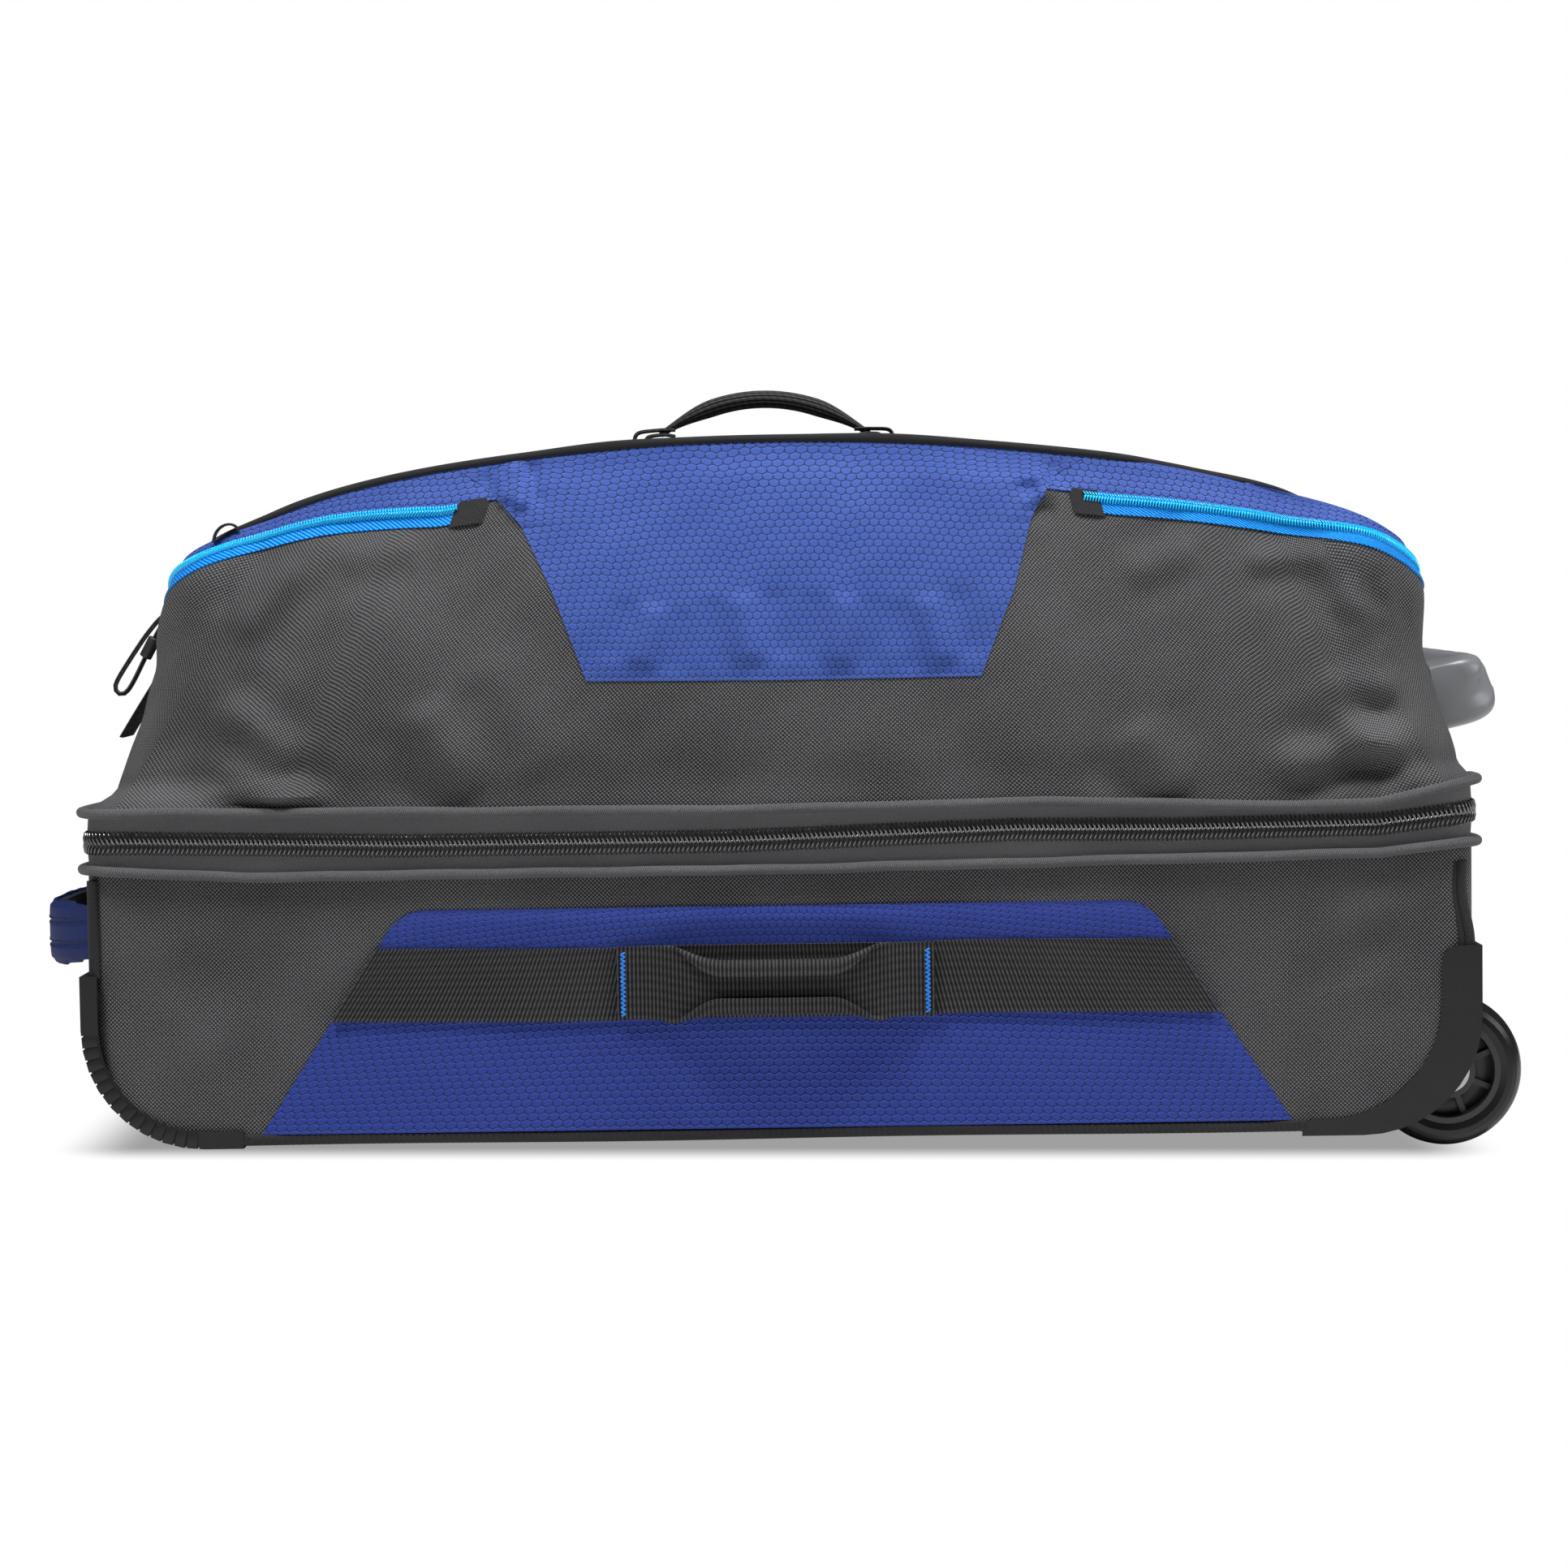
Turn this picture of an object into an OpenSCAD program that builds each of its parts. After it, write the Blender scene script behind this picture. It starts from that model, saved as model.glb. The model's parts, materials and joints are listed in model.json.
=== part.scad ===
// Rolling duffel bag: a structured lower compartment with wheels and a pull-handle, a soft upper
// compartment that opens about its far long edge, and a top lid. Millimetres.
// The parts are drawn in the bag's own level frame: +X to the wheels, -Y to the front, +Z up.
// on_floor() tips the whole bag onto its wheels and corner guards and centres it.

/* [Bag] */
// Length of the fabric body at the divider zip
body_len = 723; // [640:1:800]
// Depth of the fabric body, front to back, at the divider zip
body_w = 363; // [320:1:400]
// Plan radius of the body's corners at the divider zip
corner_r = 16; // [12:1:30]
// Height of the lower compartment's top edge
lower_h = 142; // [132:1:170]
// Height of the divider zip between the two compartments' edges
zip_h = 33; // [28:1:45]
// Height of the top edge at mid-length
ridge_z = 364; // [340:1:420]
// Drop of the top edge from mid-length to the ends
ridge_drop = 71; // [50:1:90]
// Share of that drop that is a long even curve, the rest is the shoulder at each end
ridge_even = 0.6; // [0.4:0.05:0.8]
// Inward lean of the handle end up to the top edge
lean_left = 45.5; // [30:0.5:60]
// Inward lean of the wheel end up to the top edge
lean_right = 26.5; // [15:0.5:40]
// Inward lean of the long sides up to the top edge
lean_side = 41; // [30:1:50]
// Plan radius of the corners at the top edge
top_corner_r = 60; // [45:1:70]
// Radius of the lower compartment's bottom corners, seen from the front
bottom_r = 60; // [55:1:64]
// Height of the fabric bottom above the corner guards' soles
bottom_z = 3; // [2:0.5:5]
// Thickness of the boarded lower walls
board_wall = 3; // [2:0.5:4]
// Thickness of the padded upper walls
soft_wall = 2; // [1.5:0.1:3]
// Thickness of a sewn-on panel
panel_t = 0.8; // [0.6:0.1:1.2]

/* [Zips and piping] */
// Thickness of the piping cord in its cover
piping_d = 5.5; // [4:0.5:7]
// Thickness of a zip tape
tape_t = 2; // [1.5:0.1:2.5]
// Width of one half of the divider zip's coil
coil_half = 6.2; // [4:0.1:8]
// How far a coil stands out of its tape
coil_t = 2.5; // [1.5:0.1:3]
// Width of a pocket zip
pocket_zip_w = 11; // [9:0.5:14]
// Width of half of the lid zip
lid_zip_w = 6; // [5:0.5:8]
// Distance from the top edge to the lid zip
lid_inset = 7; // [5:1:12]
// Distance of the lid's hinge line from the top edge at the handle end
lid_hinge_in = 30; // [26:1:45]
// Distance of the lid's free end from the top edge at the wheel end
lid_end_in = 73; // [55:1:100]
// Plan radius of the lid's free corners
lid_corner_r = 55; // [40:1:70]

/* [Wheels] */
// Outer radius of a wheel
wheel_r = 40; // [36:1:42]
// Width of a wheel
wheel_w = 24; // [20:1:28]
// Distance of the wheel axle from the wheel end at the divider zip
wheel_in = 14.5; // [10:0.5:17]
// Height of the wheel axle above the corner guards' soles
wheel_z = 30.5; // [29:0.5:31.5]
// Radius of the hub's rim
hub_r = 27.5; // [25:0.5:30]
// Number of spokes
spokes = 8; // [5:1:10]
// Radius of an axle
axle_r = 4; // [3:0.5:5]
// Outer radius of a wheel bearing
bearing_r = 11; // [9:0.5:12]
// Width of a wheel bearing
bearing_w = 7; // [5:0.5:8]
// Thickness of the wheel housings' cheeks
cheek_t = 3.5; // [3:0.5:4.5]
// Room between wheel and housing
wheel_gap = 1.6; // [1.2:0.1:3]
// Room between the tyre and the wheel well's roof
well_gap = 5; // [4:0.5:7]

/* [Pull-handle] */
// Height of the tubes' middle
tube_z = 25; // [24:0.5:28]
// Half the distance between the two tubes
tube_y = 46; // [40:1:55]
// Width of the outer tube
tube_w = 26; // [24:0.5:30]
// Height of the outer tube
tube_h = 18; // [16:0.5:20]
// Wall of every tube
tube_wall = 1.2; // [1:0.1:1.5]
// Length of the outer tubes
tube_len = 360; // [300:5:450]
// Travel of each of the two stages
stage_travel = 250; // [180:5:260]
// Width of the grip
grip_w = 124; // [118:1:130]
// Height of the grip
grip_h = 22; // [20:0.5:24]
// Thickness of the grip along the tubes
grip_t = 24; // [22:0.5:26]
// Room for the fingers behind the grip
finger_gap = 24; // [22:1:28]
// Travel of the release button
button_travel = 4; // [3:0.5:5]

/* [Handles] */
// Width of the carrying webbing
webbing_w = 38; // [30:1:45]
// Thickness of the webbing
webbing_t = 2.2; // [1.5:0.1:3]
// Half the distance between the side handle's bartacks
side_handle_x = 78.5; // [65:0.5:90]
// Height of the side handle's middle
side_handle_z = 84; // [75:1:95]
// How far the side handle bows out
side_handle_bow = 22; // [15:1:30]
// Half the distance between the end handle's seats
end_handle_y = 92; // [75:1:105]
// Height of the end handle's middle
end_handle_z = 106; // [98:1:112]
// How far the end handle bows out
end_handle_bow = 54; // [40:1:60]
// Half the distance between the top handle's seats
top_handle_x = 70; // [60:1:85]
// How far the top handle rises over the lid
top_handle_rise = 30; // [26:1:40]
// Thickness of the top handle's folded middle
sleeve_d = 11; // [9:0.5:14]

/* [Stand foot] */
// Height of the stand foot's middle
foot_z = 228; // [222:1:236]
// Height of the stand foot
foot_h = 39; // [34:1:44]
// Width of the stand foot
foot_w = 200; // [160:5:240]
// How far the stand foot stands out of the end wall
foot_out = 34; // [28:1:36]
// Wall of the stand foot
foot_wall = 3; // [2:0.5:4]

/* [Fits] */
// Room between soft solids that move past each other
soft_gap = 0.3; // [0.3:0.05:0.5]
// Room around a sliding tube
tube_gap = 0.4; // [0.3:0.05:0.6]
// Room around a turning shaft
run_gap = 0.05; // [0.02:0.01:0.08]

/* [Hidden] */

half_len = body_len / 2;
half_w = body_w / 2;
upper_z = lower_h + zip_h;               // height of the upper compartment's bottom edge
zip_z = (lower_h + upper_z) / 2;         // height of the divider zip's middle
end_z = ridge_z - ridge_drop;            // height of the top edge at the ends
top_left = half_len - lean_left;         // plan half sizes at the top edge
top_right = half_len - lean_right;
top_half_w = half_w - lean_side;
lid_left = top_left - lid_hinge_in;
lid_right = top_right - lid_end_in;
wheel_x = half_len - wheel_in;
coil_out = coil_t;                       // how far the divider coil stands out of the fabric
guard_t = bottom_z;                      // the guards' soles lie at height 0
cheek_out = 2;                           // the housings' outer cheeks stand this far out
wheel_y = half_w + cheek_out - cheek_t - wheel_gap - wheel_w / 2;
inner_cheek_y = wheel_y - wheel_w / 2 - wheel_gap;
well_r = wheel_r + well_gap;
EPS = 0.01;                              // keeps cuts open

// ---------- how the bag stands: a line under the guards' corners and the wheels ----------
stand_dx = wheel_x + half_len - bottom_r;
stand_dz = wheel_z - bottom_r - bottom_z;
stand_dr = wheel_r - bottom_r - guard_t;
tilt = asin(stand_dr / norm([stand_dx, stand_dz])) - atan2(stand_dz, stand_dx);
floor_z = wheel_x * sin(tilt) + wheel_z * cos(tilt) - wheel_r;
handle_tip = half_len + end_handle_bow + webbing_t;
wheel_tip = wheel_x + wheel_r;
centre_x = (handle_tip - wheel_tip) / 2;
handle_front = half_w + panel_t + webbing_t + side_handle_bow + webbing_t;
centre_y = (handle_front - half_w - piping_d) / 2;

module on_floor() {
    translate([centre_x, centre_y, -floor_z]) rotate([0, -tilt, 0]) children();
}
module both_sides() {
    children();
    mirror([0, 1, 0]) children();
}

// ---------- shape functions ----------
function lerp(a, b, t) = a + (b - a) * t;
function arc(cx, cy, r, a0, a1, n) = [for (i = [0:n]) let (a = lerp(a0, a1, i / n))
    [cx + r * cos(a), cy + r * sin(a)]];

// Steps of a plan ring: along a long side, along an end, round a corner
LONG = 14;
END = 4;
CORNER = 4;
RING = 2 * (LONG + END) + 4 * CORNER;
// First column of each stretch, counted round from the front of the wheel end
C_BACK = END + CORNER;
C_LEFT = C_BACK + LONG + CORNER;
C_FRONT = C_LEFT + END + CORNER;

// A rounded rectangle in plan, counter-clockwise from the front of the wheel end.
// rl is the corner radius at the handle end, rr at the wheel end.
function ring(al, ar, b, rl, rr) = concat(
    [for (i = [0:END - 1]) [ar, lerp(rr - b, b - rr, i / END)]],
    [for (i = [0:CORNER - 1]) let (a = 90 * i / CORNER) [ar - rr + rr * cos(a), b - rr + rr * sin(a)]],
    [for (i = [0:LONG - 1]) [lerp(ar - rr, rl - al, i / LONG), b]],
    [for (i = [0:CORNER - 1]) let (a = 90 + 90 * i / CORNER) [rl - al + rl * cos(a), b - rl + rl * sin(a)]],
    [for (i = [0:END - 1]) [-al, lerp(b - rl, rl - b, i / END)]],
    [for (i = [0:CORNER - 1]) let (a = 180 + 90 * i / CORNER) [rl - al + rl * cos(a), rl - b + rl * sin(a)]],
    [for (i = [0:LONG - 1]) [lerp(rl - al, ar - rr, i / LONG), -b]],
    [for (i = [0:CORNER - 1]) let (a = 270 + 90 * i / CORNER) [ar - rr + rr * cos(a), rr - b + rr * sin(a)]]);

// The body's plan at the divider zip, let out by o
function body_ring(o) = ring(half_len + o, half_len + o, half_w + o, corner_r + o, corner_r + o);

// Height of the top edge at x: a long even curve and a shoulder at each end
function ridge(x) = let (s = min(1.02, abs(x) / (x < 0 ? top_left : top_right)))
    ridge_z - ridge_drop * (ridge_even * pow(s, 2) + (1 - ridge_even) * pow(s, 8));

// The upper body's wall, let out by o: v is 0 at its bottom edge and 1 at the top edge
function wall_plan(v, o) = ring(
    half_len - lean_left * v + o, half_len - lean_right * v + o, half_w - lean_side * v + o,
    lerp(corner_r, top_corner_r, v) + o, lerp(corner_r, top_corner_r, v) + o);
ridge_plan = wall_plan(1, 0);
function wall_row(v, o) = let (p = wall_plan(v, o))
    [for (i = [0:RING - 1]) [p[i][0], p[i][1], lerp(upper_z, ridge(ridge_plan[i][0]), v)]];
function wall_point(i, v, o) = let (k = (i + RING) % RING, p = wall_plan(v, o)[k])
    [p[0], p[1], lerp(upper_z, ridge(ridge_plan[k][0]), v)];

// The top surface inside the top edge: a ring at inset e, lowered by d
function lid_plan(e) = ring(lid_left - e, lid_right - e, top_half_w - lid_inset - e,
    CORNER_HINGE, max(lid_corner_r - e, 1));
CORNER_HINGE = 6;
function top_row(e, d) = [for (p = lid_plan(e)) [p[0], p[1], ridge(p[0]) - d]];

// ---------- solids from rows of points ----------
// A closed ring of closed loops
module torus_grid(rows) {
    m = len(rows);
    n = len(rows[0]);
    polyhedron(points = [for (r = rows) each r],
        faces = [for (j = [0:m - 1], i = [0:n - 1]) let (j2 = (j + 1) % m, i2 = (i + 1) % n)
            each [[j * n + i, j * n + i2, j2 * n + i2], [j * n + i, j2 * n + i2, j2 * n + i]]]);
}
// Closed loops one after another, with flat convex ends
module sweep(loops) {
    m = len(loops);
    n = len(loops[0]);
    polyhedron(points = [for (r = loops) each r],
        faces = concat(
            [for (j = [0:m - 2], i = [0:n - 1]) let (i2 = (i + 1) % n)
                each [[j * n + i, j * n + i2, (j + 1) * n + i2], [j * n + i, (j + 1) * n + i2, (j + 1) * n + i]]],
            [[for (i = [n - 1:-1:0]) i], [for (i = [0:n - 1]) (m - 1) * n + i]]));
}
// A sheet between two grids of points, outer and inner
module sheet(outer, inner) {
    m = len(outer);
    n = len(outer[0]);
    k = m * n;
    polyhedron(points = concat([for (r = outer) each r], [for (r = inner) each r]),
        faces = concat(
            [for (j = [0:m - 2], i = [0:n - 2]) let (a = j * n + i, b = a + 1, c = a + n + 1, d = a + n)
                each [[a, b, c], [a, c, d], [k + c, k + b, k + a], [k + d, k + c, k + a]]],
            [for (i = [0:n - 2]) each [[i, k + i, k + i + 1], [i, k + i + 1, i + 1]]],
            [for (i = [0:n - 2]) let (a = (m - 1) * n + i)
                each [[a + 1, k + a + 1, k + a], [a + 1, k + a, a]]],
            [for (j = [0:m - 2]) let (a = j * n, b = a + n) each [[b, k + b, k + a], [b, k + a, a]]],
            [for (j = [0:m - 2]) let (a = j * n + n - 1, b = a + n) each [[a, k + a, k + b], [a, k + b, b]]]));
}
// A ring slab between two plan offsets
module ring_slab(o_out, o_in, z0, z1) {
    translate([0, 0, z0]) linear_extrude(z1 - z0) difference() {
        polygon(body_ring(o_out));
        polygon(body_ring(o_in));
    }
}
module box_at(low, high) { translate(low) cube(high - low); }
module rod_y(x, z, r, y0, y1) { translate([x, y0, z]) rotate([-90, 0, 0]) cylinder(r = r, h = y1 - y0, $fn = 64); }
module rod_x(y, z, r, x0, x1) { translate([x0, y, z]) rotate([0, 90, 0]) cylinder(r = r, h = x1 - x0, $fn = 64); }
module rod_z(x, y, r, z0, z1) { translate([x, y, z0]) cylinder(r = r, h = z1 - z0, $fn = 64); }
// An outline in x and z, drawn out from y0 to y1
module slice_y(y0, y1) { translate([0, y1, 0]) rotate([90, 0, 0]) linear_extrude(y1 - y0) children(); }

// The lower body seen from the front, let out by o, up to height top
function tub_outline(o, top) = concat(
    [[-half_len - o, top]],
    arc(bottom_r - half_len, bottom_z + bottom_r, bottom_r + o, 180, 270, 9),
    arc(half_len - bottom_r, bottom_z + bottom_r, bottom_r + o, 270, 360, 9),
    [[half_len + o, top]]);
module tub(o, top) {
    intersection() {
        slice_y(-half_w - o, half_w + o) polygon(tub_outline(o, top));
        translate([0, 0, -bottom_z]) linear_extrude(top + 2 * bottom_z) polygon(body_ring(o));
    }
}

// ---------- lower compartment ----------
WELL_WALL = 2.5;
CUP_WALL = 2.5;
BACK_WALL = 3;
GUARD_SHOE = 45;      // how far a corner guard wraps under the bag
GUARD_LIP = 3;        // how far it stands out of the long side
GUARD_EDGE = 6;       // width of its edge on the long side
GUARD_TOP = 91;
RIBS = 14;
RIB_STEP = 6;         // degrees
FLANGE_OUT = 2.5;
FLANGE_LOW = 1.5;     // how far the outer cheek reaches below height 0
FLANGE_TOP = 97;
PLATE_W = 44;
BOARD_T = 4;
GRIP_INSET = 27;
SCOOP = 14;
CUP_SIDE = 8;
BRACKET_T = 20;
SCREW_R = 3.5;
SCREW_HEAD = 1.5;

guard_end = half_len - 80.5;
flange_end = half_len - 91.5;
cheek_arc = [half_len - 79.5, 68, 61];             // centre and radius of the cheek's inner edge
inner_bottom = bottom_z + board_wall;
board_top = inner_bottom + BOARD_T;
grip_x = GRIP_INSET - half_len;                    // the grip's outer face
grip_back_x = grip_x + grip_t;
cup_x = grip_back_x + finger_gap;                  // the housing's back wall, outer side
tube_x = cup_x + BACK_WALL;                        // where the outer tubes start
cup_half_w = grip_w / 2 + CUP_SIDE;
cup_low = inner_bottom + 1 + CUP_WALL;
cup_high = tube_z + grip_h / 2 + SCOOP;
tube_end = tube_x + tube_len;
cover_half_w = tube_y + tube_w / 2 + 8;
cover_top = tube_z + tube_h / 2 + 4;

module well_cut(r) {
    both_sides() rod_y(wheel_x, wheel_z, r, inner_cheek_y - cheek_t, half_w + 2 * cheek_out);
}
module cup_block(grow) {
    box_at([-half_len - 10, -cup_half_w - grow, cup_low - grow], [cup_x + (grow > 0 ? BACK_WALL : 0),
        cup_half_w + grow, cup_high + grow]);
}
module lower_shell() {
    color("dimgray") difference() {
        tub(0, lower_h);
        tub(-board_wall, lower_h + 1);
        well_cut(well_r + WELL_WALL);
        cup_block(CUP_WALL);
    }
}
module base_board() {
    color("gainsboro") difference() {
        box_at([tube_x, board_wall - half_w, inner_bottom],
            [half_len - bottom_r - 1, half_w - board_wall, board_top]);
        well_cut(well_r + WELL_WALL);
    }
}

// The blue panel low on each long side: its slanted ends, then its rounded upper corners
PANEL_LOW = 8;
PANEL_HIGH = 123;
panel_left = [90.5 - half_len, 156.5 - half_len];
panel_right = [half_len - 97.5, half_len - 163.5];
PANEL_ROUND = 12;
function panel_x(ends, z) = lerp(ends[0], ends[1], (z - PANEL_LOW) / (PANEL_HIGH - PANEL_ROUND - PANEL_LOW));
module lower_panels() {
    color("royalblue") both_sides() slice_y(half_w, half_w + panel_t) polygon([
        [panel_left[0], PANEL_LOW], [panel_left[1], PANEL_HIGH - PANEL_ROUND],
        [panel_left[1] + PANEL_ROUND, PANEL_HIGH], [panel_right[1] - PANEL_ROUND, PANEL_HIGH],
        [panel_right[1], PANEL_HIGH - PANEL_ROUND], [panel_right[0], PANEL_LOW]]);
}
band_y = half_w + panel_t + webbing_t;             // the band's face
module webbing_band() {
    z0 = side_handle_z - webbing_w / 2;
    z1 = side_handle_z + webbing_w / 2;
    color([0.15, 0.15, 0.15]) slice_y(-band_y, -half_w - panel_t) polygon([
        [panel_x(panel_left, z0), z0], [panel_x(panel_left, z1), z1],
        [panel_x(panel_right, z1), z1], [panel_x(panel_right, z0), z0]]);
}
// A round cord that runs round the body at height z
module piping(z) {
    r = piping_d / 2;
    torus_grid([for (p = [0:7]) let (a = -360 * p / 8)
        [for (q = body_ring(r + soft_gap / 2 + r * cos(a))) [q[0], q[1], z + r * sin(a)]]]);
}
module lower_piping() { color([0.2, 0.2, 0.2]) piping(lower_h); }
module zip_half(up) {
    tape_end = up ? upper_z : lower_h;
    middle = zip_z + (up ? 1 : -1) * soft_gap / 2;
    coil_end = middle + (up ? 1 : -1) * coil_half;
    ring_slab(-0.5, -0.5 - tape_t, min(tape_end, middle), max(tape_end, middle));
    ring_slab(coil_out, -0.5, min(coil_end, middle), max(coil_end, middle));
}
module lower_zip_half() { color([0.12, 0.12, 0.12]) zip_half(false); }

module guard_slice(y0, y1, inset) {
    intersection() {
        slice_y(y0, y1) difference() {
            polygon(tub_outline(guard_t, lower_h));
            polygon(tub_outline(-inset, lower_h + 1));
        }
        box_at([-half_len - 10, y0 - 1, -10], [-guard_end, y1 + 1, GUARD_TOP]);
    }
}
module corner_guards() {
    color([0.17, 0.17, 0.17]) both_sides() difference() {
        union() {
            guard_slice(half_w - GUARD_SHOE, half_w + EPS, 0);
            guard_slice(half_w, half_w + GUARD_LIP, GUARD_EDGE);
        }
        for (i = [0:RIBS]) translate([bottom_r - half_len, half_w - GUARD_SHOE - 1, bottom_z + bottom_r])
            rotate([0, -183 - RIB_STEP * i, 0])
                translate([bottom_r + guard_t - 1.2, 0, -0.5]) cube([10, GUARD_SHOE + GUARD_LIP + 2, 1]);
    }
}
BIND_R = 3;
module edge_bindings() {
    reach = (corner_r + BIND_R) * sin(45);
    color([0.16, 0.16, 0.16]) both_sides() {
        for (s = [-1, 1]) rod_z(s * (half_len - corner_r + reach), half_w - corner_r + reach, BIND_R,
            (s < 0 ? GUARD_TOP : FLANGE_TOP) + soft_gap, lower_h - piping_d / 2 - soft_gap);
        box_at([-guard_end + soft_gap, half_w, bottom_z - 1], [flange_end - soft_gap, half_w + webbing_t,
            PANEL_LOW - soft_gap]);
    }
}
SKID = [175.5, 53.5, 8.5, 11];                     // its ends from the wheel end, depth, slant
SKID_Y = 96;
SKID_W = 14;
module skid_rails() {
    color([0.14, 0.14, 0.14]) both_sides() slice_y(SKID_Y - SKID_W / 2, SKID_Y + SKID_W / 2) polygon([
        [half_len - SKID[0], bottom_z], [half_len - SKID[0] + SKID[3], bottom_z - SKID[2]],
        [half_len - SKID[1] - 2 * SKID[3] - 4, bottom_z - SKID[2]], [half_len - bottom_r - 2, bottom_z]]);
}

// ---------- wheels ----------
flange_r = bottom_r + 2;
module cheek_outline() {
    cx = half_len + FLANGE_OUT - flange_r;
    cz = flange_r - FLANGE_LOW;
    polygon(concat(
        [[flange_end, -FLANGE_LOW]], arc(cx, cz, flange_r, 270, 360, 10),
        [[half_len + FLANGE_OUT, FLANGE_TOP]], arc(cheek_arc[0] + cheek_arc[2] + 9, FLANGE_TOP - 9, 9, 90, 180, 4),
        arc(cheek_arc[0], cheek_arc[1], cheek_arc[2], 0, -90, 9),
        arc(flange_end + 6, 1, 6, 90, 150, 3)));
}
module wheel_housing() {
    face = half_w + cheek_out;
    difference() {
        union() {
            slice_y(half_w, face) cheek_outline();
            intersection() {
                slice_y(face - cheek_t, half_w + EPS) cheek_outline();
                rod_y(wheel_x, wheel_z, well_r + WELL_WALL, face - cheek_t, half_w + EPS);
            }
            // the well's roof and inner cheek
            intersection() {
                slice_y(inner_cheek_y - cheek_t, half_w) polygon(tub_outline(0, lower_h));
                difference() {
                    rod_y(wheel_x, wheel_z, well_r + WELL_WALL, inner_cheek_y - cheek_t, half_w);
                    rod_y(wheel_x, wheel_z, well_r, inner_cheek_y, half_w + 1);
                }
            }
            // plates that wrap the end and the bottom
            intersection() {
                slice_y(half_w - PLATE_W, half_w + EPS) difference() {
                    polygon(tub_outline(FLANGE_OUT, lower_h));
                    polygon(tub_outline(0, lower_h + 1));
                }
                box_at([flange_end, 0, -10], [half_len + 10, face, FLANGE_TOP]);
            }
        }
        // room for the wheel, the axle's holes
        difference() {
            rod_y(wheel_x, wheel_z, well_r, inner_cheek_y, face - cheek_t);
            slice_y(inner_cheek_y - 1, face) polygon(tub_outline(-0.1, lower_h));
        }
        rod_y(wheel_x, wheel_z, axle_r + run_gap, inner_cheek_y - cheek_t - 1, face - 1);
    }
}
module wheel_housing_back() { color([0.19, 0.19, 0.19]) wheel_housing(); }
module wheel_housing_front() { color([0.19, 0.19, 0.19]) mirror([0, 1, 0]) wheel_housing(); }
module axles() {
    color("silver") both_sides()
        rod_y(wheel_x, wheel_z, axle_r, inner_cheek_y - cheek_t, half_w + cheek_out - 1);
}
RIM_T = 3;
BOSS_T = 3;
SPOKE_T = 3;
module hub() {
    h = wheel_w - 2;
    difference() {
        union() {
            difference() {
                rod_y(0, 0, hub_r, -h / 2, h / 2);
                rod_y(0, 0, hub_r - RIM_T, -h, h);
            }
            rod_y(0, 0, bearing_r + BOSS_T, -wheel_w / 2, wheel_w / 2);
            for (i = [0:spokes - 1]) rotate([0, 360 / spokes * (i + 0.5), 0])
                translate([bearing_r + 1, -h / 4, -SPOKE_T / 2])
                    cube([hub_r - bearing_r - 2, h / 2, SPOKE_T]);
        }
        rod_y(0, 0, axle_r + 2, -wheel_w, wheel_w);
        for (s = [0, 1]) mirror([0, s, 0]) rod_y(0, 0, bearing_r, wheel_w / 2 - bearing_w, wheel_w);
    }
}
module tyre() {
    shoulder = hub_r + 3.5;
    rotate([90, 0, 0]) rotate_extrude($fn = 96) polygon(concat(
        [[hub_r, -wheel_w / 2 + 1]],
        [for (i = [0:10]) let (a = 18 * i - 90)
            [shoulder + (wheel_r - shoulder) * cos(a), wheel_w / 2 * sin(a)]],
        [[hub_r, wheel_w / 2 - 1]]));
}
module bearings() {
    for (s = [0, 1]) mirror([0, s, 0]) difference() {
        rod_y(0, 0, bearing_r, wheel_w / 2 - bearing_w, wheel_w / 2);
        rod_y(0, 0, axle_r + run_gap, 0, wheel_w);
    }
}
module at_wheel(side) { translate([wheel_x, side * wheel_y, wheel_z]) children(); }
module hub_front() { color([0.22, 0.22, 0.22]) at_wheel(-1) hub(); }
module hub_back() { color([0.22, 0.22, 0.22]) at_wheel(1) hub(); }
module tyre_front() { color([0.12, 0.12, 0.12]) at_wheel(-1) tyre(); }
module tyre_back() { color([0.12, 0.12, 0.12]) at_wheel(1) tyre(); }
module bearings_front() { color("silver") at_wheel(-1) bearings(); }
module bearings_back() { color("silver") at_wheel(1) bearings(); }

// ---------- pull-handle ----------
mid_w = tube_w - 2 * (tube_wall + tube_gap);
mid_h = tube_h - 2 * (tube_wall + tube_gap);
in_w = mid_w - 2 * (tube_wall + tube_gap);
in_h = mid_h - 2 * (tube_wall + tube_gap);
COLLAR_T = 2;
collar_x = cup_x - soft_gap;                        // the collars' inner face
MID_OUT = 4;                                        // the middle tubes' reach into the finger room
mid_x = cup_x - MID_OUT;
mid_len = tube_len - 15;
SOCKET = 12;                                        // the grip's hold on the inner tubes
in_x = grip_back_x - SOCKET + 0.5;
in_len = tube_len - 10;
in_end = in_x + in_len;
BLOCK = 20;
PIN_R = 2;
ROD_R = 2.5;
pin_x = in_end - BLOCK / 2;
WEDGE = 0.6;                                        // room left between rod and pin when pressed
YOKE_T = 3;
split_x = grip_back_x - SOCKET;                     // where the grip's two halves meet
yoke_x = split_x - button_travel - YOKE_T + 0.2;    // the yoke's outer face at rest
BUTTON = [18, 5];                                   // the button's half width and half height
BUTTON_OUT = 3.5;

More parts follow.
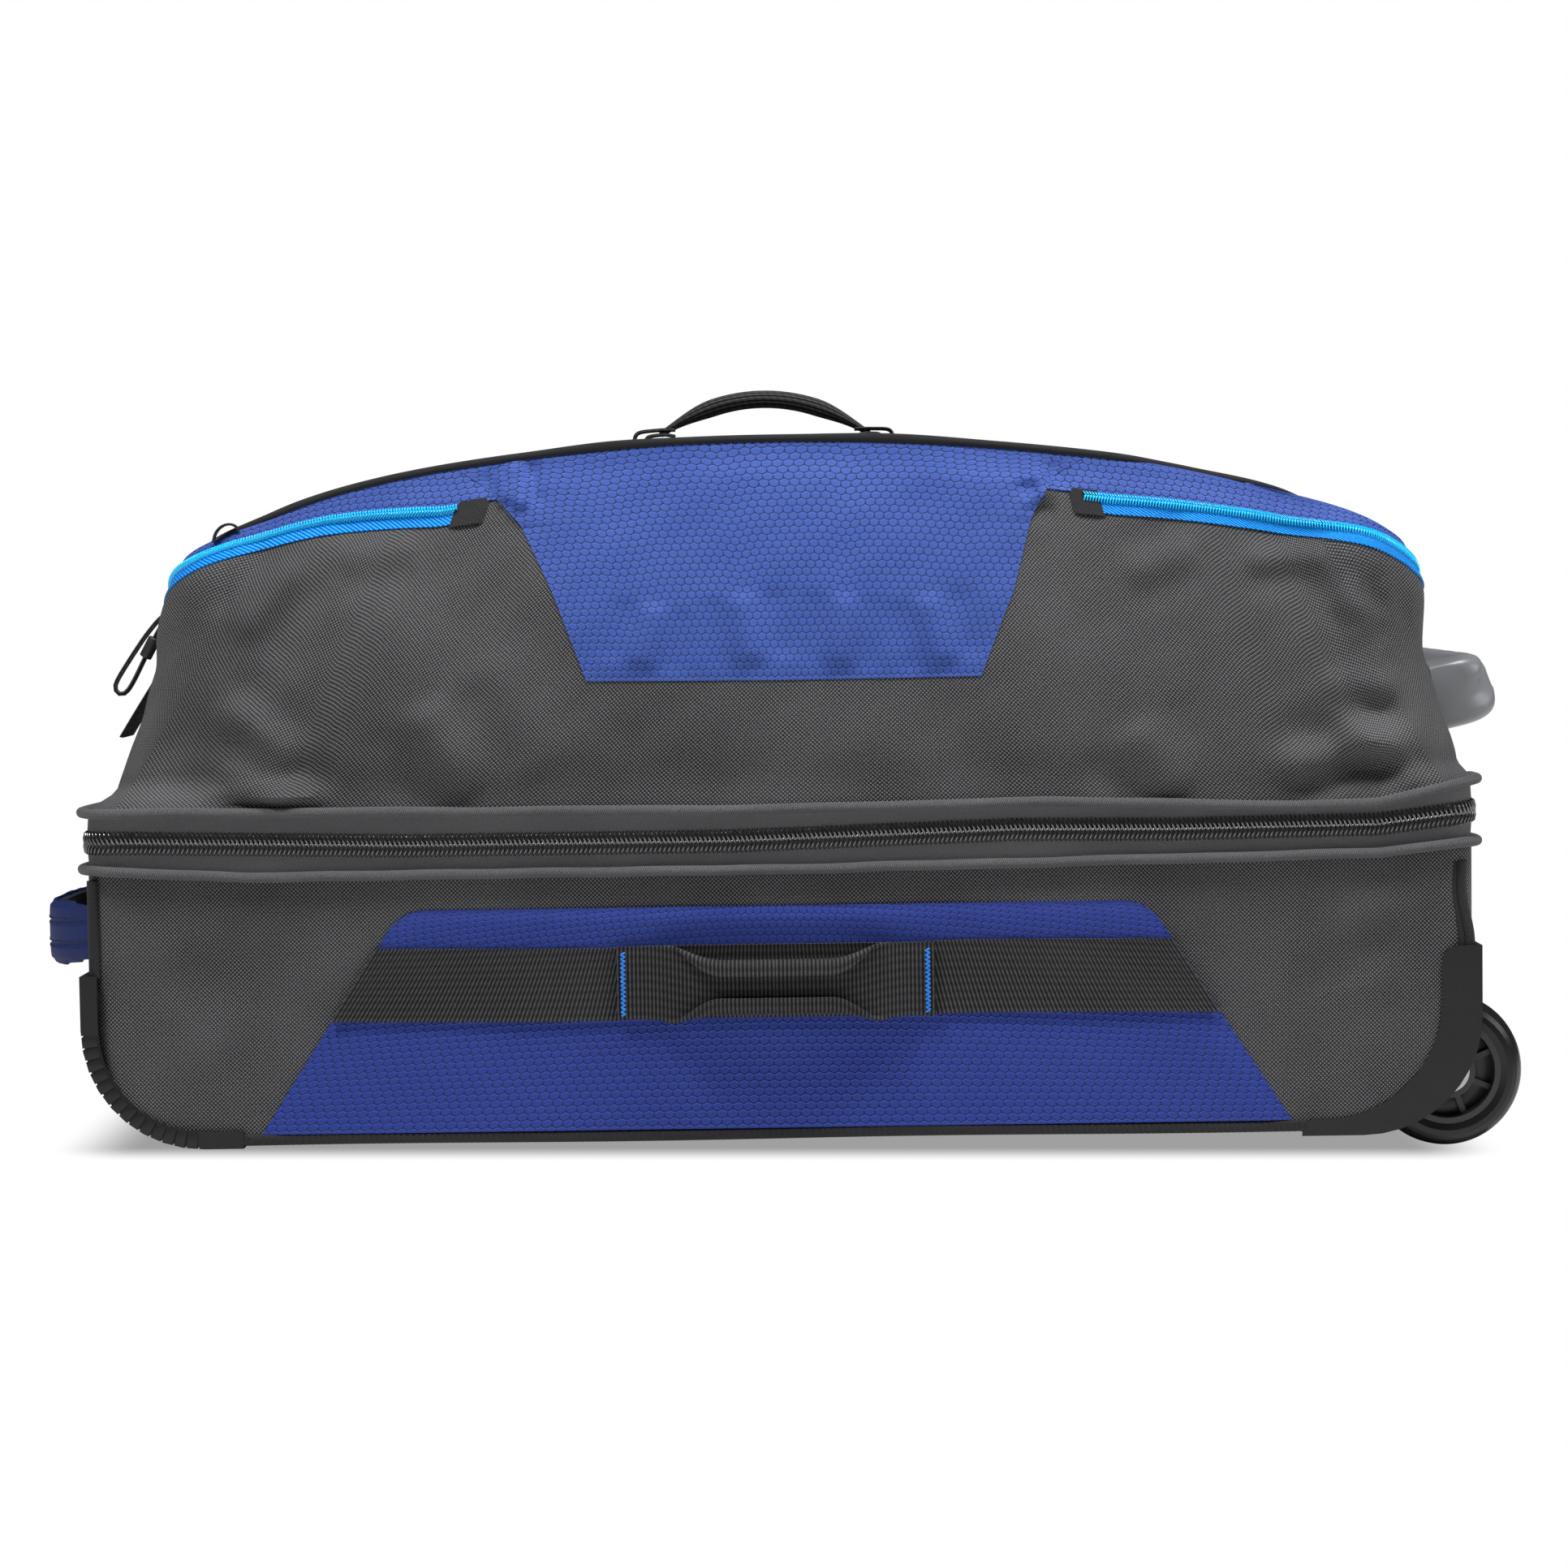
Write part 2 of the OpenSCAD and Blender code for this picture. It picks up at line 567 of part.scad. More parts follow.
module tube_bar(w, h, x0, x1) { both_sides() box_at([x0, tube_y - w / 2, tube_z - h / 2], [x1, tube_y + w / 2, tube_z + h / 2]); }
module tubes(w, h, x0, x1) {
    difference() {
        tube_bar(w, h, x0, x1);
        tube_bar(w - 2 * tube_wall, h - 2 * tube_wall, x0 - 1, x1 + 1);
    }
}
module outer_tubes() { color("lightgray") tubes(tube_w, tube_h, tube_x, tube_end); }
module middle_tubes() { color("silver") tubes(mid_w, mid_h, mid_x, mid_x + mid_len); }
module inner_tubes() {
    color("gainsboro") difference() {
        tubes(in_w, in_h, in_x, in_end);
        both_sides() rod_z(pin_x, tube_y, PIN_R + run_gap, tube_z, tube_z + in_h);
    }
}
module middle_collars() {
    color([0.2, 0.2, 0.2]) difference() {
        tube_bar(mid_w + 5, mid_h + 5, mid_x - COLLAR_T, collar_x);
        tube_bar(mid_w, mid_h, mid_x, cup_x);
        tube_bar(in_w + 0.2, in_h + 0.2, mid_x - COLLAR_T - 1, cup_x);
    }
}
FLANGE_T = 1.5;
module handle_housing() {
    rim = 6;
    color([0.18, 0.18, 0.18]) difference() {
        union() {
            intersection() {
                cup_block(CUP_WALL);
                tub(FLANGE_T, lower_h);
            }
            intersection() {
                difference() {
                    tub(FLANGE_T, lower_h);
                    tub(0, lower_h + 1);
                }
                box_at([-half_len - 10, -cup_half_w - CUP_WALL - rim, bottom_z],
                    [cup_x, cup_half_w + CUP_WALL + rim, cup_high + CUP_WALL + rim]);
            }
        }
        cup_block(0);
        tube_bar(mid_w + 0.2, mid_h + 0.2, cup_x - 1, tube_x + 1);
    }
}
module tube_bracket() {
    side = cover_half_w - 2.2;
    color([0.2, 0.2, 0.2]) difference() {
        box_at([tube_end - BRACKET_T / 2, -side, board_top], [tube_end + BRACKET_T / 2, side, cover_top - 2.2]);
        tube_bar(tube_w, tube_h, tube_end - BRACKET_T, tube_end);
        box_at([tube_end - BRACKET_T, -tube_y + tube_w, board_top - 1],
            [tube_end + BRACKET_T, tube_y - tube_w, cover_top]);
    }
}
module tube_cover() {
    x1 = tube_end + BRACKET_T / 2 + 4;
    color("slategray") difference() {
        box_at([tube_x, -cover_half_w, board_top], [x1, cover_half_w, cover_top]);
        box_at([tube_x - 1, 2 - cover_half_w, board_top - 1], [x1 - 2, cover_half_w - 2, cover_top - 2]);
    }
}
module screws() {
    head = SCREW_HEAD;
    color("darkgray") both_sides() {
        for (y = [half_w - PLATE_W + 8, half_w - 10])
            rod_x(y, FLANGE_TOP - 8, SCREW_R, half_len + FLANGE_OUT, half_len + FLANGE_OUT + head);
        for (x = [flange_end + 8, flange_end + 24])
            rod_z(x, half_w - PLATE_W + 8, SCREW_R, bottom_z - FLANGE_OUT - head, bottom_z - FLANGE_OUT);
        rod_x(cup_half_w - 4, tube_z, SCREW_R, cup_x - head, cup_x);
        rod_z(tube_end + BRACKET_T / 4, cover_half_w - 7, SCREW_R, cover_top, cover_top + head);
    }
}
function grip_outline(x0, x1, r) = let (z0 = tube_z - grip_h / 2, z1 = tube_z + grip_h / 2) concat(
    arc(x0 + r, z0 + r, r, 180, 270, 4), [[x1, z0], [x1, z1]], arc(x0 + r, z1 - r, r, 90, 180, 4));
module grip_cover() {
    color([0.16, 0.16, 0.16]) difference() {
        slice_y(-grip_w / 2, grip_w / 2) polygon(grip_outline(grip_x, split_x, 6));
        box_at([yoke_x - 1, -tube_y - in_w / 2, tube_z - 6], [split_x + 1, tube_y + in_w / 2, tube_z + 6]);
        box_at([grip_x - 1, -BUTTON[0] - soft_gap, tube_z - BUTTON[1] - soft_gap],
            [yoke_x, BUTTON[0] + soft_gap, tube_z + BUTTON[1] + soft_gap]);
    }
}
module grip_base() {
    color([0.16, 0.16, 0.16]) difference() {
        translate([grip_back_x + split_x, 0, 0]) mirror([1, 0, 0])
            slice_y(-grip_w / 2, grip_w / 2) polygon(grip_outline(split_x, grip_back_x, 6));
        tube_bar(in_w, in_h, in_x, grip_back_x + 1);
        box_at([split_x - 1, -tube_y - in_w / 2, tube_z - 6], [in_x + 1, tube_y + in_w / 2, tube_z + 6]);
    }
}
module release_button() {
    color("dimgray") {
        box_at([yoke_x, -tube_y - 6, tube_z - 4], [yoke_x + YOKE_T, tube_y + 6, tube_z + 4]);
        box_at([grip_x - BUTTON_OUT, -BUTTON[0], tube_z - BUTTON[1]], [yoke_x, BUTTON[0], tube_z + BUTTON[1]]);
    }
}
module release_rods() {
    color("silver") both_sides()
        rod_x(tube_y, tube_z, ROD_R, yoke_x + YOKE_T, pin_x - PIN_R - button_travel - WEDGE);
}
module latch_blocks() {
    color([0.3, 0.3, 0.3]) difference() {
        tube_bar(in_w - 2 * tube_wall, in_h - 2 * tube_wall, in_end - BLOCK, in_end);
        both_sides() {
            rod_z(pin_x, tube_y, PIN_R + run_gap, tube_z - in_h, tube_z + in_h);
            rod_x(tube_y, tube_z, ROD_R + 0.1, in_end - BLOCK - 1, pin_x);
        }
    }
}
LATCH_TRAVEL = 2.4;
module latch_pins() {
    color("gray") both_sides()
        rod_z(pin_x, tube_y, PIN_R, tube_z - in_h / 2 + tube_wall + LATCH_TRAVEL + 0.1, tube_z + in_h / 2);
}

// ---------- upper compartment ----------
WALL_ROWS = 4;
module upper_shell() {
    color([0.36, 0.36, 0.37]) torus_grid(concat(
        [for (k = [0:WALL_ROWS]) wall_row(k / WALL_ROWS, 0)],
        [top_row(0, 0), top_row(0, soft_wall)],
        [[for (p = wall_row(1, -soft_wall)) [p[0], p[1], p[2] - soft_wall]]],
        [for (k = [WALL_ROWS - 1:-1:0]) wall_row(k / WALL_ROWS, -soft_wall)]));
}
module divider_panel() {
    color([0.3, 0.3, 0.32]) translate([0, 0, upper_z - 3]) linear_extrude(2)
        polygon(body_ring(-0.5 - tape_t));
}
module upper_piping() { color([0.2, 0.2, 0.2]) piping(upper_z); }
module upper_zip_half() { color([0.12, 0.12, 0.12]) zip_half(true); }

// How far the pocket zips' middle lies below the top edge, at column i
ZIP_DROP = [12, 14];                                // at the ends, and the extra at mid-length
function zip_drop(i) = ZIP_DROP[0] + ZIP_DROP[1] * (1 - pow(ridge_plan[(i + RING) % RING][0] / half_len, 2));
// The height v on the wall that lies d below the top edge at column i
function v_below(i, d) = 1 - d / (ridge(ridge_plan[(i + RING) % RING][0]) - upper_z);
function wall_between(i, d, o) = let (a = floor(i), t = i - a)
    lerp(wall_point(a, v_below(a, zip_drop(a) + d), o), wall_point(a + 1, v_below(a + 1, zip_drop(a + 1) + d), o), t);
function overlay_row(d, o) = [for (i = [0:RING - 1]) wall_point(i, v_below(i, d < 0 ? -d : zip_drop(i) - d), o)];
yoke_edge = pocket_zip_w / 2 + soft_gap;
skin_in = soft_gap;
skin_out = soft_gap + panel_t;
module yoke() {
    color([0.25, 0.35, 0.65]) torus_grid([
        overlay_row(-0.5, skin_out), overlay_row(-0.5, skin_in),
        overlay_row(yoke_edge, skin_in), overlay_row(yoke_edge, skin_out)]);
}

// The blue drop panel in the middle of each long side
DROP_TOP = [-166, 162];                             // x of its upper corners
DROP_NECK = [-146, 142];                            // x of its shoulders, a little lower
DROP_LOW = [-100, 106];                             // x of its lower corners
DROP_BOTTOM = 240;                                  // height of its lower edge
DROP_ROWS = 8;
function front_point(x, v, o) = let (rc = lerp(corner_r, top_corner_r, v),
    x0 = rc - half_len + lean_left * v, x1 = half_len - lean_right * v - rc, t = (x - x0) / (x1 - x0),
    xt = lerp(top_corner_r - top_left, top_right - top_corner_r, t))
    [x, -(half_w - lean_side * v + o), lerp(upper_z, ridge(xt), v)];
function drop_x(s, side) = s < 0.2 ? lerp(DROP_TOP[side], DROP_NECK[side], pow(s / 0.2, 0.6))
    : lerp(DROP_NECK[side], DROP_LOW[side], (s - 0.2) / 0.8);
function drop_grid(o) = let (cols = 10, v1 = (DROP_BOTTOM - upper_z) / (ridge_z - upper_z))
    [for (k = [0:DROP_ROWS]) let (s = k / DROP_ROWS) [for (j = [0:cols]) let (
        x = lerp(drop_x(s, 0), drop_x(s, 1), j / cols),
        drop = ZIP_DROP[0] + ZIP_DROP[1] * (1 - pow(x / half_len, 2)) - yoke_edge + 2 * soft_gap,
        v0 = 1 - drop / (ridge(x) - upper_z)) front_point(x, lerp(v0, v1, s), o)]];
module drop_panels() {
    color("royalblue") both_sides() sheet(drop_grid(skin_out), drop_grid(skin_in));
}

// Pocket zips: a tape with a raised coil, from column c0 round an end to column c1
POCKET_ZIP = [-168, 163];                           // x of their ends on the long sides
ZIP_BASE = 1.5;
function zip_column(x, v) = let (rc = lerp(corner_r, top_corner_r, v),
    x0 = rc - half_len + lean_left * v, x1 = half_len - lean_right * v - rc) (x - x0) / (x1 - x0) * LONG;
module pocket_zip(c0, c1) {
    path = concat([c0], [for (i = [ceil(c0 + 0.1):floor(c1 - 0.1)]) i], [c1]);
    h = pocket_zip_w / 2;
    low = skin_in + 0.1;
    sweep([for (i = path) [wall_between(i, h, low), wall_between(i, h, low + ZIP_BASE / 2),
        wall_between(i, -h, low + ZIP_BASE), wall_between(i, -h, low)]]);
}
left_reach = zip_column(POCKET_ZIP[0], 0.87);
right_reach = LONG - zip_column(POCKET_ZIP[1], 0.87);
module pocket_zip_left() {
    color("deepskyblue") pocket_zip(C_LEFT - CORNER - left_reach, C_FRONT + left_reach);
}
module pocket_zip_right() {
    color("deepskyblue") pocket_zip(C_FRONT + LONG - right_reach, RING + C_BACK + right_reach);
}
end_fall = end_z - upper_z;
lean_angle_left = atan(lean_left / end_fall);
lean_angle_right = atan(lean_right / end_fall);
FOOT_R = 9;
module stand_foot() {
    v = (foot_z - upper_z) / end_fall;
    x = half_len - lean_right * v + soft_gap / 4;
    color("darkgray") translate([x, 0, foot_z]) rotate([0, -lean_angle_right, 0]) difference() {
        slice_y(-foot_w / 2, foot_w / 2) polygon(concat([[0, foot_h / 2], [0, -foot_h / 2]],
            arc(foot_out - FOOT_R, FOOT_R - foot_h / 2, FOOT_R, -90, 0, 4),
            arc(foot_out - FOOT_R, foot_h / 2 - FOOT_R, FOOT_R, 0, 90, 4)));
        box_at([-1, foot_wall - foot_w / 2, foot_wall - foot_h / 2],
            [foot_out - foot_wall, foot_w / 2 - foot_wall, foot_h / 2 - foot_wall]);
    }
}

// ---------- lid and its zip ----------
U_FIRST = C_FRONT;
U_LAST = RING + C_BACK + LONG;
LID_TAPE = 1.5;
COIL_UP = 1;
module u_strip(e0, e1, up0, up1) {
    sweep([for (k = [U_FIRST:U_LAST]) let (i = k % RING, a = lid_plan(e0)[i], b = lid_plan(e1)[i])
        [[a[0], a[1], ridge(a[0]) + up0], [a[0], a[1], ridge(a[0]) - LID_TAPE],
            [b[0], b[1], ridge(b[0]) - LID_TAPE], [b[0], b[1], ridge(b[0]) + up1]]]);
}
lid_edge = 2 * lid_zip_w + soft_gap;
module lid_zip_outer() { color([0.12, 0.12, 0.12]) u_strip(0, lid_zip_w, 0, COIL_UP); }
module lid_zip_inner() { color([0.12, 0.12, 0.12]) u_strip(lid_zip_w + soft_gap, lid_edge, COIL_UP, 0); }
function lid_grid(d) = let (p = ring(lid_left - soft_gap, lid_right - lid_edge,
        top_half_w - lid_inset - lid_edge, CORNER_HINGE, lid_corner_r - lid_edge), cols = 4)
    [for (k = [C_LEFT + END:RING]) let (q = p[k % RING])
        [for (j = [0:cols]) [q[0], q[1] * (1 - 2 * j / cols), ridge(q[0]) - d]]];
module lid() { color([0.2, 0.2, 0.21]) sheet(lid_grid(0), lid_grid(soft_wall)); }

// ---------- webbing and carry handles ----------
// A strap's section: four corners round a point, across direction a and through direction b
function slat(p, a, b, half_wide, half_thick) = [
    p - a * half_wide - b * half_thick, p + a * half_wide - b * half_thick,
    p + a * half_wide + b * half_thick, p - a * half_wide + b * half_thick];
// A rounded section with eight corners
function oval(p, a, b, ra, rb) = [for (k = [0:7]) let (t = 45 * k + 22.5) p + a * ra * cos(t) + b * rb * sin(t)];

STRAP_TOP = 0.81;
STRAP_LOW = 0.04;
STRAP_BOW = 7.5;
STRAP_STEPS = 12;
loop_x = [10 - top_left, 22 - top_left];
LOOP_Y = 40 - top_half_w;
LOOP_THICK = 0.9;                                   // half the loop's thickness
// Height of the top surface between the top edge and the lid's hinge line at the handle end
function end_slope(x) = lerp(end_z, ridge(-lid_left), (x + top_left) / (top_left - lid_left));
module end_webbing() {
    half = webbing_w / 2;
    color([0.1, 0.1, 0.1]) {
        // the strap down the handle end
        sweep([for (k = [0:STRAP_STEPS]) let (s = k / STRAP_STEPS, v = lerp(STRAP_TOP, STRAP_LOW, s),
            o = soft_gap + STRAP_BOW * s * sin(180 * s), x = half_len - lean_left * v,
            z = lerp(upper_z, end_z, v))
            [[-x - o, -half, z], [-x - o - webbing_t, -half, z], [-x - o - webbing_t, half, z], [-x - o, half, z]]]);
        // the small loop at the front end of the lid zip
        sweep([for (k = [0:8]) let (a = 180 * k / 8, mid = (loop_x[0] + loop_x[1]) / 2,
            r = (loop_x[1] - loop_x[0]) / 2, x = mid - r * cos(a))
            slat([x, LOOP_Y, end_slope(x + LOOP_THICK) + soft_gap / 4 + r * 0.8 * sin(a)],
                [0, 1, 0], [-cos(a), 0, sin(a)], 2.5, LOOP_THICK)]);
    }
}

ARCH_STEPS = 16;
seat_r = webbing_t;                                 // the round seats on which the handles turn
// How far along an arch has left its seats, 0 at the seats and 1 at the middle
function arch(s) = 1 - pow(abs(2 * s - 1), 3);
function grow(s) = min(1, 4 * min(s, 1 - s));

side_seat_y = -band_y - soft_gap - seat_r;
module side_handle() {
    color([0.18, 0.18, 0.18]) sweep([for (k = [0:ARCH_STEPS]) let (s = k / ARCH_STEPS, f = grow(s))
        oval([lerp(-side_handle_x, side_handle_x, s), side_seat_y - (side_handle_bow - seat_r) * arch(s), side_handle_z],
            [0, 0, 1], [0, 1, 0], lerp(seat_r, webbing_w / 4, f), lerp(seat_r, webbing_t, f))]);
}
end_seat_x = -half_len - soft_gap - seat_r;
module end_handle() {
    color("navy") sweep([for (k = [0:ARCH_STEPS]) let (s = k / ARCH_STEPS, f = grow(s))
        oval([end_seat_x - (end_handle_bow - seat_r) * arch(s), lerp(-end_handle_y, end_handle_y, s), end_handle_z],
            [0, 0, 1], [1, 0, 0], lerp(seat_r, webbing_w / 2, f), lerp(seat_r, webbing_t + 1, f))]);
}
top_seat_z = ridge(top_handle_x - seat_r) + soft_gap + seat_r;
module top_handle() {
    top = ridge(0) + top_handle_rise - sleeve_d / 2 - top_seat_z;
    color([0.15, 0.15, 0.15]) sweep([for (k = [0:ARCH_STEPS]) let (s = k / ARCH_STEPS, f = grow(s))
        oval([lerp(-top_handle_x, top_handle_x, s), 0, top_seat_z + top * arch(s)],
            [0, 1, 0], [0, 0, -1], lerp(seat_r, webbing_w / 4, f), lerp(seat_r, sleeve_d / 2, f))]);
}

// ---------- zip sliders and their pulls ----------
// Drawn with +X out of the fabric, +Y along the zip and the pull hanging down
SLIDER = [2.5, 13, 15];                             // thickness, length along the zip, width across it
EAR = [4.6, 1.6];                                   // the ears' reach and thickness
EYE_R = 2.2;
EYE_W = 5.4;
PIN_THIN = 1;
PULL_W = 9;
PULL_T = 1.8;
slider_out = soft_gap + SLIDER[0];
pull_axis = slider_out + EYE_R + soft_gap;
module zip_slider() {
    ear_y = EYE_W / 2 + 0.2;
    translate([soft_gap, -SLIDER[1] / 2, -SLIDER[2] / 2]) cube([SLIDER[0], SLIDER[1], SLIDER[2]]);
    for (s = [-1, 1]) translate([slider_out - EPS, s * (ear_y + EAR[1] / 2) - EAR[1] / 2, -EYE_R])
        cube([EAR[0], EAR[1], 2 * EYE_R]);
    rod_y(pull_axis, 0, PIN_THIN, -ear_y - EPS, ear_y + EPS);
}
module zip_pull(length) {
    difference() {
        union() {
            rod_y(pull_axis, 0, EYE_R, -EYE_W / 2, EYE_W / 2);
            box_at([pull_axis - PULL_T / 2, -EYE_W / 2, -2 * EYE_R], [pull_axis + PULL_T / 2, EYE_W / 2, 0]);
            box_at([pull_axis - PULL_T / 2, -PULL_W / 2, -length], [pull_axis + PULL_T / 2, PULL_W / 2, -1.8 * EYE_R]);
        }
        rod_y(pull_axis, 0, PIN_THIN + run_gap, -EYE_W, EYE_W);
    }
}
PAIR_Y = SLIDER[1] / 2 + 2;                         // half the distance between two sliders that meet
PULL_LEN = 32;
CORD_PULL_LEN = 46;
FOOT_PULL_LEN = 24;                                 // short enough to hang clear of the stand foot
POCKET_SLIDER_Y = [-84, 84];                        // where the left and right pocket zips are closed
module on_divider_zip(y) { translate([half_len + coil_out, y, zip_z]) children(); }
lid_joint_x = lid_right - lid_zip_w - soft_gap / 2;
lid_slope = atan((ridge(lid_joint_x - 3) - ridge(lid_joint_x + 3)) / 6);
module on_lid_zip(y) {
    translate([lid_joint_x, y, ridge(lid_joint_x)]) rotate([0, lid_slope - 90, 0])
        translate([COIL_UP + 0.3, 0, 0]) children();
}
pocket_v = 1 - ZIP_DROP[0] / end_fall - ZIP_DROP[1] / end_fall * (1 - pow(top_left / half_len, 2));
pocket_zip_out = soft_gap + ZIP_BASE;
module on_pocket_zip(side, y) {
    z = lerp(upper_z, end_z, pocket_v);
    if (side < 0) translate([-half_len + lean_left * pocket_v - pocket_zip_out, y, z])
        rotate([0, lean_angle_left, 0]) rotate([0, 0, 180]) children();
    else translate([half_len - lean_right * pocket_v + pocket_zip_out, y, z])
        rotate([0, -lean_angle_right, 0]) children();
}
module metal() { color([0.25, 0.25, 0.26]) children(); }
module divider_slider_front() { metal() on_divider_zip(-PAIR_Y) zip_slider(); }
module divider_slider_back() { metal() on_divider_zip(PAIR_Y) zip_slider(); }
module divider_pull_front() { metal() on_divider_zip(-PAIR_Y) zip_pull(PULL_LEN); }
module divider_pull_back() { metal() on_divider_zip(PAIR_Y) zip_pull(PULL_LEN); }
module lid_slider_front() { metal() on_lid_zip(-PAIR_Y) zip_slider(); }
module lid_slider_back() { metal() on_lid_zip(PAIR_Y) zip_slider(); }
module lid_pull_front() { metal() on_lid_zip(-PAIR_Y) zip_pull(PULL_LEN); }
module lid_pull_back() { metal() on_lid_zip(PAIR_Y) zip_pull(PULL_LEN); }
module pocket_slider_left() { metal() on_pocket_zip(-1, POCKET_SLIDER_Y[0]) zip_slider(); }
module pocket_slider_right() { metal() on_pocket_zip(1, POCKET_SLIDER_Y[1]) zip_slider(); }
module pocket_pull_left() { metal() on_pocket_zip(-1, POCKET_SLIDER_Y[0]) zip_pull(CORD_PULL_LEN); }
module pocket_pull_right() { metal() on_pocket_zip(1, POCKET_SLIDER_Y[1]) zip_pull(FOOT_PULL_LEN); }

on_floor() lower_shell();
on_floor() base_board();
on_floor() lower_panels();
on_floor() webbing_band();
on_floor() lower_piping();
on_floor() lower_zip_half();
on_floor() corner_guards();
on_floor() edge_bindings();
on_floor() skid_rails();
on_floor() wheel_housing_front();
on_floor() wheel_housing_back();
on_floor() axles();
on_floor() handle_housing();
on_floor() outer_tubes();
on_floor() tube_bracket();
on_floor() tube_cover();
on_floor() screws();
on_floor() hub_front();
on_floor() tyre_front();
on_floor() bearings_front();
on_floor() hub_back();
on_floor() tyre_back();
on_floor() bearings_back();
on_floor() middle_tubes();
on_floor() middle_collars();
on_floor() inner_tubes();
on_floor() latch_blocks();
on_floor() grip_base();
on_floor() grip_cover();
on_floor() release_button();
on_floor() release_rods();
on_floor() latch_pins();
on_floor() upper_shell();
on_floor() divider_panel();
on_floor() upper_piping();
on_floor() upper_zip_half();
on_floor() yoke();
on_floor() drop_panels();
on_floor() pocket_zip_left();
on_floor() pocket_zip_right();
on_floor() stand_foot();
on_floor() lid_zip_outer();
on_floor() end_webbing();
on_floor() lid();
on_floor() lid_zip_inner();
on_floor() top_handle();
on_floor() side_handle();
on_floor() end_handle();
on_floor() divider_slider_front();
on_floor() divider_slider_back();
on_floor() divider_pull_front();
on_floor() divider_pull_back();
on_floor() lid_slider_front();
on_floor() lid_slider_back();
on_floor() lid_pull_front();
on_floor() lid_pull_back();
on_floor() pocket_slider_left();
on_floor() pocket_slider_right();
on_floor() pocket_pull_left();
on_floor() pocket_pull_right();
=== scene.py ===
"""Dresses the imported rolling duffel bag: cloth, zips, webbing, mouldings and wheels.

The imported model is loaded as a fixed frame. Each sub-assembly is a class that builds its own
meshes in the bag's level frame, in millimetres, and sets them in the row frame, in metres.
"""

from __future__ import annotations

import json
import logging
import math
from dataclasses import dataclass, field
from enum import Enum
from typing import Callable, Iterable, Sequence

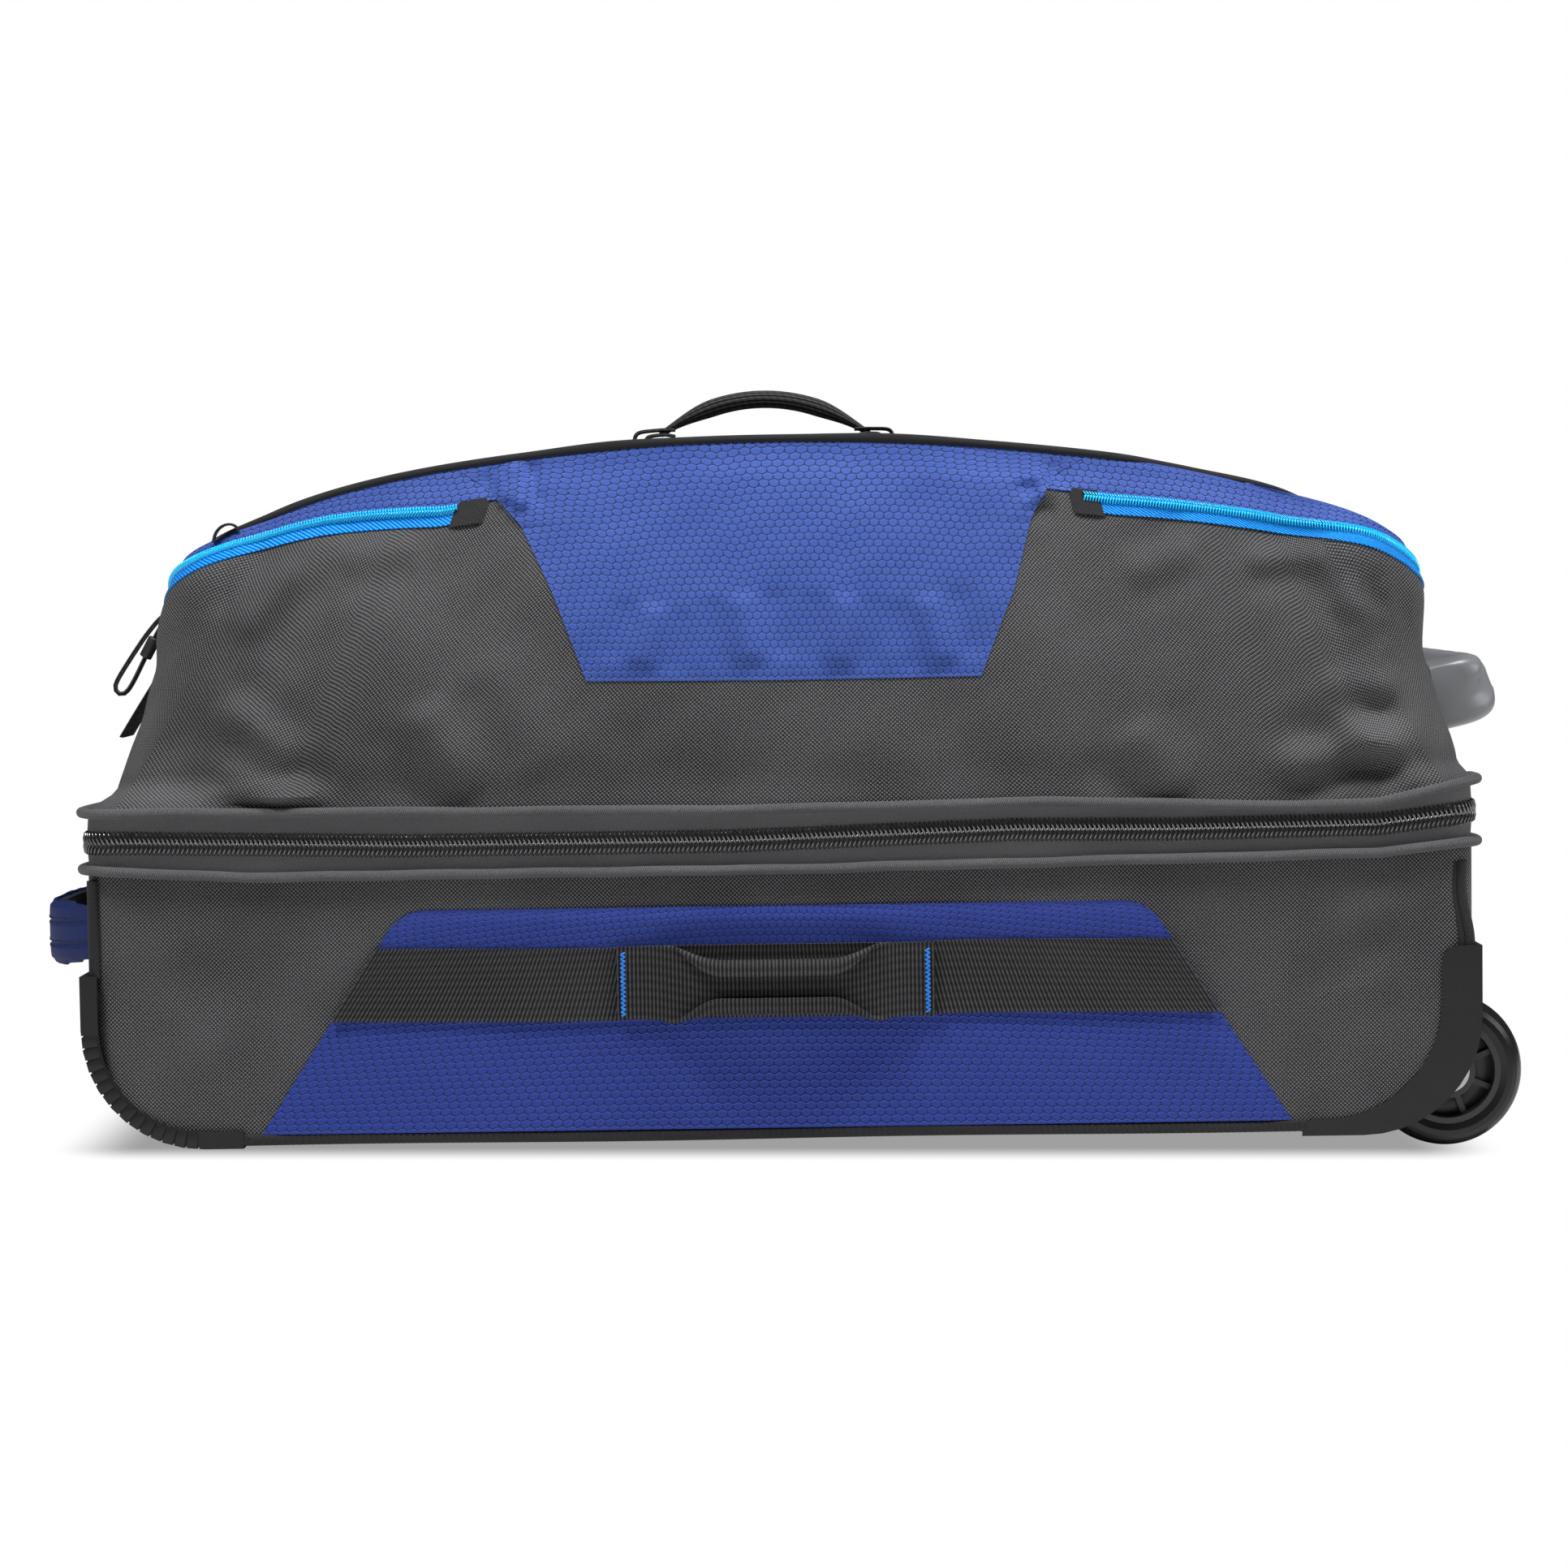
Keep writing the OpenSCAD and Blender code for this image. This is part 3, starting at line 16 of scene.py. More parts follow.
import bmesh
import bpy
import numpy as np
from mathutils import Matrix, Vector
from mathutils.bvhtree import BVHTree
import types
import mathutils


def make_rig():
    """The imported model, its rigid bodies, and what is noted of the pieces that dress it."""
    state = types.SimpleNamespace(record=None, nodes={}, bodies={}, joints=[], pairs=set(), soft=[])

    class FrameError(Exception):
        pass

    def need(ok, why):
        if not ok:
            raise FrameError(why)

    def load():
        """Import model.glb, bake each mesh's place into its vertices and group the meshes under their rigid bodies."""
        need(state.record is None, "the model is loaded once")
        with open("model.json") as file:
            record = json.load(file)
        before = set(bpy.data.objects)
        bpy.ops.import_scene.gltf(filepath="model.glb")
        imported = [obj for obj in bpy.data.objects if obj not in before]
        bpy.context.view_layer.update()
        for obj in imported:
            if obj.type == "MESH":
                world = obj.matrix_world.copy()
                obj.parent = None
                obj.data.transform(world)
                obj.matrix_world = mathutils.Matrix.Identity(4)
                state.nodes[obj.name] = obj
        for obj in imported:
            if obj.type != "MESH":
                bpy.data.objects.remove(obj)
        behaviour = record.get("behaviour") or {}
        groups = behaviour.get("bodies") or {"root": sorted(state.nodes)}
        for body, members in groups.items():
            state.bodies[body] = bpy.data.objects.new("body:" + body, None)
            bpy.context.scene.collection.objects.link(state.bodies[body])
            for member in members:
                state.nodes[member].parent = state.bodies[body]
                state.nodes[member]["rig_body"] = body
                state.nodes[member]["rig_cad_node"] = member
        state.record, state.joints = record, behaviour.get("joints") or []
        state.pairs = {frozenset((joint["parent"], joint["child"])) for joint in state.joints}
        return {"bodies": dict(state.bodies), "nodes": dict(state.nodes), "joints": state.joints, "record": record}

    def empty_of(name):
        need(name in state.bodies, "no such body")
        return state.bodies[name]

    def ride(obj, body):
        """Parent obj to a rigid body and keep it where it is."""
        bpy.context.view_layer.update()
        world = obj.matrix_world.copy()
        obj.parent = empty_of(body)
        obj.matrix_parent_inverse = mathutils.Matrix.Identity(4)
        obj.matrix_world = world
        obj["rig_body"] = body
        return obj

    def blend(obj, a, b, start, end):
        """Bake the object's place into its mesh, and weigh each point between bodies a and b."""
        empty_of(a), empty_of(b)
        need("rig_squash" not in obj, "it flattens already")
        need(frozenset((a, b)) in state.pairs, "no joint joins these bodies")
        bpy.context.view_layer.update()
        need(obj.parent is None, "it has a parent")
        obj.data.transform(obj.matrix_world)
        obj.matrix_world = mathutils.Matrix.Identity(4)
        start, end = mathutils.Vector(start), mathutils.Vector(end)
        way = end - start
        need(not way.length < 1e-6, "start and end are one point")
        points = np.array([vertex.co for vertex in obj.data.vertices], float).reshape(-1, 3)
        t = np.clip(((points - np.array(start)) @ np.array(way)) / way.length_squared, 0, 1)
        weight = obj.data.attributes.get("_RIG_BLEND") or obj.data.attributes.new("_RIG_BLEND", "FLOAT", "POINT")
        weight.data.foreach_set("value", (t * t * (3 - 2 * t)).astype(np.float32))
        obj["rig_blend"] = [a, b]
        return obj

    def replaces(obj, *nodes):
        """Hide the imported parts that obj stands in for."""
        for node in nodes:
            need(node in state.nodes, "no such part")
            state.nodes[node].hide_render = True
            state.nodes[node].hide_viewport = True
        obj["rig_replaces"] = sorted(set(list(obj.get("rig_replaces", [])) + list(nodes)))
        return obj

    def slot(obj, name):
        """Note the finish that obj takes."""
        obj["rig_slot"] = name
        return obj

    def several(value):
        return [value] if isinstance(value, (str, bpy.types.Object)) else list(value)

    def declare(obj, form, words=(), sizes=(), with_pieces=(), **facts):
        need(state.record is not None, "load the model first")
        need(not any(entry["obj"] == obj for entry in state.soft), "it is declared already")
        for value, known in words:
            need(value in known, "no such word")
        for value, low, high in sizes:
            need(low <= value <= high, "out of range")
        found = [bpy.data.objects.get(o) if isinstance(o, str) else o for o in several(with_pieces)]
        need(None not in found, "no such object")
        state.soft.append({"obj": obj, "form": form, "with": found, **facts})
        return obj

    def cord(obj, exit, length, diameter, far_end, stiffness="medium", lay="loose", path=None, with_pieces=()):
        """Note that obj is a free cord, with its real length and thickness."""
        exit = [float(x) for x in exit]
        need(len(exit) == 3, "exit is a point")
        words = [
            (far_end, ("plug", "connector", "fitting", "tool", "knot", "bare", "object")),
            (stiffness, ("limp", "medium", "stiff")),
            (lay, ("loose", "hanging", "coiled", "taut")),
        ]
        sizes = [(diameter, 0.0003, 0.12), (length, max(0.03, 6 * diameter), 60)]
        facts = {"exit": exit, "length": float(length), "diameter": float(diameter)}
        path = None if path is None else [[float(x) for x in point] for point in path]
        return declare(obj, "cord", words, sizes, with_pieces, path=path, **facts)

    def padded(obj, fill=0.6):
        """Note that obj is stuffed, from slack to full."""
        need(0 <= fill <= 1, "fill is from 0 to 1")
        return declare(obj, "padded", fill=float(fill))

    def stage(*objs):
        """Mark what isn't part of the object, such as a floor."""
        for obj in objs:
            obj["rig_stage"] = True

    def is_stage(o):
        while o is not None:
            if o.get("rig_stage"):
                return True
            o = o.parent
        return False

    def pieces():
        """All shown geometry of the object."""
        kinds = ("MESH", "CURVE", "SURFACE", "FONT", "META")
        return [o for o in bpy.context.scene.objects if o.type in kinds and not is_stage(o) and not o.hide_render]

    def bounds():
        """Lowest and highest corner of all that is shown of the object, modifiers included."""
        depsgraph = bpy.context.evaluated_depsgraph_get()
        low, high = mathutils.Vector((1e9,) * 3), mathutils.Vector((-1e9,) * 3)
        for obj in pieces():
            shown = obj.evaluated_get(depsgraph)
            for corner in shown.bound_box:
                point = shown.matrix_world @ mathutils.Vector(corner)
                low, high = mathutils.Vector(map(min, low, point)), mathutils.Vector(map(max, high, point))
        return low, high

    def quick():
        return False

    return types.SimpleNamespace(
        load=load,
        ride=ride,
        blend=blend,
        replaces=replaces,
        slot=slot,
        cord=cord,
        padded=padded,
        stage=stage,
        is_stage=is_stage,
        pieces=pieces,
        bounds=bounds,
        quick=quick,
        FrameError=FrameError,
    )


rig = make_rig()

LOG = logging.getLogger("duffel")
MM = 0.001
TILT = math.radians(0.839059)
ORIGIN = (15.35, 10.85, 4.42187)
FRAME_PX = 1568


@dataclass(frozen=True)
class Mark:
    """A named point of the photograph's frame, scaled to 1568 pixels.

    The piece that shows there has it at its middle, or at its furthest reach along way.
    """

    x: float
    y: float
    piece: str
    way: tuple[float, float] | None = None


EDGES = {"left": 47.1, "right": 1520.9, "top": 389.6, "bottom": 1149.2}
MARKS = {
    "top_handle_peak": Mark(765.6, 390.4, "top_handle_sleeve", (0, -1)),
    "left_zip_stop": Mark(471.6, 517.8, "zip_stop_left_front"),
    "right_zip_stop": Mark(1086.0, 504.0, "zip_stop_right_front"),
    "zip_loop": Mark(225.6, 529.2, "zip_end_loop"),
    "left_bartack": Mark(623.3, 983.7, "bartack_left"),
    "right_bartack": Mark(927.7, 982.0, "bartack_right"),
    "stand_foot": Mark(1459.1, 685.7, "stand_foot_moulding"),
    "wheel_sole": Mark(1444.1, 1144.3, "tyre_front", (0, 1)),
    "upper_panel_left": Mark(586.3, 681.5, "drop_panel_front", (-1, 2)),
    "upper_panel_right": Mark(981.2, 676.1, "drop_panel_front", (1, 2)),
    "lower_panel_left": Mark(261.3, 1134.6, "blue_panel_front", (-1, 1)),
    "lower_panel_right": Mark(1291.8, 1119.6, "blue_panel_front", (1, 1)),
    "guard_top": Mark(97.4, 976.3, "corner_guards", (0, -1)),
    "housing_top": Mark(1477.0, 944.7, "wheel_housing_front", (0, -1)),
    "housing_tip": Mark(1302.0, 1131.7, "wheel_housing_front", (-1, 0)),
}
Array = np.ndarray
Point = tuple[float, float, float]


# ---------- measures and places ----------
def lerp(a: Array | float, b: Array | float, t: Array | float) -> Array | float:
    """The value a share t of the way from a to b."""
    return a + (b - a) * t


def smooth(t: Array | float) -> Array | float:
    """An even step from 0 to 1 as t goes from 0 to 1."""
    t = np.clip(t, 0.0, 1.0)
    return t * t * (3 - 2 * t)


def hump(t: Array | float) -> Array | float:
    """A bell from 0 at t = -1 through 1 at t = 0 to 0 at t = 1."""
    return smooth(1 - np.abs(t))


def to_row(points: Array) -> Array:
    """Turns points of the bag's level frame, in millimetres, into the row frame, in metres.

    Args:
        points: An array whose last axis holds x, y and z.

    Returns:
        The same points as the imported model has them.
    """
    p = np.asarray(points, float)
    c, s = math.cos(TILT), math.sin(TILT)
    x = p[..., 0] * c - p[..., 2] * s + ORIGIN[0]
    z = p[..., 0] * s + p[..., 2] * c + ORIGIN[2]
    return np.stack([x, p[..., 1] + ORIGIN[1], z], -1) * MM


def to_bag(points: Array) -> Array:
    """Turns points of the row frame, in metres, into the bag's level frame, in millimetres."""
    p = np.asarray(points, float) / MM - np.array(ORIGIN)
    c, s = math.cos(TILT), math.sin(TILT)
    return np.stack([p[..., 0] * c + p[..., 2] * s, p[..., 1], -p[..., 0] * s + p[..., 2] * c], -1)


def row_point(x: float, y: float, z: float) -> Point:
    """One point of the bag's level frame as a row-frame tuple."""
    return tuple(float(v) for v in to_row(np.array([x, y, z])))


def srgb(red: int, green: int, blue: int) -> tuple[float, float, float, float]:
    """A screen colour as the linear colour that a shader takes."""
    def line(v: int) -> float:
        s = v / 255
        return s / 12.92 if s <= 0.04045 else ((s + 0.055) / 1.055) ** 2.4
    return (line(red), line(green), line(blue), 1.0)


# ---------- finishes ----------
class Board:
    """One material while its nodes are being wired."""

    def __init__(self, name: str) -> None:
        """Starts a material with a plain shader."""
        self.material = bpy.data.materials.new(name)
        self.material.use_nodes = True
        self.nodes = self.material.node_tree.nodes
        self.links = self.material.node_tree.links
        self.shader = self.nodes["Principled BSDF"]

    def feed(self, socket: bpy.types.NodeSocket, value: object) -> None:
        """Links a socket to another, or sets its value."""
        if isinstance(value, bpy.types.NodeSocket):
            self.links.new(value, socket)
        else:
            socket.default_value = value

    def add(self, kind: str, **inputs: object) -> bpy.types.Node:
        """Adds a node.

        Args:
            kind: The node's type without its ShaderNode prefix.
            inputs: Values or sockets for its inputs, by name with spaces as underscores.

        Returns:
            The new node.
        """
        node = self.nodes.new("ShaderNode" + kind)
        for key, value in inputs.items():
            self.feed(node.inputs[key.replace("_", " ")], value)
        return node

    def calc(self, op: str, a: object, b: object = 0.0, c: object = 0.0) -> bpy.types.NodeSocket:
        """One step of arithmetic on up to three values."""
        node = self.nodes.new("ShaderNodeMath")
        node.operation = op
        for i, value in enumerate((a, b, c)):
            self.feed(node.inputs[i], value)
        return node.outputs[0]

    def step(self, value: object, low: float, high: float) -> bpy.types.NodeSocket:
        """A soft step from 0 at low to 1 at high."""
        node = self.nodes.new("ShaderNodeMapRange")
        node.interpolation_type = "SMOOTHSTEP"
        for key, v in (("Value", value), ("From Min", low), ("From Max", high)):
            self.feed(node.inputs[key], v)
        return node.outputs[0]

    def mix(self, share: object, a: object, b: object) -> bpy.types.NodeSocket:
        """A colour a share of the way from a to b."""
        node = self.nodes.new("ShaderNodeMix")
        node.data_type = "RGBA"
        for i, value in ((0, share), (6, a), (7, b)):
            self.feed(node.inputs[i], value)
        return node.outputs[2]

    def where(self, by_uv: bool) -> bpy.types.NodeSocket:
        """The place on the piece, in metres: its cloth coordinates or its object's."""
        return self.add("TexCoord").outputs["UV" if by_uv else "Object"]

    def axes(self, vector: bpy.types.NodeSocket) -> tuple[bpy.types.NodeSocket, ...]:
        """The three numbers of a vector."""
        return tuple(self.add("SeparateXYZ", Vector=vector).outputs)

    def noise(self, vector: object, scale: float, detail: float = 3.0) -> bpy.types.NodeSocket:
        """Even noise from 0 to 1."""
        return self.add("TexNoise", Vector=vector, Scale=scale, Detail=detail).outputs[0]

    def bump(self, height: object, strength: float, distance: float,
             under: object = None) -> bpy.types.NodeSocket:
        """A normal raised by a height, over another normal where one is given."""
        node = self.add("Bump", Height=height, Strength=strength, Distance=distance)
        if under is not None:
            self.feed(node.inputs["Normal"], under)
        return node.outputs[0]

    def done(self, colour: object, roughness: object, normal: object = None,
             **plain: float) -> bpy.types.Material:
        """Joins the result to the shader and returns the material."""
        self.feed(self.shader.inputs["Base Color"], colour)
        self.feed(self.shader.inputs["Roughness"], roughness)
        if normal is not None:
            self.feed(self.shader.inputs["Normal"], normal)
        for key, value in plain.items():
            self.shader.inputs[key.replace("_", " ")].default_value = value
        return self.material


# The ripstop's cell, in metres, and a regular hexagon's height and slant for a width of 1
CELL_WIDE, CELL_HIGH = 0.0047, 0.0076
HEX_TALL, HEX_SLANT = 1.732, 0.866


class Weave(Enum):
    """How a cloth is woven."""

    PLAIN = "plain"
    HONEYCOMB = "honeycomb"
    RIBBED = "ribbed"
    SLANTED = "slanted"


@dataclass(frozen=True)
class Cloth:
    """A woven cloth, drawn in its cloth coordinates."""

    name: str
    colour: tuple[float, float, float, float]
    pale: tuple[float, float, float, float]
    weave: Weave = Weave.PLAIN
    pitch: float = 0.0021
    depth: float = 0.0003
    roughness: float = 0.72
    sheen: float = 0.04
    by_uv: bool = True
    contrast: float = 0.8

    def thread(self, board: Board, at: bpy.types.NodeSocket) -> bpy.types.NodeSocket:
        """The height of a thread, from 0 to 1."""
        u, v, w = board.axes(at)
        turn = 2 * math.pi / self.pitch
        if not self.by_uv:
            u = board.calc("ADD", u, w)
        if self.weave is Weave.RIBBED:
            across = board.calc("SINE", board.calc("MULTIPLY", u, turn))
            along = board.calc("SINE", board.calc("MULTIPLY", v, turn * 0.5))
            mixed = board.calc("MULTIPLY_ADD", along, 0.35, across)
        elif self.weave is Weave.SLANTED:
            slant = board.calc("MULTIPLY_ADD", v, 1.4, u)
            mixed = board.calc("SINE", board.calc("MULTIPLY", slant, turn))
        else:
            across = board.calc("SINE", board.calc("MULTIPLY", u, turn))
            along = board.calc("SINE", board.calc("MULTIPLY", v, turn))
            mixed = board.calc("MULTIPLY", across, along)
        return board.calc("MULTIPLY_ADD", mixed, 0.5, 0.5)

    def build(self) -> bpy.types.Material:
        """Wires the cloth.

        Returns:
            A material with its weave, its colour variation and its sheen.
        """
        board = Board(self.name)
        at = board.where(self.by_uv)
        thread = self.thread(board, at)
        slub = board.noise(at, 900.0, 4.0)
        blotch = board.noise(at, 14.0, 3.0)
        lit = board.step(thread, 0.42, 0.92)
        share = board.calc("MULTIPLY_ADD", slub, 0.5, board.calc("MULTIPLY", lit, self.contrast))
        share = board.calc("MULTIPLY_ADD", blotch, 0.3, board.calc("SUBTRACT", share, 0.34))
        share = board.calc("MAXIMUM", 0.0, board.calc("MINIMUM", share, 1.3))
        colour = board.mix(share, self.colour, self.pale)
        height = board.calc("MULTIPLY_ADD", slub, 0.5, thread)
        normal = board.bump(height, 0.6, self.depth)
        if self.weave is Weave.HONEYCOMB:
            colour, normal = self.honeycomb(board, at, colour, height)
        rough = board.calc("MULTIPLY_ADD", slub, 0.12, self.roughness - 0.06)
        return board.done(colour, rough, normal, Sheen_Weight=self.sheen,
                          Sheen_Roughness=0.5, Specular_IOR_Level=0.22)

    def honeycomb(self, board: Board, at: bpy.types.NodeSocket, colour: object,
                  height: object) -> tuple[bpy.types.NodeSocket, bpy.types.NodeSocket]:
        """Draws the ripstop cells: raised walls, with painted shade along each cell's lower walls, darker upright
        sides and a painted highlight along its upper walls.
        """
        u, v, _ = board.axes(at)

        def offset(axis: bpy.types.NodeSocket, pitch: float, shift: float
                   ) -> bpy.types.NodeSocket:
            """How far a place lies from its cell's middle, as a share of the pitch."""
            turns = board.calc("MULTIPLY_ADD", axis, 1 / pitch, shift + 0.5)
            return board.calc("SUBTRACT", board.calc("FRACT", turns), 0.5)
        near = [(offset(u, CELL_WIDE, shift),
                 board.calc("MULTIPLY", offset(v, CELL_HIGH, shift), HEX_TALL))
                for shift in (0.0, 0.5)]
        size = [board.calc("ADD", board.calc("MULTIPLY", a, a), board.calc("MULTIPLY", b, b))
                for a, b in near]
        first = board.calc("LESS_THAN", size[0], size[1])

        def pick(i: int) -> bpy.types.NodeSocket:
            """The nearer cell's own coordinate."""
            gap = board.calc("SUBTRACT", near[0][i], near[1][i])
            return board.calc("MULTIPLY_ADD", gap, first, near[1][i])
        a, b = pick(0), pick(1)
        side = board.calc("ABSOLUTE", a)
        slant = board.calc("ADD", board.calc("MULTIPLY", side, 0.5), board.calc(
            "MULTIPLY", board.calc("ABSOLUTE", b), HEX_SLANT))
        edge = board.calc("MAXIMUM", side, slant)
        wall = board.step(edge, 0.42, 0.49)
        upright = board.step(side, 0.42, 0.47)
        # Painted shade along each cell's lower walls, below the raised wall.
        below = board.calc("MULTIPLY", board.step(slant, 0.36, 0.44), board.calc(
            "LESS_THAN", b, 0.0))
        # Colours of the painted shade and the painted highlight; the near-black one also darkens the upright sides.
        dark = tuple(c * 0.08 for c in self.colour[:3]) + (1.0,)
        bright = tuple(min(1.0, c * 1.6) for c in self.pale[:3]) + (1.0,)
        shade = board.mix(below, colour, dark)
        shade = board.mix(board.calc("MULTIPLY", upright, 0.75), shade, dark)
        # Painted highlight along each cell's upper walls.
        lit = board.calc("MULTIPLY", board.step(slant, 0.3, 0.4), board.calc(
            "GREATER_THAN", b, 0.1))
        shade = board.mix(board.calc("MULTIPLY", lit, 0.3), shade, bright)
        raised = board.calc("MULTIPLY_ADD", wall, 2.0, board.calc("MULTIPLY", height, 0.5))
        return shade, board.bump(raised, 0.6, 0.0003)


@dataclass(frozen=True)
class Moulding:
    """A moulded plastic or rubber with a fine grain and pale scuffs."""

    name: str
    colour: tuple[float, float, float, float]
    roughness: float = 0.45
    grain: float = 0.00012
    scale: float = 1600.0
    shine: float = 0.5

    def build(self) -> bpy.types.Material:
        """Wires the moulding and returns its material."""
        board = Board(self.name)
        at = board.where(False)
        grain = board.noise(at, self.scale, 2.0)
        blotch = board.noise(at, 35.0, 4.0)
        scuff = board.step(board.noise(at, 160.0, 6.0), 0.6, 0.75)
        pale = tuple(min(1.0, c * 1.5 + 0.012) for c in self.colour[:3]) + (1.0,)
        colour = board.mix(board.calc("MULTIPLY", blotch, 0.45), self.colour, pale)
        colour = board.mix(board.calc("MULTIPLY", scuff, 0.18), colour, pale)
        rough = board.calc("MULTIPLY_ADD", blotch, 0.16, self.roughness - 0.08)
        rough = board.calc("MULTIPLY_ADD", scuff, 0.08, rough)
        return board.done(colour, rough, board.bump(grain, 0.5, self.grain),
                          Specular_IOR_Level=self.shine)


@dataclass(frozen=True)
class Metal:
    """A bare or coated metal, brushed along one axis."""

    name: str
    colour: tuple[float, float, float, float]
    roughness: float = 0.3
    metallic: float = 1.0
    along: int = 0

    def build(self) -> bpy.types.Material:
        """Wires the metal and returns its material."""
        board = Board(self.name)
        stretch = [900.0, 900.0, 900.0]
        stretch[self.along] = 12.0
        at = board.add("Mapping", Vector=board.where(False), Scale=tuple(stretch)).outputs[0]
        lines = board.noise(at, 1.0, 4.0)
        spots = board.noise(board.where(False), 60.0, 3.0)
        dark = tuple(c * 0.7 for c in self.colour[:3]) + (1.0,)
        colour = board.mix(board.calc("MULTIPLY", lines, 0.6), self.colour, dark)
        rough = board.calc("MULTIPLY_ADD", spots, 0.18, board.calc(
            "MULTIPLY_ADD", lines, 0.12, self.roughness - 0.13))
        return board.done(colour, rough, board.bump(lines, 0.25, 0.00005), Metallic=self.metallic)


CHARCOAL = Cloth("charcoal_cloth", srgb(20, 20, 22), srgb(124, 124, 126))
CHARCOAL_TOP = Cloth("charcoal_top_cloth", srgb(24, 24, 26), srgb(122, 122, 124))
BLUE = Cloth("blue_honeycomb", srgb(42, 68, 150), srgb(90, 120, 196), Weave.HONEYCOMB,
             pitch=0.0009, roughness=0.6, sheen=0.0, contrast=0.5)
# A darker copy of the same blue honeycomb for the lower panels: partly painted shade for the upright lower wall, which
# gets less top light, and partly the darker blue of those panels.
BLUE_LOW_SHADED = Cloth("blue_honeycomb_low_shaded", srgb(28, 46, 128), srgb(64, 88, 174), Weave.HONEYCOMB,
                  pitch=0.0009, roughness=0.6, sheen=0.0, contrast=0.5)
BLUE_PAD = Cloth("blue_pad_cloth", srgb(22, 34, 84), srgb(58, 76, 142), Weave.HONEYCOMB,
                 pitch=0.0009, roughness=0.65, sheen=0.0, contrast=0.5)
WEBBING = Cloth("black_webbing", srgb(5, 5, 6), srgb(74, 74, 76), Weave.RIBBED,
                pitch=0.0021, depth=0.0006, roughness=0.7)
TAPE = Cloth("black_tape", srgb(20, 20, 22), srgb(58, 58, 60), Weave.SLANTED,
             pitch=0.0016, depth=0.0004, roughness=0.75)
ZIP_TAPE = Cloth("zip_tape", srgb(70, 70, 72), srgb(128, 128, 130), Weave.SLANTED,
                 pitch=0.0012, depth=0.0002, roughness=0.75)
PIPING = Cloth("piping_cover", srgb(40, 40, 42), srgb(126, 126, 128), Weave.SLANTED,
               pitch=0.0016, depth=0.0004, roughness=0.6)
AZURE_TAPE = Cloth("azure_tape", srgb(0, 84, 206), srgb(0, 190, 255), Weave.SLANTED,
                   pitch=0.0026, depth=0.0007, roughness=0.6)
AZURE_THREAD = Cloth("azure_thread", srgb(6, 96, 214), srgb(70, 170, 250), Weave.SLANTED,
                     pitch=0.0012, roughness=0.55, by_uv=False)
NAVY_THREAD = Cloth("navy_thread", srgb(24, 34, 70), srgb(60, 74, 120), Weave.SLANTED, 0.0008)
LINING = Cloth("grey_lining", srgb(92, 93, 96), srgb(128, 129, 132), pitch=0.0009)
LINING_PAD = Cloth("black_lining", srgb(30, 30, 32), srgb(58, 58, 60), pitch=0.0012, by_uv=False)
AZURE_COIL = Moulding("azure_coil", srgb(20, 196, 255), 0.28, 0.00004, 900.0, 0.8)
DARK_COIL = Moulding("dark_coil", srgb(36, 36, 38), 0.16, 0.00002, 900.0, 1.5)
GUARD = Moulding("guard_plastic", srgb(20, 20, 21), 0.42, shine=0.3)
HOUSING = Moulding("housing_plastic", srgb(22, 22, 23), 0.36, shine=0.3)
HUB = Moulding("hub_plastic", srgb(34, 34, 35), 0.4)
TYRE = Moulding("tyre_rubber", srgb(16, 16, 17), 0.3, 0.00008, 700.0, 0.3)
FOOT = Moulding("foot_plastic", srgb(112, 113, 116), 0.34, 0.00008, 2200.0)
GRIP = Moulding("grip_rubber", srgb(34, 34, 35), 0.6)
BUTTON = Moulding("button_plastic", srgb(96, 97, 98), 0.4)
BOARD_SHEET = Moulding("board_sheet", srgb(78, 78, 80), 0.6, 0.0002, 500.0)
TUBE = Metal("anodised_tube", srgb(176, 178, 182), 0.34)
STEEL = Metal("bright_steel", srgb(186, 186, 188), 0.3, 1.0, 1)
GUNMETAL = Metal("dark_metal", srgb(60, 60, 62), 0.36, 0.85, 2)
FINISHES = (CHARCOAL, CHARCOAL_TOP, BLUE, BLUE_LOW_SHADED, BLUE_PAD, WEBBING, TAPE, ZIP_TAPE, PIPING,
            AZURE_TAPE, AZURE_THREAD, NAVY_THREAD, LINING, LINING_PAD, AZURE_COIL, DARK_COIL, GUARD,
            HOUSING, HUB, TYRE, FOOT, GRIP, BUTTON, BOARD_SHEET, TUBE, STEEL, GUNMETAL)


# ---------- the modeller's hands ----------
def only(*objects: bpy.types.Object) -> None:
    """Selects these objects alone and makes the first one active."""
    bpy.ops.object.select_all(action="DESELECT")
    for o in objects:
        o.select_set(True)
    bpy.context.view_layer.objects.active = objects[0]


def apply(piece: bpy.types.Object, kind: str, **settings: object) -> bpy.types.Object:
    """Adds one modifier, sets it and applies it.

    Args:
        piece: The piece that gets it.
        kind: Blender's name of the modifier.
        settings: The modifier's own settings.

    Returns:
        The piece.
    """
    only(piece)
    modifier = piece.modifiers.new(kind.lower(), kind)
    for key, value in settings.items():
        setattr(modifier, key, value)
    bpy.ops.object.modifier_apply(modifier=modifier.name)
    return piece


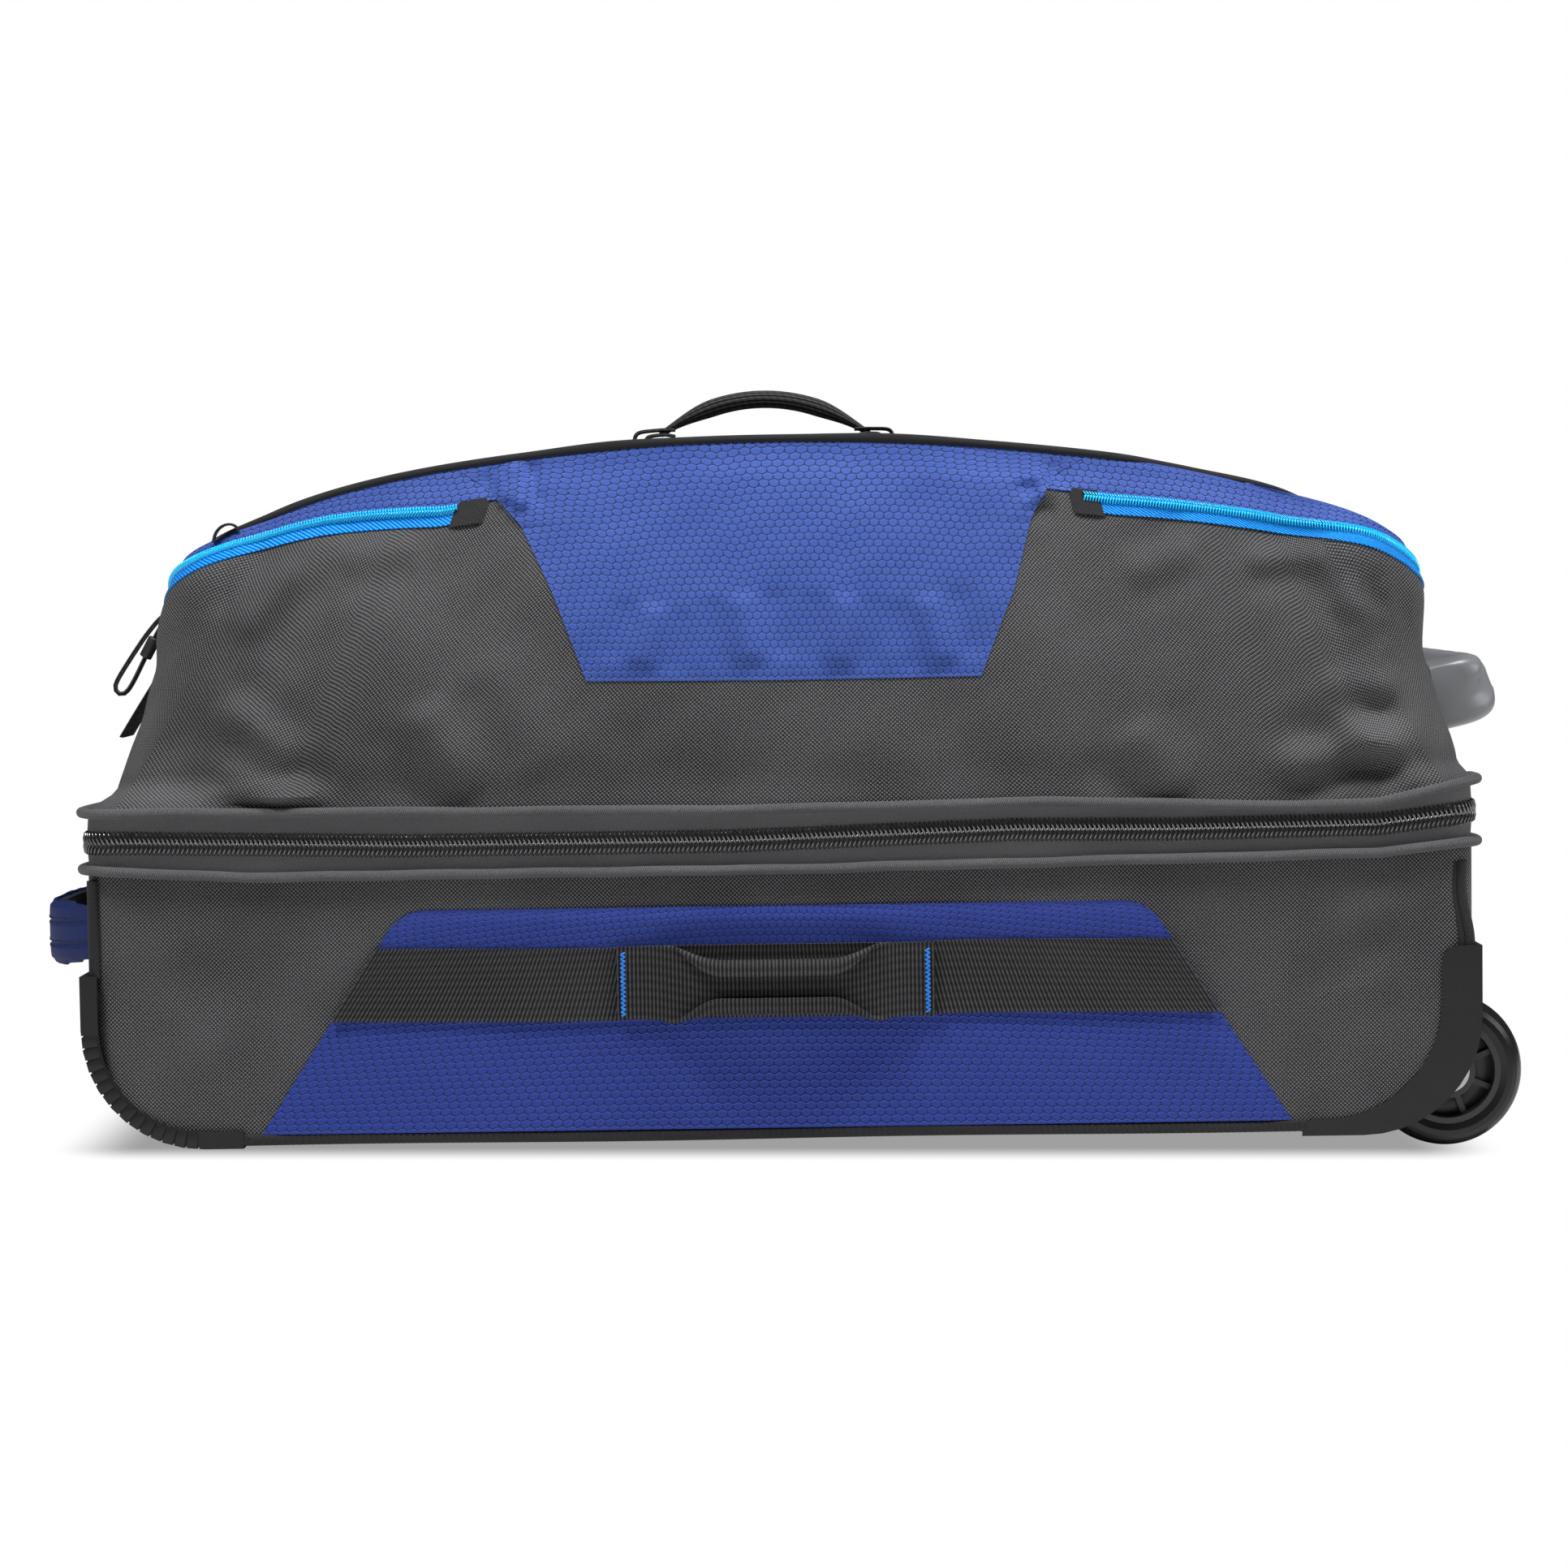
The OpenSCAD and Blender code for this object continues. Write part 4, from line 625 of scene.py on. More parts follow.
def build_mesh(name: str, points: Array, faces: Sequence[Sequence[int]],
               uv: Array | None = None) -> bpy.types.Object:
    """Makes an object from points in the bag's level frame.

    Args:
        name: The piece's name.
        points: Its points, in millimetres.
        faces: Its faces, as indices of the points.
        uv: One cloth coordinate for each corner of each face, in metres.

    Returns:
        The new object, which sits at the origin with its place in its mesh.
    """
    mesh = bpy.data.meshes.new(name)
    mesh.from_pydata(to_row(points).reshape(-1, 3).tolist(), [], faces)
    if uv is not None:
        layer = mesh.uv_layers.new(name="cloth")
        layer.data.foreach_set("uv", np.asarray(uv, np.float32).ravel())
    mesh.update()
    piece = bpy.data.objects.new(name, mesh)
    bpy.context.scene.collection.objects.link(piece)
    return piece


def lengths(points: Array, axis: int) -> Array:
    """Running length along one axis of a grid of points, starting from 0."""
    gaps = np.linalg.norm(np.diff(points, axis=axis), axis=-1)
    start = np.zeros_like(np.take(gaps, [0], axis=axis))
    return np.cumsum(np.concatenate([start, gaps], axis=axis), axis=axis)


def grid(name: str, points: Array, wrap: bool = False, caps: bool = False,
         wrap_rows: bool = False, holes: Array | None = None,
         panels: bool = False) -> bpy.types.Object:
    """Makes a sheet or a tube from rows of points.

    Args:
        name: The piece's name.
        points: Rows by columns by 3, in millimetres. Rows go up where columns run to the
            right as seen from outside.
        wrap: Joins the last column to the first.
        caps: Closes a tube's first and last row.
        wrap_rows: Joins the last row to the first.
        holes: Which of the faces, as rows by columns, are left out.
        panels: Lays the cloth as flat side panels with a strip round each end.

    Returns:
        The new object, with cloth coordinates in metres.
    """
    rows, cols = points.shape[:2]
    around = np.concatenate([points, points[:, :1]], 1) if wrap else points
    along = np.concatenate([around, around[:1]], 0) if wrap_rows else around
    u = np.broadcast_to(lengths(along, 1)[rows // 2], along.shape[:2])
    laid = np.stack([u, lengths(along, 0)], -1)
    height, width = along.shape[0] - 1, along.shape[1] - 1
    j, i = np.meshgrid(np.arange(height), np.arange(width), indexing="ij")
    corner = [(j, i), (j, i + 1), (j + 1, i + 1), (j + 1, i)]
    faces = np.stack([(a % rows) * cols + b % cols for a, b in corner], -1).reshape(-1, 4)
    uv = np.stack([laid[a, b] for a, b in corner], -2)
    if panels:
        strip = np.stack([along[..., 1], lengths(along[..., [0, 2]], 0)], -1)
        strip[..., 1] -= strip[-1:, :, 1]
        across, up = along[1:, 1:] - along[:-1, :-1], along[1:, :-1] - along[:-1, 1:]
        on_side = np.abs(unit(np.cross(across, up))[..., 1]) > 0.6
        sides, ends = (np.stack([cloth[a, b] for a, b in corner], -2)
                       for cloth in (along[..., [0, 2]], strip))
        uv = np.where(on_side[..., None, None], sides, ends)
    uv = uv.reshape(-1, 2) * MM
    if holes is not None:
        faces = faces[~holes.ravel()]
        uv = uv.reshape(-1, 4, 2)[~holes.ravel()].reshape(-1, 2)
    faces = faces.tolist()
    if caps:
        ends = [list(range(cols))[::-1], [(rows - 1) * cols + k for k in range(cols)]]
        faces += ends
        uv = np.concatenate([uv, np.zeros((2 * cols, 2))])
    return build_mesh(name, points.reshape(-1, 3), faces, uv)


def unit(v: Array) -> Array:
    """Vectors of length 1."""
    return v / np.maximum(np.linalg.norm(v, axis=-1, keepdims=True), 1e-9)


def even(path: Array, count: int, closed: bool = False) -> Array:
    """A path's points set at even distances along it, with whatever columns follow x, y, z."""
    p = np.concatenate([path, path[:1]]) if closed else path
    run = lengths(p[:, :3], 0)
    at = np.linspace(0, run[-1], count, endpoint=not closed)
    return np.stack([np.interp(at, run, p[:, k]) for k in range(p.shape[1])], -1)


def heading(path: Array, closed: bool = False) -> Array:
    """The direction of travel at each point of a path."""
    if closed:
        return unit(np.roll(path, -1, 0) - np.roll(path, 1, 0))
    return unit(np.gradient(path, axis=0))


def outward(piece: bpy.types.Object) -> bpy.types.Object:
    """Turns a closed piece's faces outwards."""
    mesh = bmesh.new()
    mesh.from_mesh(piece.data)
    bmesh.ops.recalc_face_normals(mesh, faces=mesh.faces[:])
    mesh.to_mesh(piece.data)
    mesh.free()
    return piece


def sweep(name: str, path: Array, up: Array, outline: Array, closed: bool = False
          ) -> bpy.types.Object:
    """Runs an outline along a path.

    Args:
        name: The piece's name.
        path: The points that it follows, in millimetres.
        up: The outline's second axis at each of them.
        outline: The outline's points as (side, up), or one outline for each point.
        closed: Joins the end to the start.

    Returns:
        The new object.
    """
    side = unit(np.cross(heading(path, closed), up))
    shape = np.broadcast_to(outline, (len(path),) + np.shape(outline)[-2:])
    points = path[:, None] + side[:, None] * shape[..., :1] + up[:, None] * shape[..., 1:2]
    return outward(grid(name, points, wrap=True, caps=not closed, wrap_rows=closed))


def thicken(piece: bpy.types.Object, depth: float, lined: bool = False) -> bpy.types.Object:
    """Gives a sheet a thickness inwards.

    Args:
        piece: The sheet.
        depth: The thickness, in millimetres.
        lined: Gives the inside its own material slot.

    Returns:
        The piece.
    """
    for _ in range(2 if lined else 1):
        piece.data.materials.append(None)
    return apply(piece, "SOLIDIFY", thickness=depth * MM, offset=-1.0,
                 material_offset=1 if lined else 0, material_offset_rim=0)


def oval(half_wide: float, half_thick: float, count: int = 12, power: float = 1.0) -> Array:
    """An oval outline, squarer for a smaller power."""
    a = np.linspace(0, 2 * math.pi, count, endpoint=False)
    c, s = np.cos(a), np.sin(a)
    return np.stack([half_wide * np.sign(c) * np.abs(c) ** power,
                     half_thick * np.sign(s) * np.abs(s) ** power], -1)


def repeated(name: str, places: Array, axes: Array, shape: Array, faces: Array
             ) -> bpy.types.Object:
    """Copies one small shape to many places in one mesh.

    Args:
        name: The piece's name.
        places: Where each copy sits, in millimetres.
        axes: The three axes of each copy.
        shape: The small shape's points.
        faces: Its faces, all with the same number of corners.

    Returns:
        The new object.
    """
    points = places[:, None] + np.einsum("kc,ncd->nkd", shape, axes)
    shift = (np.arange(len(places)) * len(shape))[:, None, None]
    return outward(build_mesh(name, points.reshape(-1, 3),
                              (np.asarray(faces)[None] + shift).reshape(-1, len(faces[0])).tolist()))


def tooth_shape(reach: float, height: float, pitch: float) -> tuple[Array, Array]:
    """One turn of a coil: a slanting bar that humps over from the tape to the middle.

    Args:
        reach: From the tape's edge to past the zip's middle, in millimetres.
        height: How high it stands.
        pitch: The distance between turns.

    Returns:
        Its points as (along, across, out), and its faces.
    """
    a = np.linspace(0, 2 * math.pi, 6, endpoint=False)
    stations = [(0.0, 0.15, 0.5), (0.12, 0.72, 0.85), (0.5, 1.0, 1.0), (0.86, 0.85, 1.25),
                (1.0, 0.3, 0.9)]
    rows = [[(math.cos(t) * pitch * 0.31 * wide + 0.44 * (y - 0.5) * reach, y * reach,
              (lift - 0.36 + 0.36 * math.sin(t)) * height) for t in a]
            for y, lift, wide in stations]
    points = np.array(rows).reshape(-1, 3)
    faces = [[j * 6 + i, j * 6 + (i + 1) % 6, (j + 1) * 6 + (i + 1) % 6, (j + 1) * 6 + i]
             for j in range(len(rows) - 1) for i in range(6)]
    last = (len(rows) - 1) * 6
    faces += [[3, 2, 1, 0], [5, 4, 3, 0], [last, last + 1, last + 2, last + 3],
              [last, last + 3, last + 4, last + 5]]
    return points, np.array(faces)


@dataclass(frozen=True)
class Seat:
    """What a piece rides on, its finish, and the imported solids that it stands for."""

    body: str
    slot: str
    finish: Cloth | Moulding | Metal
    stands_for: tuple[str, ...] = ()
    inside: Cloth | None = None


class Workshop:
    """Keeps the materials and sets finished pieces in their places."""

    def __init__(self) -> None:
        """Builds every finish once."""
        self.materials = {f.name: f.build() for f in FINISHES}
        self.count = 0

    def paint(self, piece: bpy.types.Object, *finishes: Cloth | Moulding | Metal) -> None:
        """Puts finishes in a piece's slots, the last of them in all that are left."""
        slots = piece.data.materials
        while len(slots) < len(finishes):
            slots.append(None)
        for i in range(len(slots)):
            slots[i] = self.materials[finishes[min(i, len(finishes) - 1)].name]

    def settle(self, piece: bpy.types.Object, seat: Seat, angle: float = 40.0,
               blend: tuple[str, str, Point, Point] | None = None) -> bpy.types.Object:
        """Paints a finished piece and ties it to the frame.

        Args:
            piece: The piece, with its place in its mesh.
            seat: What it rides on and stands for.
            angle: Edges flatter than this are shaded smooth, in degrees.
            blend: Two bodies and two points, where the piece bends between bodies.

        Returns:
            The piece.
        """
        only(piece)
        bpy.ops.object.shade_smooth_by_angle(angle=math.radians(angle))
        self.paint(piece, seat.finish, *((seat.inside,) if seat.inside else ()))
        if blend:
            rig.blend(piece, *blend)
        else:
            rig.ride(piece, seat.body)
        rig.slot(piece, seat.slot)
        if seat.stands_for:
            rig.replaces(piece, *seat.stands_for)
        self.count += 1
        LOG.info("%s: %d faces on %s", piece.name, len(piece.data.polygons), seat.body)
        return piece


class Lens:
    """The camera, and rays through the photograph's frame."""

    PLACE = (0.0154, -2.063, 0.302)
    LOOK_DOWN = 3.377
    LENS = 84.0
    SENSOR = 36.0

    def __init__(self) -> None:
        """Makes the camera and sets it as the scene's."""
        data = bpy.data.cameras.new("camera")
        data.lens, data.sensor_width, data.sensor_fit = self.LENS, self.SENSOR, "AUTO"
        self.camera = bpy.data.objects.new("camera", data)
        self.camera.location = self.PLACE
        self.camera.rotation_euler = (math.radians(90 - self.LOOK_DOWN), 0, 0)
        bpy.context.scene.collection.objects.link(self.camera)
        bpy.context.scene.camera = self.camera
        bpy.context.view_layer.update()

    def ray(self, x: float, y: float) -> tuple[Vector, Vector]:
        """The start and direction of the ray through a point of the 1568-pixel frame."""
        data, size = self.camera.data, FRAME_PX
        local = Vector((x - size / 2 + data.shift_x * size, size / 2 - y + data.shift_y * size,
                        -size * data.lens / data.sensor_width))
        matrix = self.camera.matrix_world
        return matrix.translation, (matrix.to_3x3() @ local).normalized()

    def seen(self, place: Vector | Sequence[float]) -> tuple[float, float]:
        """Where a row-frame point shows in the 1568-pixel frame."""
        data, size = self.camera.data, FRAME_PX
        p = self.camera.matrix_world.inverted() @ Vector(place)
        scale = size * data.lens / data.sensor_width / -p.z
        return (p.x * scale + size / 2 - data.shift_x * size,
                size / 2 - p.y * scale + data.shift_y * size)

    def place(self, x: float, y: float, *carriers: bpy.types.Object) -> tuple[Vector, Vector]:
        """Where a point of the frame meets what carries a piece.

        Args:
            x: The point's x in the 1568-pixel frame.
            y: Its y.
            carriers: The finished pieces that may carry it.

        Returns:
            The nearest hit and its normal, or the place nearest the ray on a miss.
        """
        start, way = self.ray(x, y)
        best = None
        for piece in carriers:
            tree = BVHTree.FromPolygons([v.co[:] for v in piece.data.vertices],
                                        [p.vertices[:] for p in piece.data.polygons])
            hit, normal, _, far = tree.ray_cast(start, way)
            if hit is None:
                step = (Vector(to_row(np.array([0.0, -150.0, 200.0]))) - start).dot(way)
                hit, normal, _, far = tree.find_nearest(start + way * step)
                far += 100.0
            if best is None or far < best[2]:
                best = (hit, normal, far)
        return best[0], best[1]


# ---------- the bag's form ----------
LONG, END, CORNER = 14, 4, 4
RING = 2 * (LONG + END) + 4 * CORNER
BACK_FROM = END + CORNER
LEFT_FROM = BACK_FROM + LONG + CORNER
FRONT_FROM = LEFT_FROM + END + CORNER


def plan(c: Array, left: Array | float, right: Array | float, half: Array | float,
         r_left: Array | float, r_right: Array | float) -> tuple[Array, Array]:
    """A rounded rectangle seen from above.

    Args:
        c: Places round it, from 0 to 52, counter-clockwise from the front of the wheel end.
        left: Its reach to the handle end.
        right: Its reach to the wheel end.
        half: Half its width.
        r_left: Its corner radius at the handle end.
        r_right: Its corner radius at the wheel end.

    Returns:
        Its x and y, in millimetres.
    """
    c = np.mod(c, RING)
    stretch = [(0, END), (END, CORNER), (BACK_FROM, LONG), (BACK_FROM + LONG, CORNER),
               (LEFT_FROM, END), (LEFT_FROM + END, CORNER), (FRONT_FROM, LONG),
               (FRONT_FROM + LONG, CORNER)]
    t = [(c - first) / count for first, count in stretch]
    inside = [(c >= first) & (c < first + count) for first, count in stretch]
    turn = [np.radians(90 * t[k]) for k in (1, 3, 5, 7)]
    zero = np.zeros_like(c)
    xs = [right + zero, right - r_right + r_right * np.cos(turn[0]),
          lerp(right - r_right, r_left - left, t[2]), r_left - left - r_left * np.sin(turn[1]),
          -left + zero, r_left - left - r_left * np.cos(turn[2]),
          lerp(r_left - left, right - r_right, t[6]), right - r_right + r_right * np.sin(turn[3])]
    ys = [lerp(r_right - half, half - r_right, t[0]), half - r_right + r_right * np.sin(turn[0]),
          half + zero, half - r_left + r_left * np.cos(turn[1]),
          lerp(half - r_left, r_left - half, t[4]), r_left - half - r_left * np.sin(turn[2]),
          -half + zero, r_right - half - r_right * np.cos(turn[3])]
    return np.select(inside, xs), np.select(inside, ys)


@dataclass
class BagForm:
    """The bag's main sizes, in millimetres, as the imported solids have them."""

    half_len: float = 361.5
    half_w: float = 181.5
    corner_r: float = 16.0
    lower_h: float = 142.0
    upper_z: float = 175.0
    zip_z: float = 158.5
    bottom_z: float = 3.0
    bottom_r: float = 60.0
    ridge_z: float = 364.0
    ridge_drop: float = 71.0
    lean: Point = (45.5, 26.5, 41.0)
    top_corner_r: float = 60.0
    lid_left: float = 286.0
    lid_right: float = 262.0
    lid_half: float = 133.5
    lid_corner_r: float = 55.0
    top_line: Sequence[Point] = ((-350, 0.4), (-277, 0), (0, -2), (143, 0), (268, -4), (310, -3),
                                 (352, 6.5), (362, 8))
    coil_line: Sequence[Point] = ((-341, 1.4), (-193, -2), (-25, -2), (122, 2), (206, 1),
                                  (310, 2), (352, 7), (362, 8))
    low_line: Sequence[Point] = ((-357, 4), (-278, -0.5), (2, -0.4), (310, 4), (354, 9),
                                 (362, 9))

    def ridge(self, x: Array | float) -> Array | float:
        """Height of the top edge."""
        s = np.minimum(1.02, np.abs(x) / np.where(np.asarray(x) < 0, 316.0, 335.0))
        return self.ridge_z - self.ridge_drop * (0.6 * s**2 + 0.4 * s**8)

    def drift(self, x: Array, y: Array, line: Sequence[Point]) -> Array:
        """How far a line round the bag strays up from level, on the front and its corners."""
        table = np.array(line)
        return np.interp(x, table[:, 0], table[:, 1]) * smooth((-y - 70) / 90)

    def fullness(self, x: Array, y: Array, v: Array) -> Array:
        """How far the stuffed end corners stand out of the plain wall, or sag into it."""
        end = smooth((np.abs(x) - 262) / 50)
        corner = smooth((np.abs(y) - 87) / 34)
        high = smooth((v - 0.6) / 0.28)
        low = smooth(v / 0.1) * (1 - smooth((v - 0.08) / 0.7))
        return end * (corner * high * 12.0 - low * np.where(x < 0, 11.0, 5.0))

    def wall(self, c: Array, v: Array, out: Array | float = 0.0) -> Array:
        """Points of the upper wall.

        Args:
            c: Places round the bag.
            v: Share of the way up, from 0 at the divider zip to 1 at the top edge.
            out: How far they lie outside the wall, in millimetres.

        Returns:
            The points.
        """
        c, v = np.broadcast_arrays(np.asarray(c, float), np.asarray(v, float))
        lean_l, lean_r, lean_s = self.lean
        r = lerp(self.corner_r, self.top_corner_r, v)
        left, right = self.half_len - lean_l * v, self.half_len - lean_r * v
        half = self.half_w - lean_s * v
        full = self.fullness(*plan(c, left, right, half, r, r), v)
        out = out + full
        x, y = plan(c, left + out, right + out, half + out, r + out, r + out)
        top_x, _ = plan(c, self.half_len - lean_l, self.half_len - lean_r,
                        self.half_w - lean_s, self.top_corner_r, self.top_corner_r)
        z = lerp(self.upper_z, self.ridge(top_x), v) + 0.45 * np.maximum(full, 0.0)
        z = z + self.drift(x, y, self.top_line) * (1 - smooth(v * 2.2))
        return np.stack([x, y, z], -1)

    def below(self, c: Array, drop: Array | float) -> Array:
        """The share of the way up that lies a drop below the top edge."""
        x, _ = plan(c, self.half_len - self.lean[0], self.half_len - self.lean[1],
                    self.half_w - self.lean[2], self.top_corner_r, self.top_corner_r)
        return 1 - drop / (self.ridge(x) - self.upper_z)

    def zip_drop(self, c: Array) -> Array:
        """How far the pocket zips' middle lies below the top edge."""
        x, y = plan(c, self.half_len - self.lean[0], self.half_len - self.lean[1],
                    self.half_w - self.lean[2], self.top_corner_r, self.top_corner_r)
        level = 12 + 14 * (1 - (x / self.half_len) ** 2)
        seen = np.interp(x, (-330, -311, -280, -228, -167, 172, 233, 284, 318, 345),
                         (13, 10, 11, 16, 24.5, 24, 20.5, 16, 12, 13))
        return lerp(level, seen, smooth((-y - 60) / 60))

    def ring(self, out: float, z: float, line: Sequence[Point], count: int = 720) -> Array:
        """A level line round the bag at the divider zip, as evenly spaced points."""
        c = np.linspace(0, RING, count * 2, endpoint=False)
        r = self.corner_r + out
        x, y = plan(c, self.half_len + out, self.half_len + out, self.half_w + out, r, r)
        path = np.stack([x, y, z + self.drift(x, y, line)], -1)
        return even(path, count, closed=True)

    def top(self, c: Array, inward: Array | float) -> Array:
        """Points of the top between its edge, at 0, and the lid's opening, at 1."""
        edge = self.wall(c, 1.0)
        x, y = plan(c, self.lid_left, self.lid_right, self.lid_half, 6.0, self.lid_corner_r)
        inner = np.stack([x, y, self.ridge(x)], -1)
        t = np.asarray(inward)[..., None]
        return lerp(edge, inner, t)


@dataclass(frozen=True)
class Fold:
    """A crease on both long sides, from one (x, z) to another in the bag's frame."""

    start: tuple[float, float]
    end: tuple[float, float]
    width: float
    height: float

    def rise(self, points: Array) -> Array:
        """How far the crease lifts each point: a ridge with a shallow valley beside it."""
        a, b = np.array(self.start), np.array(self.end)
        way = b - a
        flat = points[..., [0, 2]]
        t = np.clip(((flat - a) @ way) / (way @ way), 0, 1)
        far = np.linalg.norm(flat - a - t[..., None] * way, axis=-1)
        ends = smooth(4 * np.minimum(t, 1 - t) + 0.15)
        ridge = np.exp(-((far / self.width) ** 2))
        valley = np.exp(-(((far - 1.7 * self.width) / self.width) ** 2))
        on_side = smooth((np.abs(points[..., 1]) - 60) / 40)
        return self.height * ends * (ridge - 0.45 * valley) * on_side


def ripples(points: Array, seed: int, size: float, depth: float, waves: int = 9) -> Array:
    """Soft uneven swells of cloth.

    Args:
        points: Where they are wanted, in millimetres.
        seed: Which set of waves is drawn.
        size: The usual distance between swells.
        depth: The usual height.
        waves: How many waves are laid over each other.

    Returns:
        One height for each point.
    """
    draw = np.random.default_rng(seed)
    total = np.zeros(points.shape[:-1])
    for _ in range(waves):
        way = unit(draw.normal(size=3)) * 2 * math.pi / (size * draw.uniform(0.6, 2.0))
        total += np.sin(points @ way + draw.uniform(0, 7)) * draw.uniform(0.4, 1.0)
    return depth * total / math.sqrt(waves)


@dataclass
class Rims:
    """Pipings and coil zips, which both compartments have."""

    form: BagForm
    shop: Workshop

    def coil(self, name: str, path: Array, up: Array, size: Point, seat: Seat,
             closed: bool = False, halves: Sequence[int] = (-1, 1)) -> None:
        """The teeth of a coil zip along a path.

        Args:
            name: The piece's name.
            path: The zip's middle line.
            up: The direction across the zip, or one for each of its points.
            size: The coil's width, its height and the distance between turns.
            seat: What it rides on.
            closed: Whether the path runs round.
            halves: Which sides have teeth: 1 above the middle and -1 below.
        """
        width, height, pitch = size
        line = np.hstack([path, np.broadcast_to(up, path.shape)])
        whole = float(lengths(np.concatenate([path, path[:1]]) if closed else path, 0)[-1])
        line = even(line, int(whole / pitch), closed)
        places, across = line[:, :3], unit(line[:, 3:])
        along = heading(places, closed)
        out = unit(np.cross(along, across))
        for half in halves:
            shape, faces = tooth_shape(width * 0.62, height, pitch)
            edge = places + across * half * width / 2 + along * (pitch * 0.25 * half)
            axes = np.stack([along, -across * half, out], 1)
            label = name if len(halves) == 1 else f"{name}_{'upper' if half > 0 else 'lower'}"
            self.shop.settle(repeated(label, edge, axes, shape, faces), seat, 60)

    def piping(self, name: str, z: float, line: Sequence[Point], seat: Seat) -> None:
        """A covered cord that runs round the body, with a slight wander."""
        path = self.form.ring(2.9, z, line)
        path[:, 2] += ripples(path, int(z), 70, 0.35)
        up = np.broadcast_to([0.0, 0.0, 1.0], path.shape)
        self.shop.settle(sweep(name, path, up, oval(2.7, 2.7, 12), closed=True), seat, 60)

    def zip_half(self, name: str, way: int, tape_seat: Seat, coil_seat: Seat) -> None:
        """Half of the divider zip: a tape and its row of teeth.

        Args:
            name: The start of its pieces' names.
            way: 1 for the upper half and -1 for the lower.
            tape_seat: What the tape rides on.
            coil_seat: What the teeth ride on.
        """
        form = self.form
        edge = form.ring(-0.6, form.upper_z if way > 0 else form.lower_h,
                         form.top_line if way > 0 else form.low_line, 520)
        mid = form.ring(0.1, form.zip_z + way * 5.6, form.coil_line, 520)
        middle = form.ring(-0.6, form.zip_z + way * 0.2, form.coil_line, 520)
        tape = grid(f"{name}_tape", np.stack([edge, lerp(edge, mid, 0.55), mid, middle][::-way]),
                    wrap=True)
        thicken(tape, 1.6)
        self.shop.settle(tape, tape_seat)
        path = form.ring(0.3, form.zip_z, form.coil_line, 720)
        self.coil(f"{name}_teeth", path, np.array([0.0, 0.0, 1.0]), (12.2, 2.3, 2.4), coil_seat,
                  True, (way,))



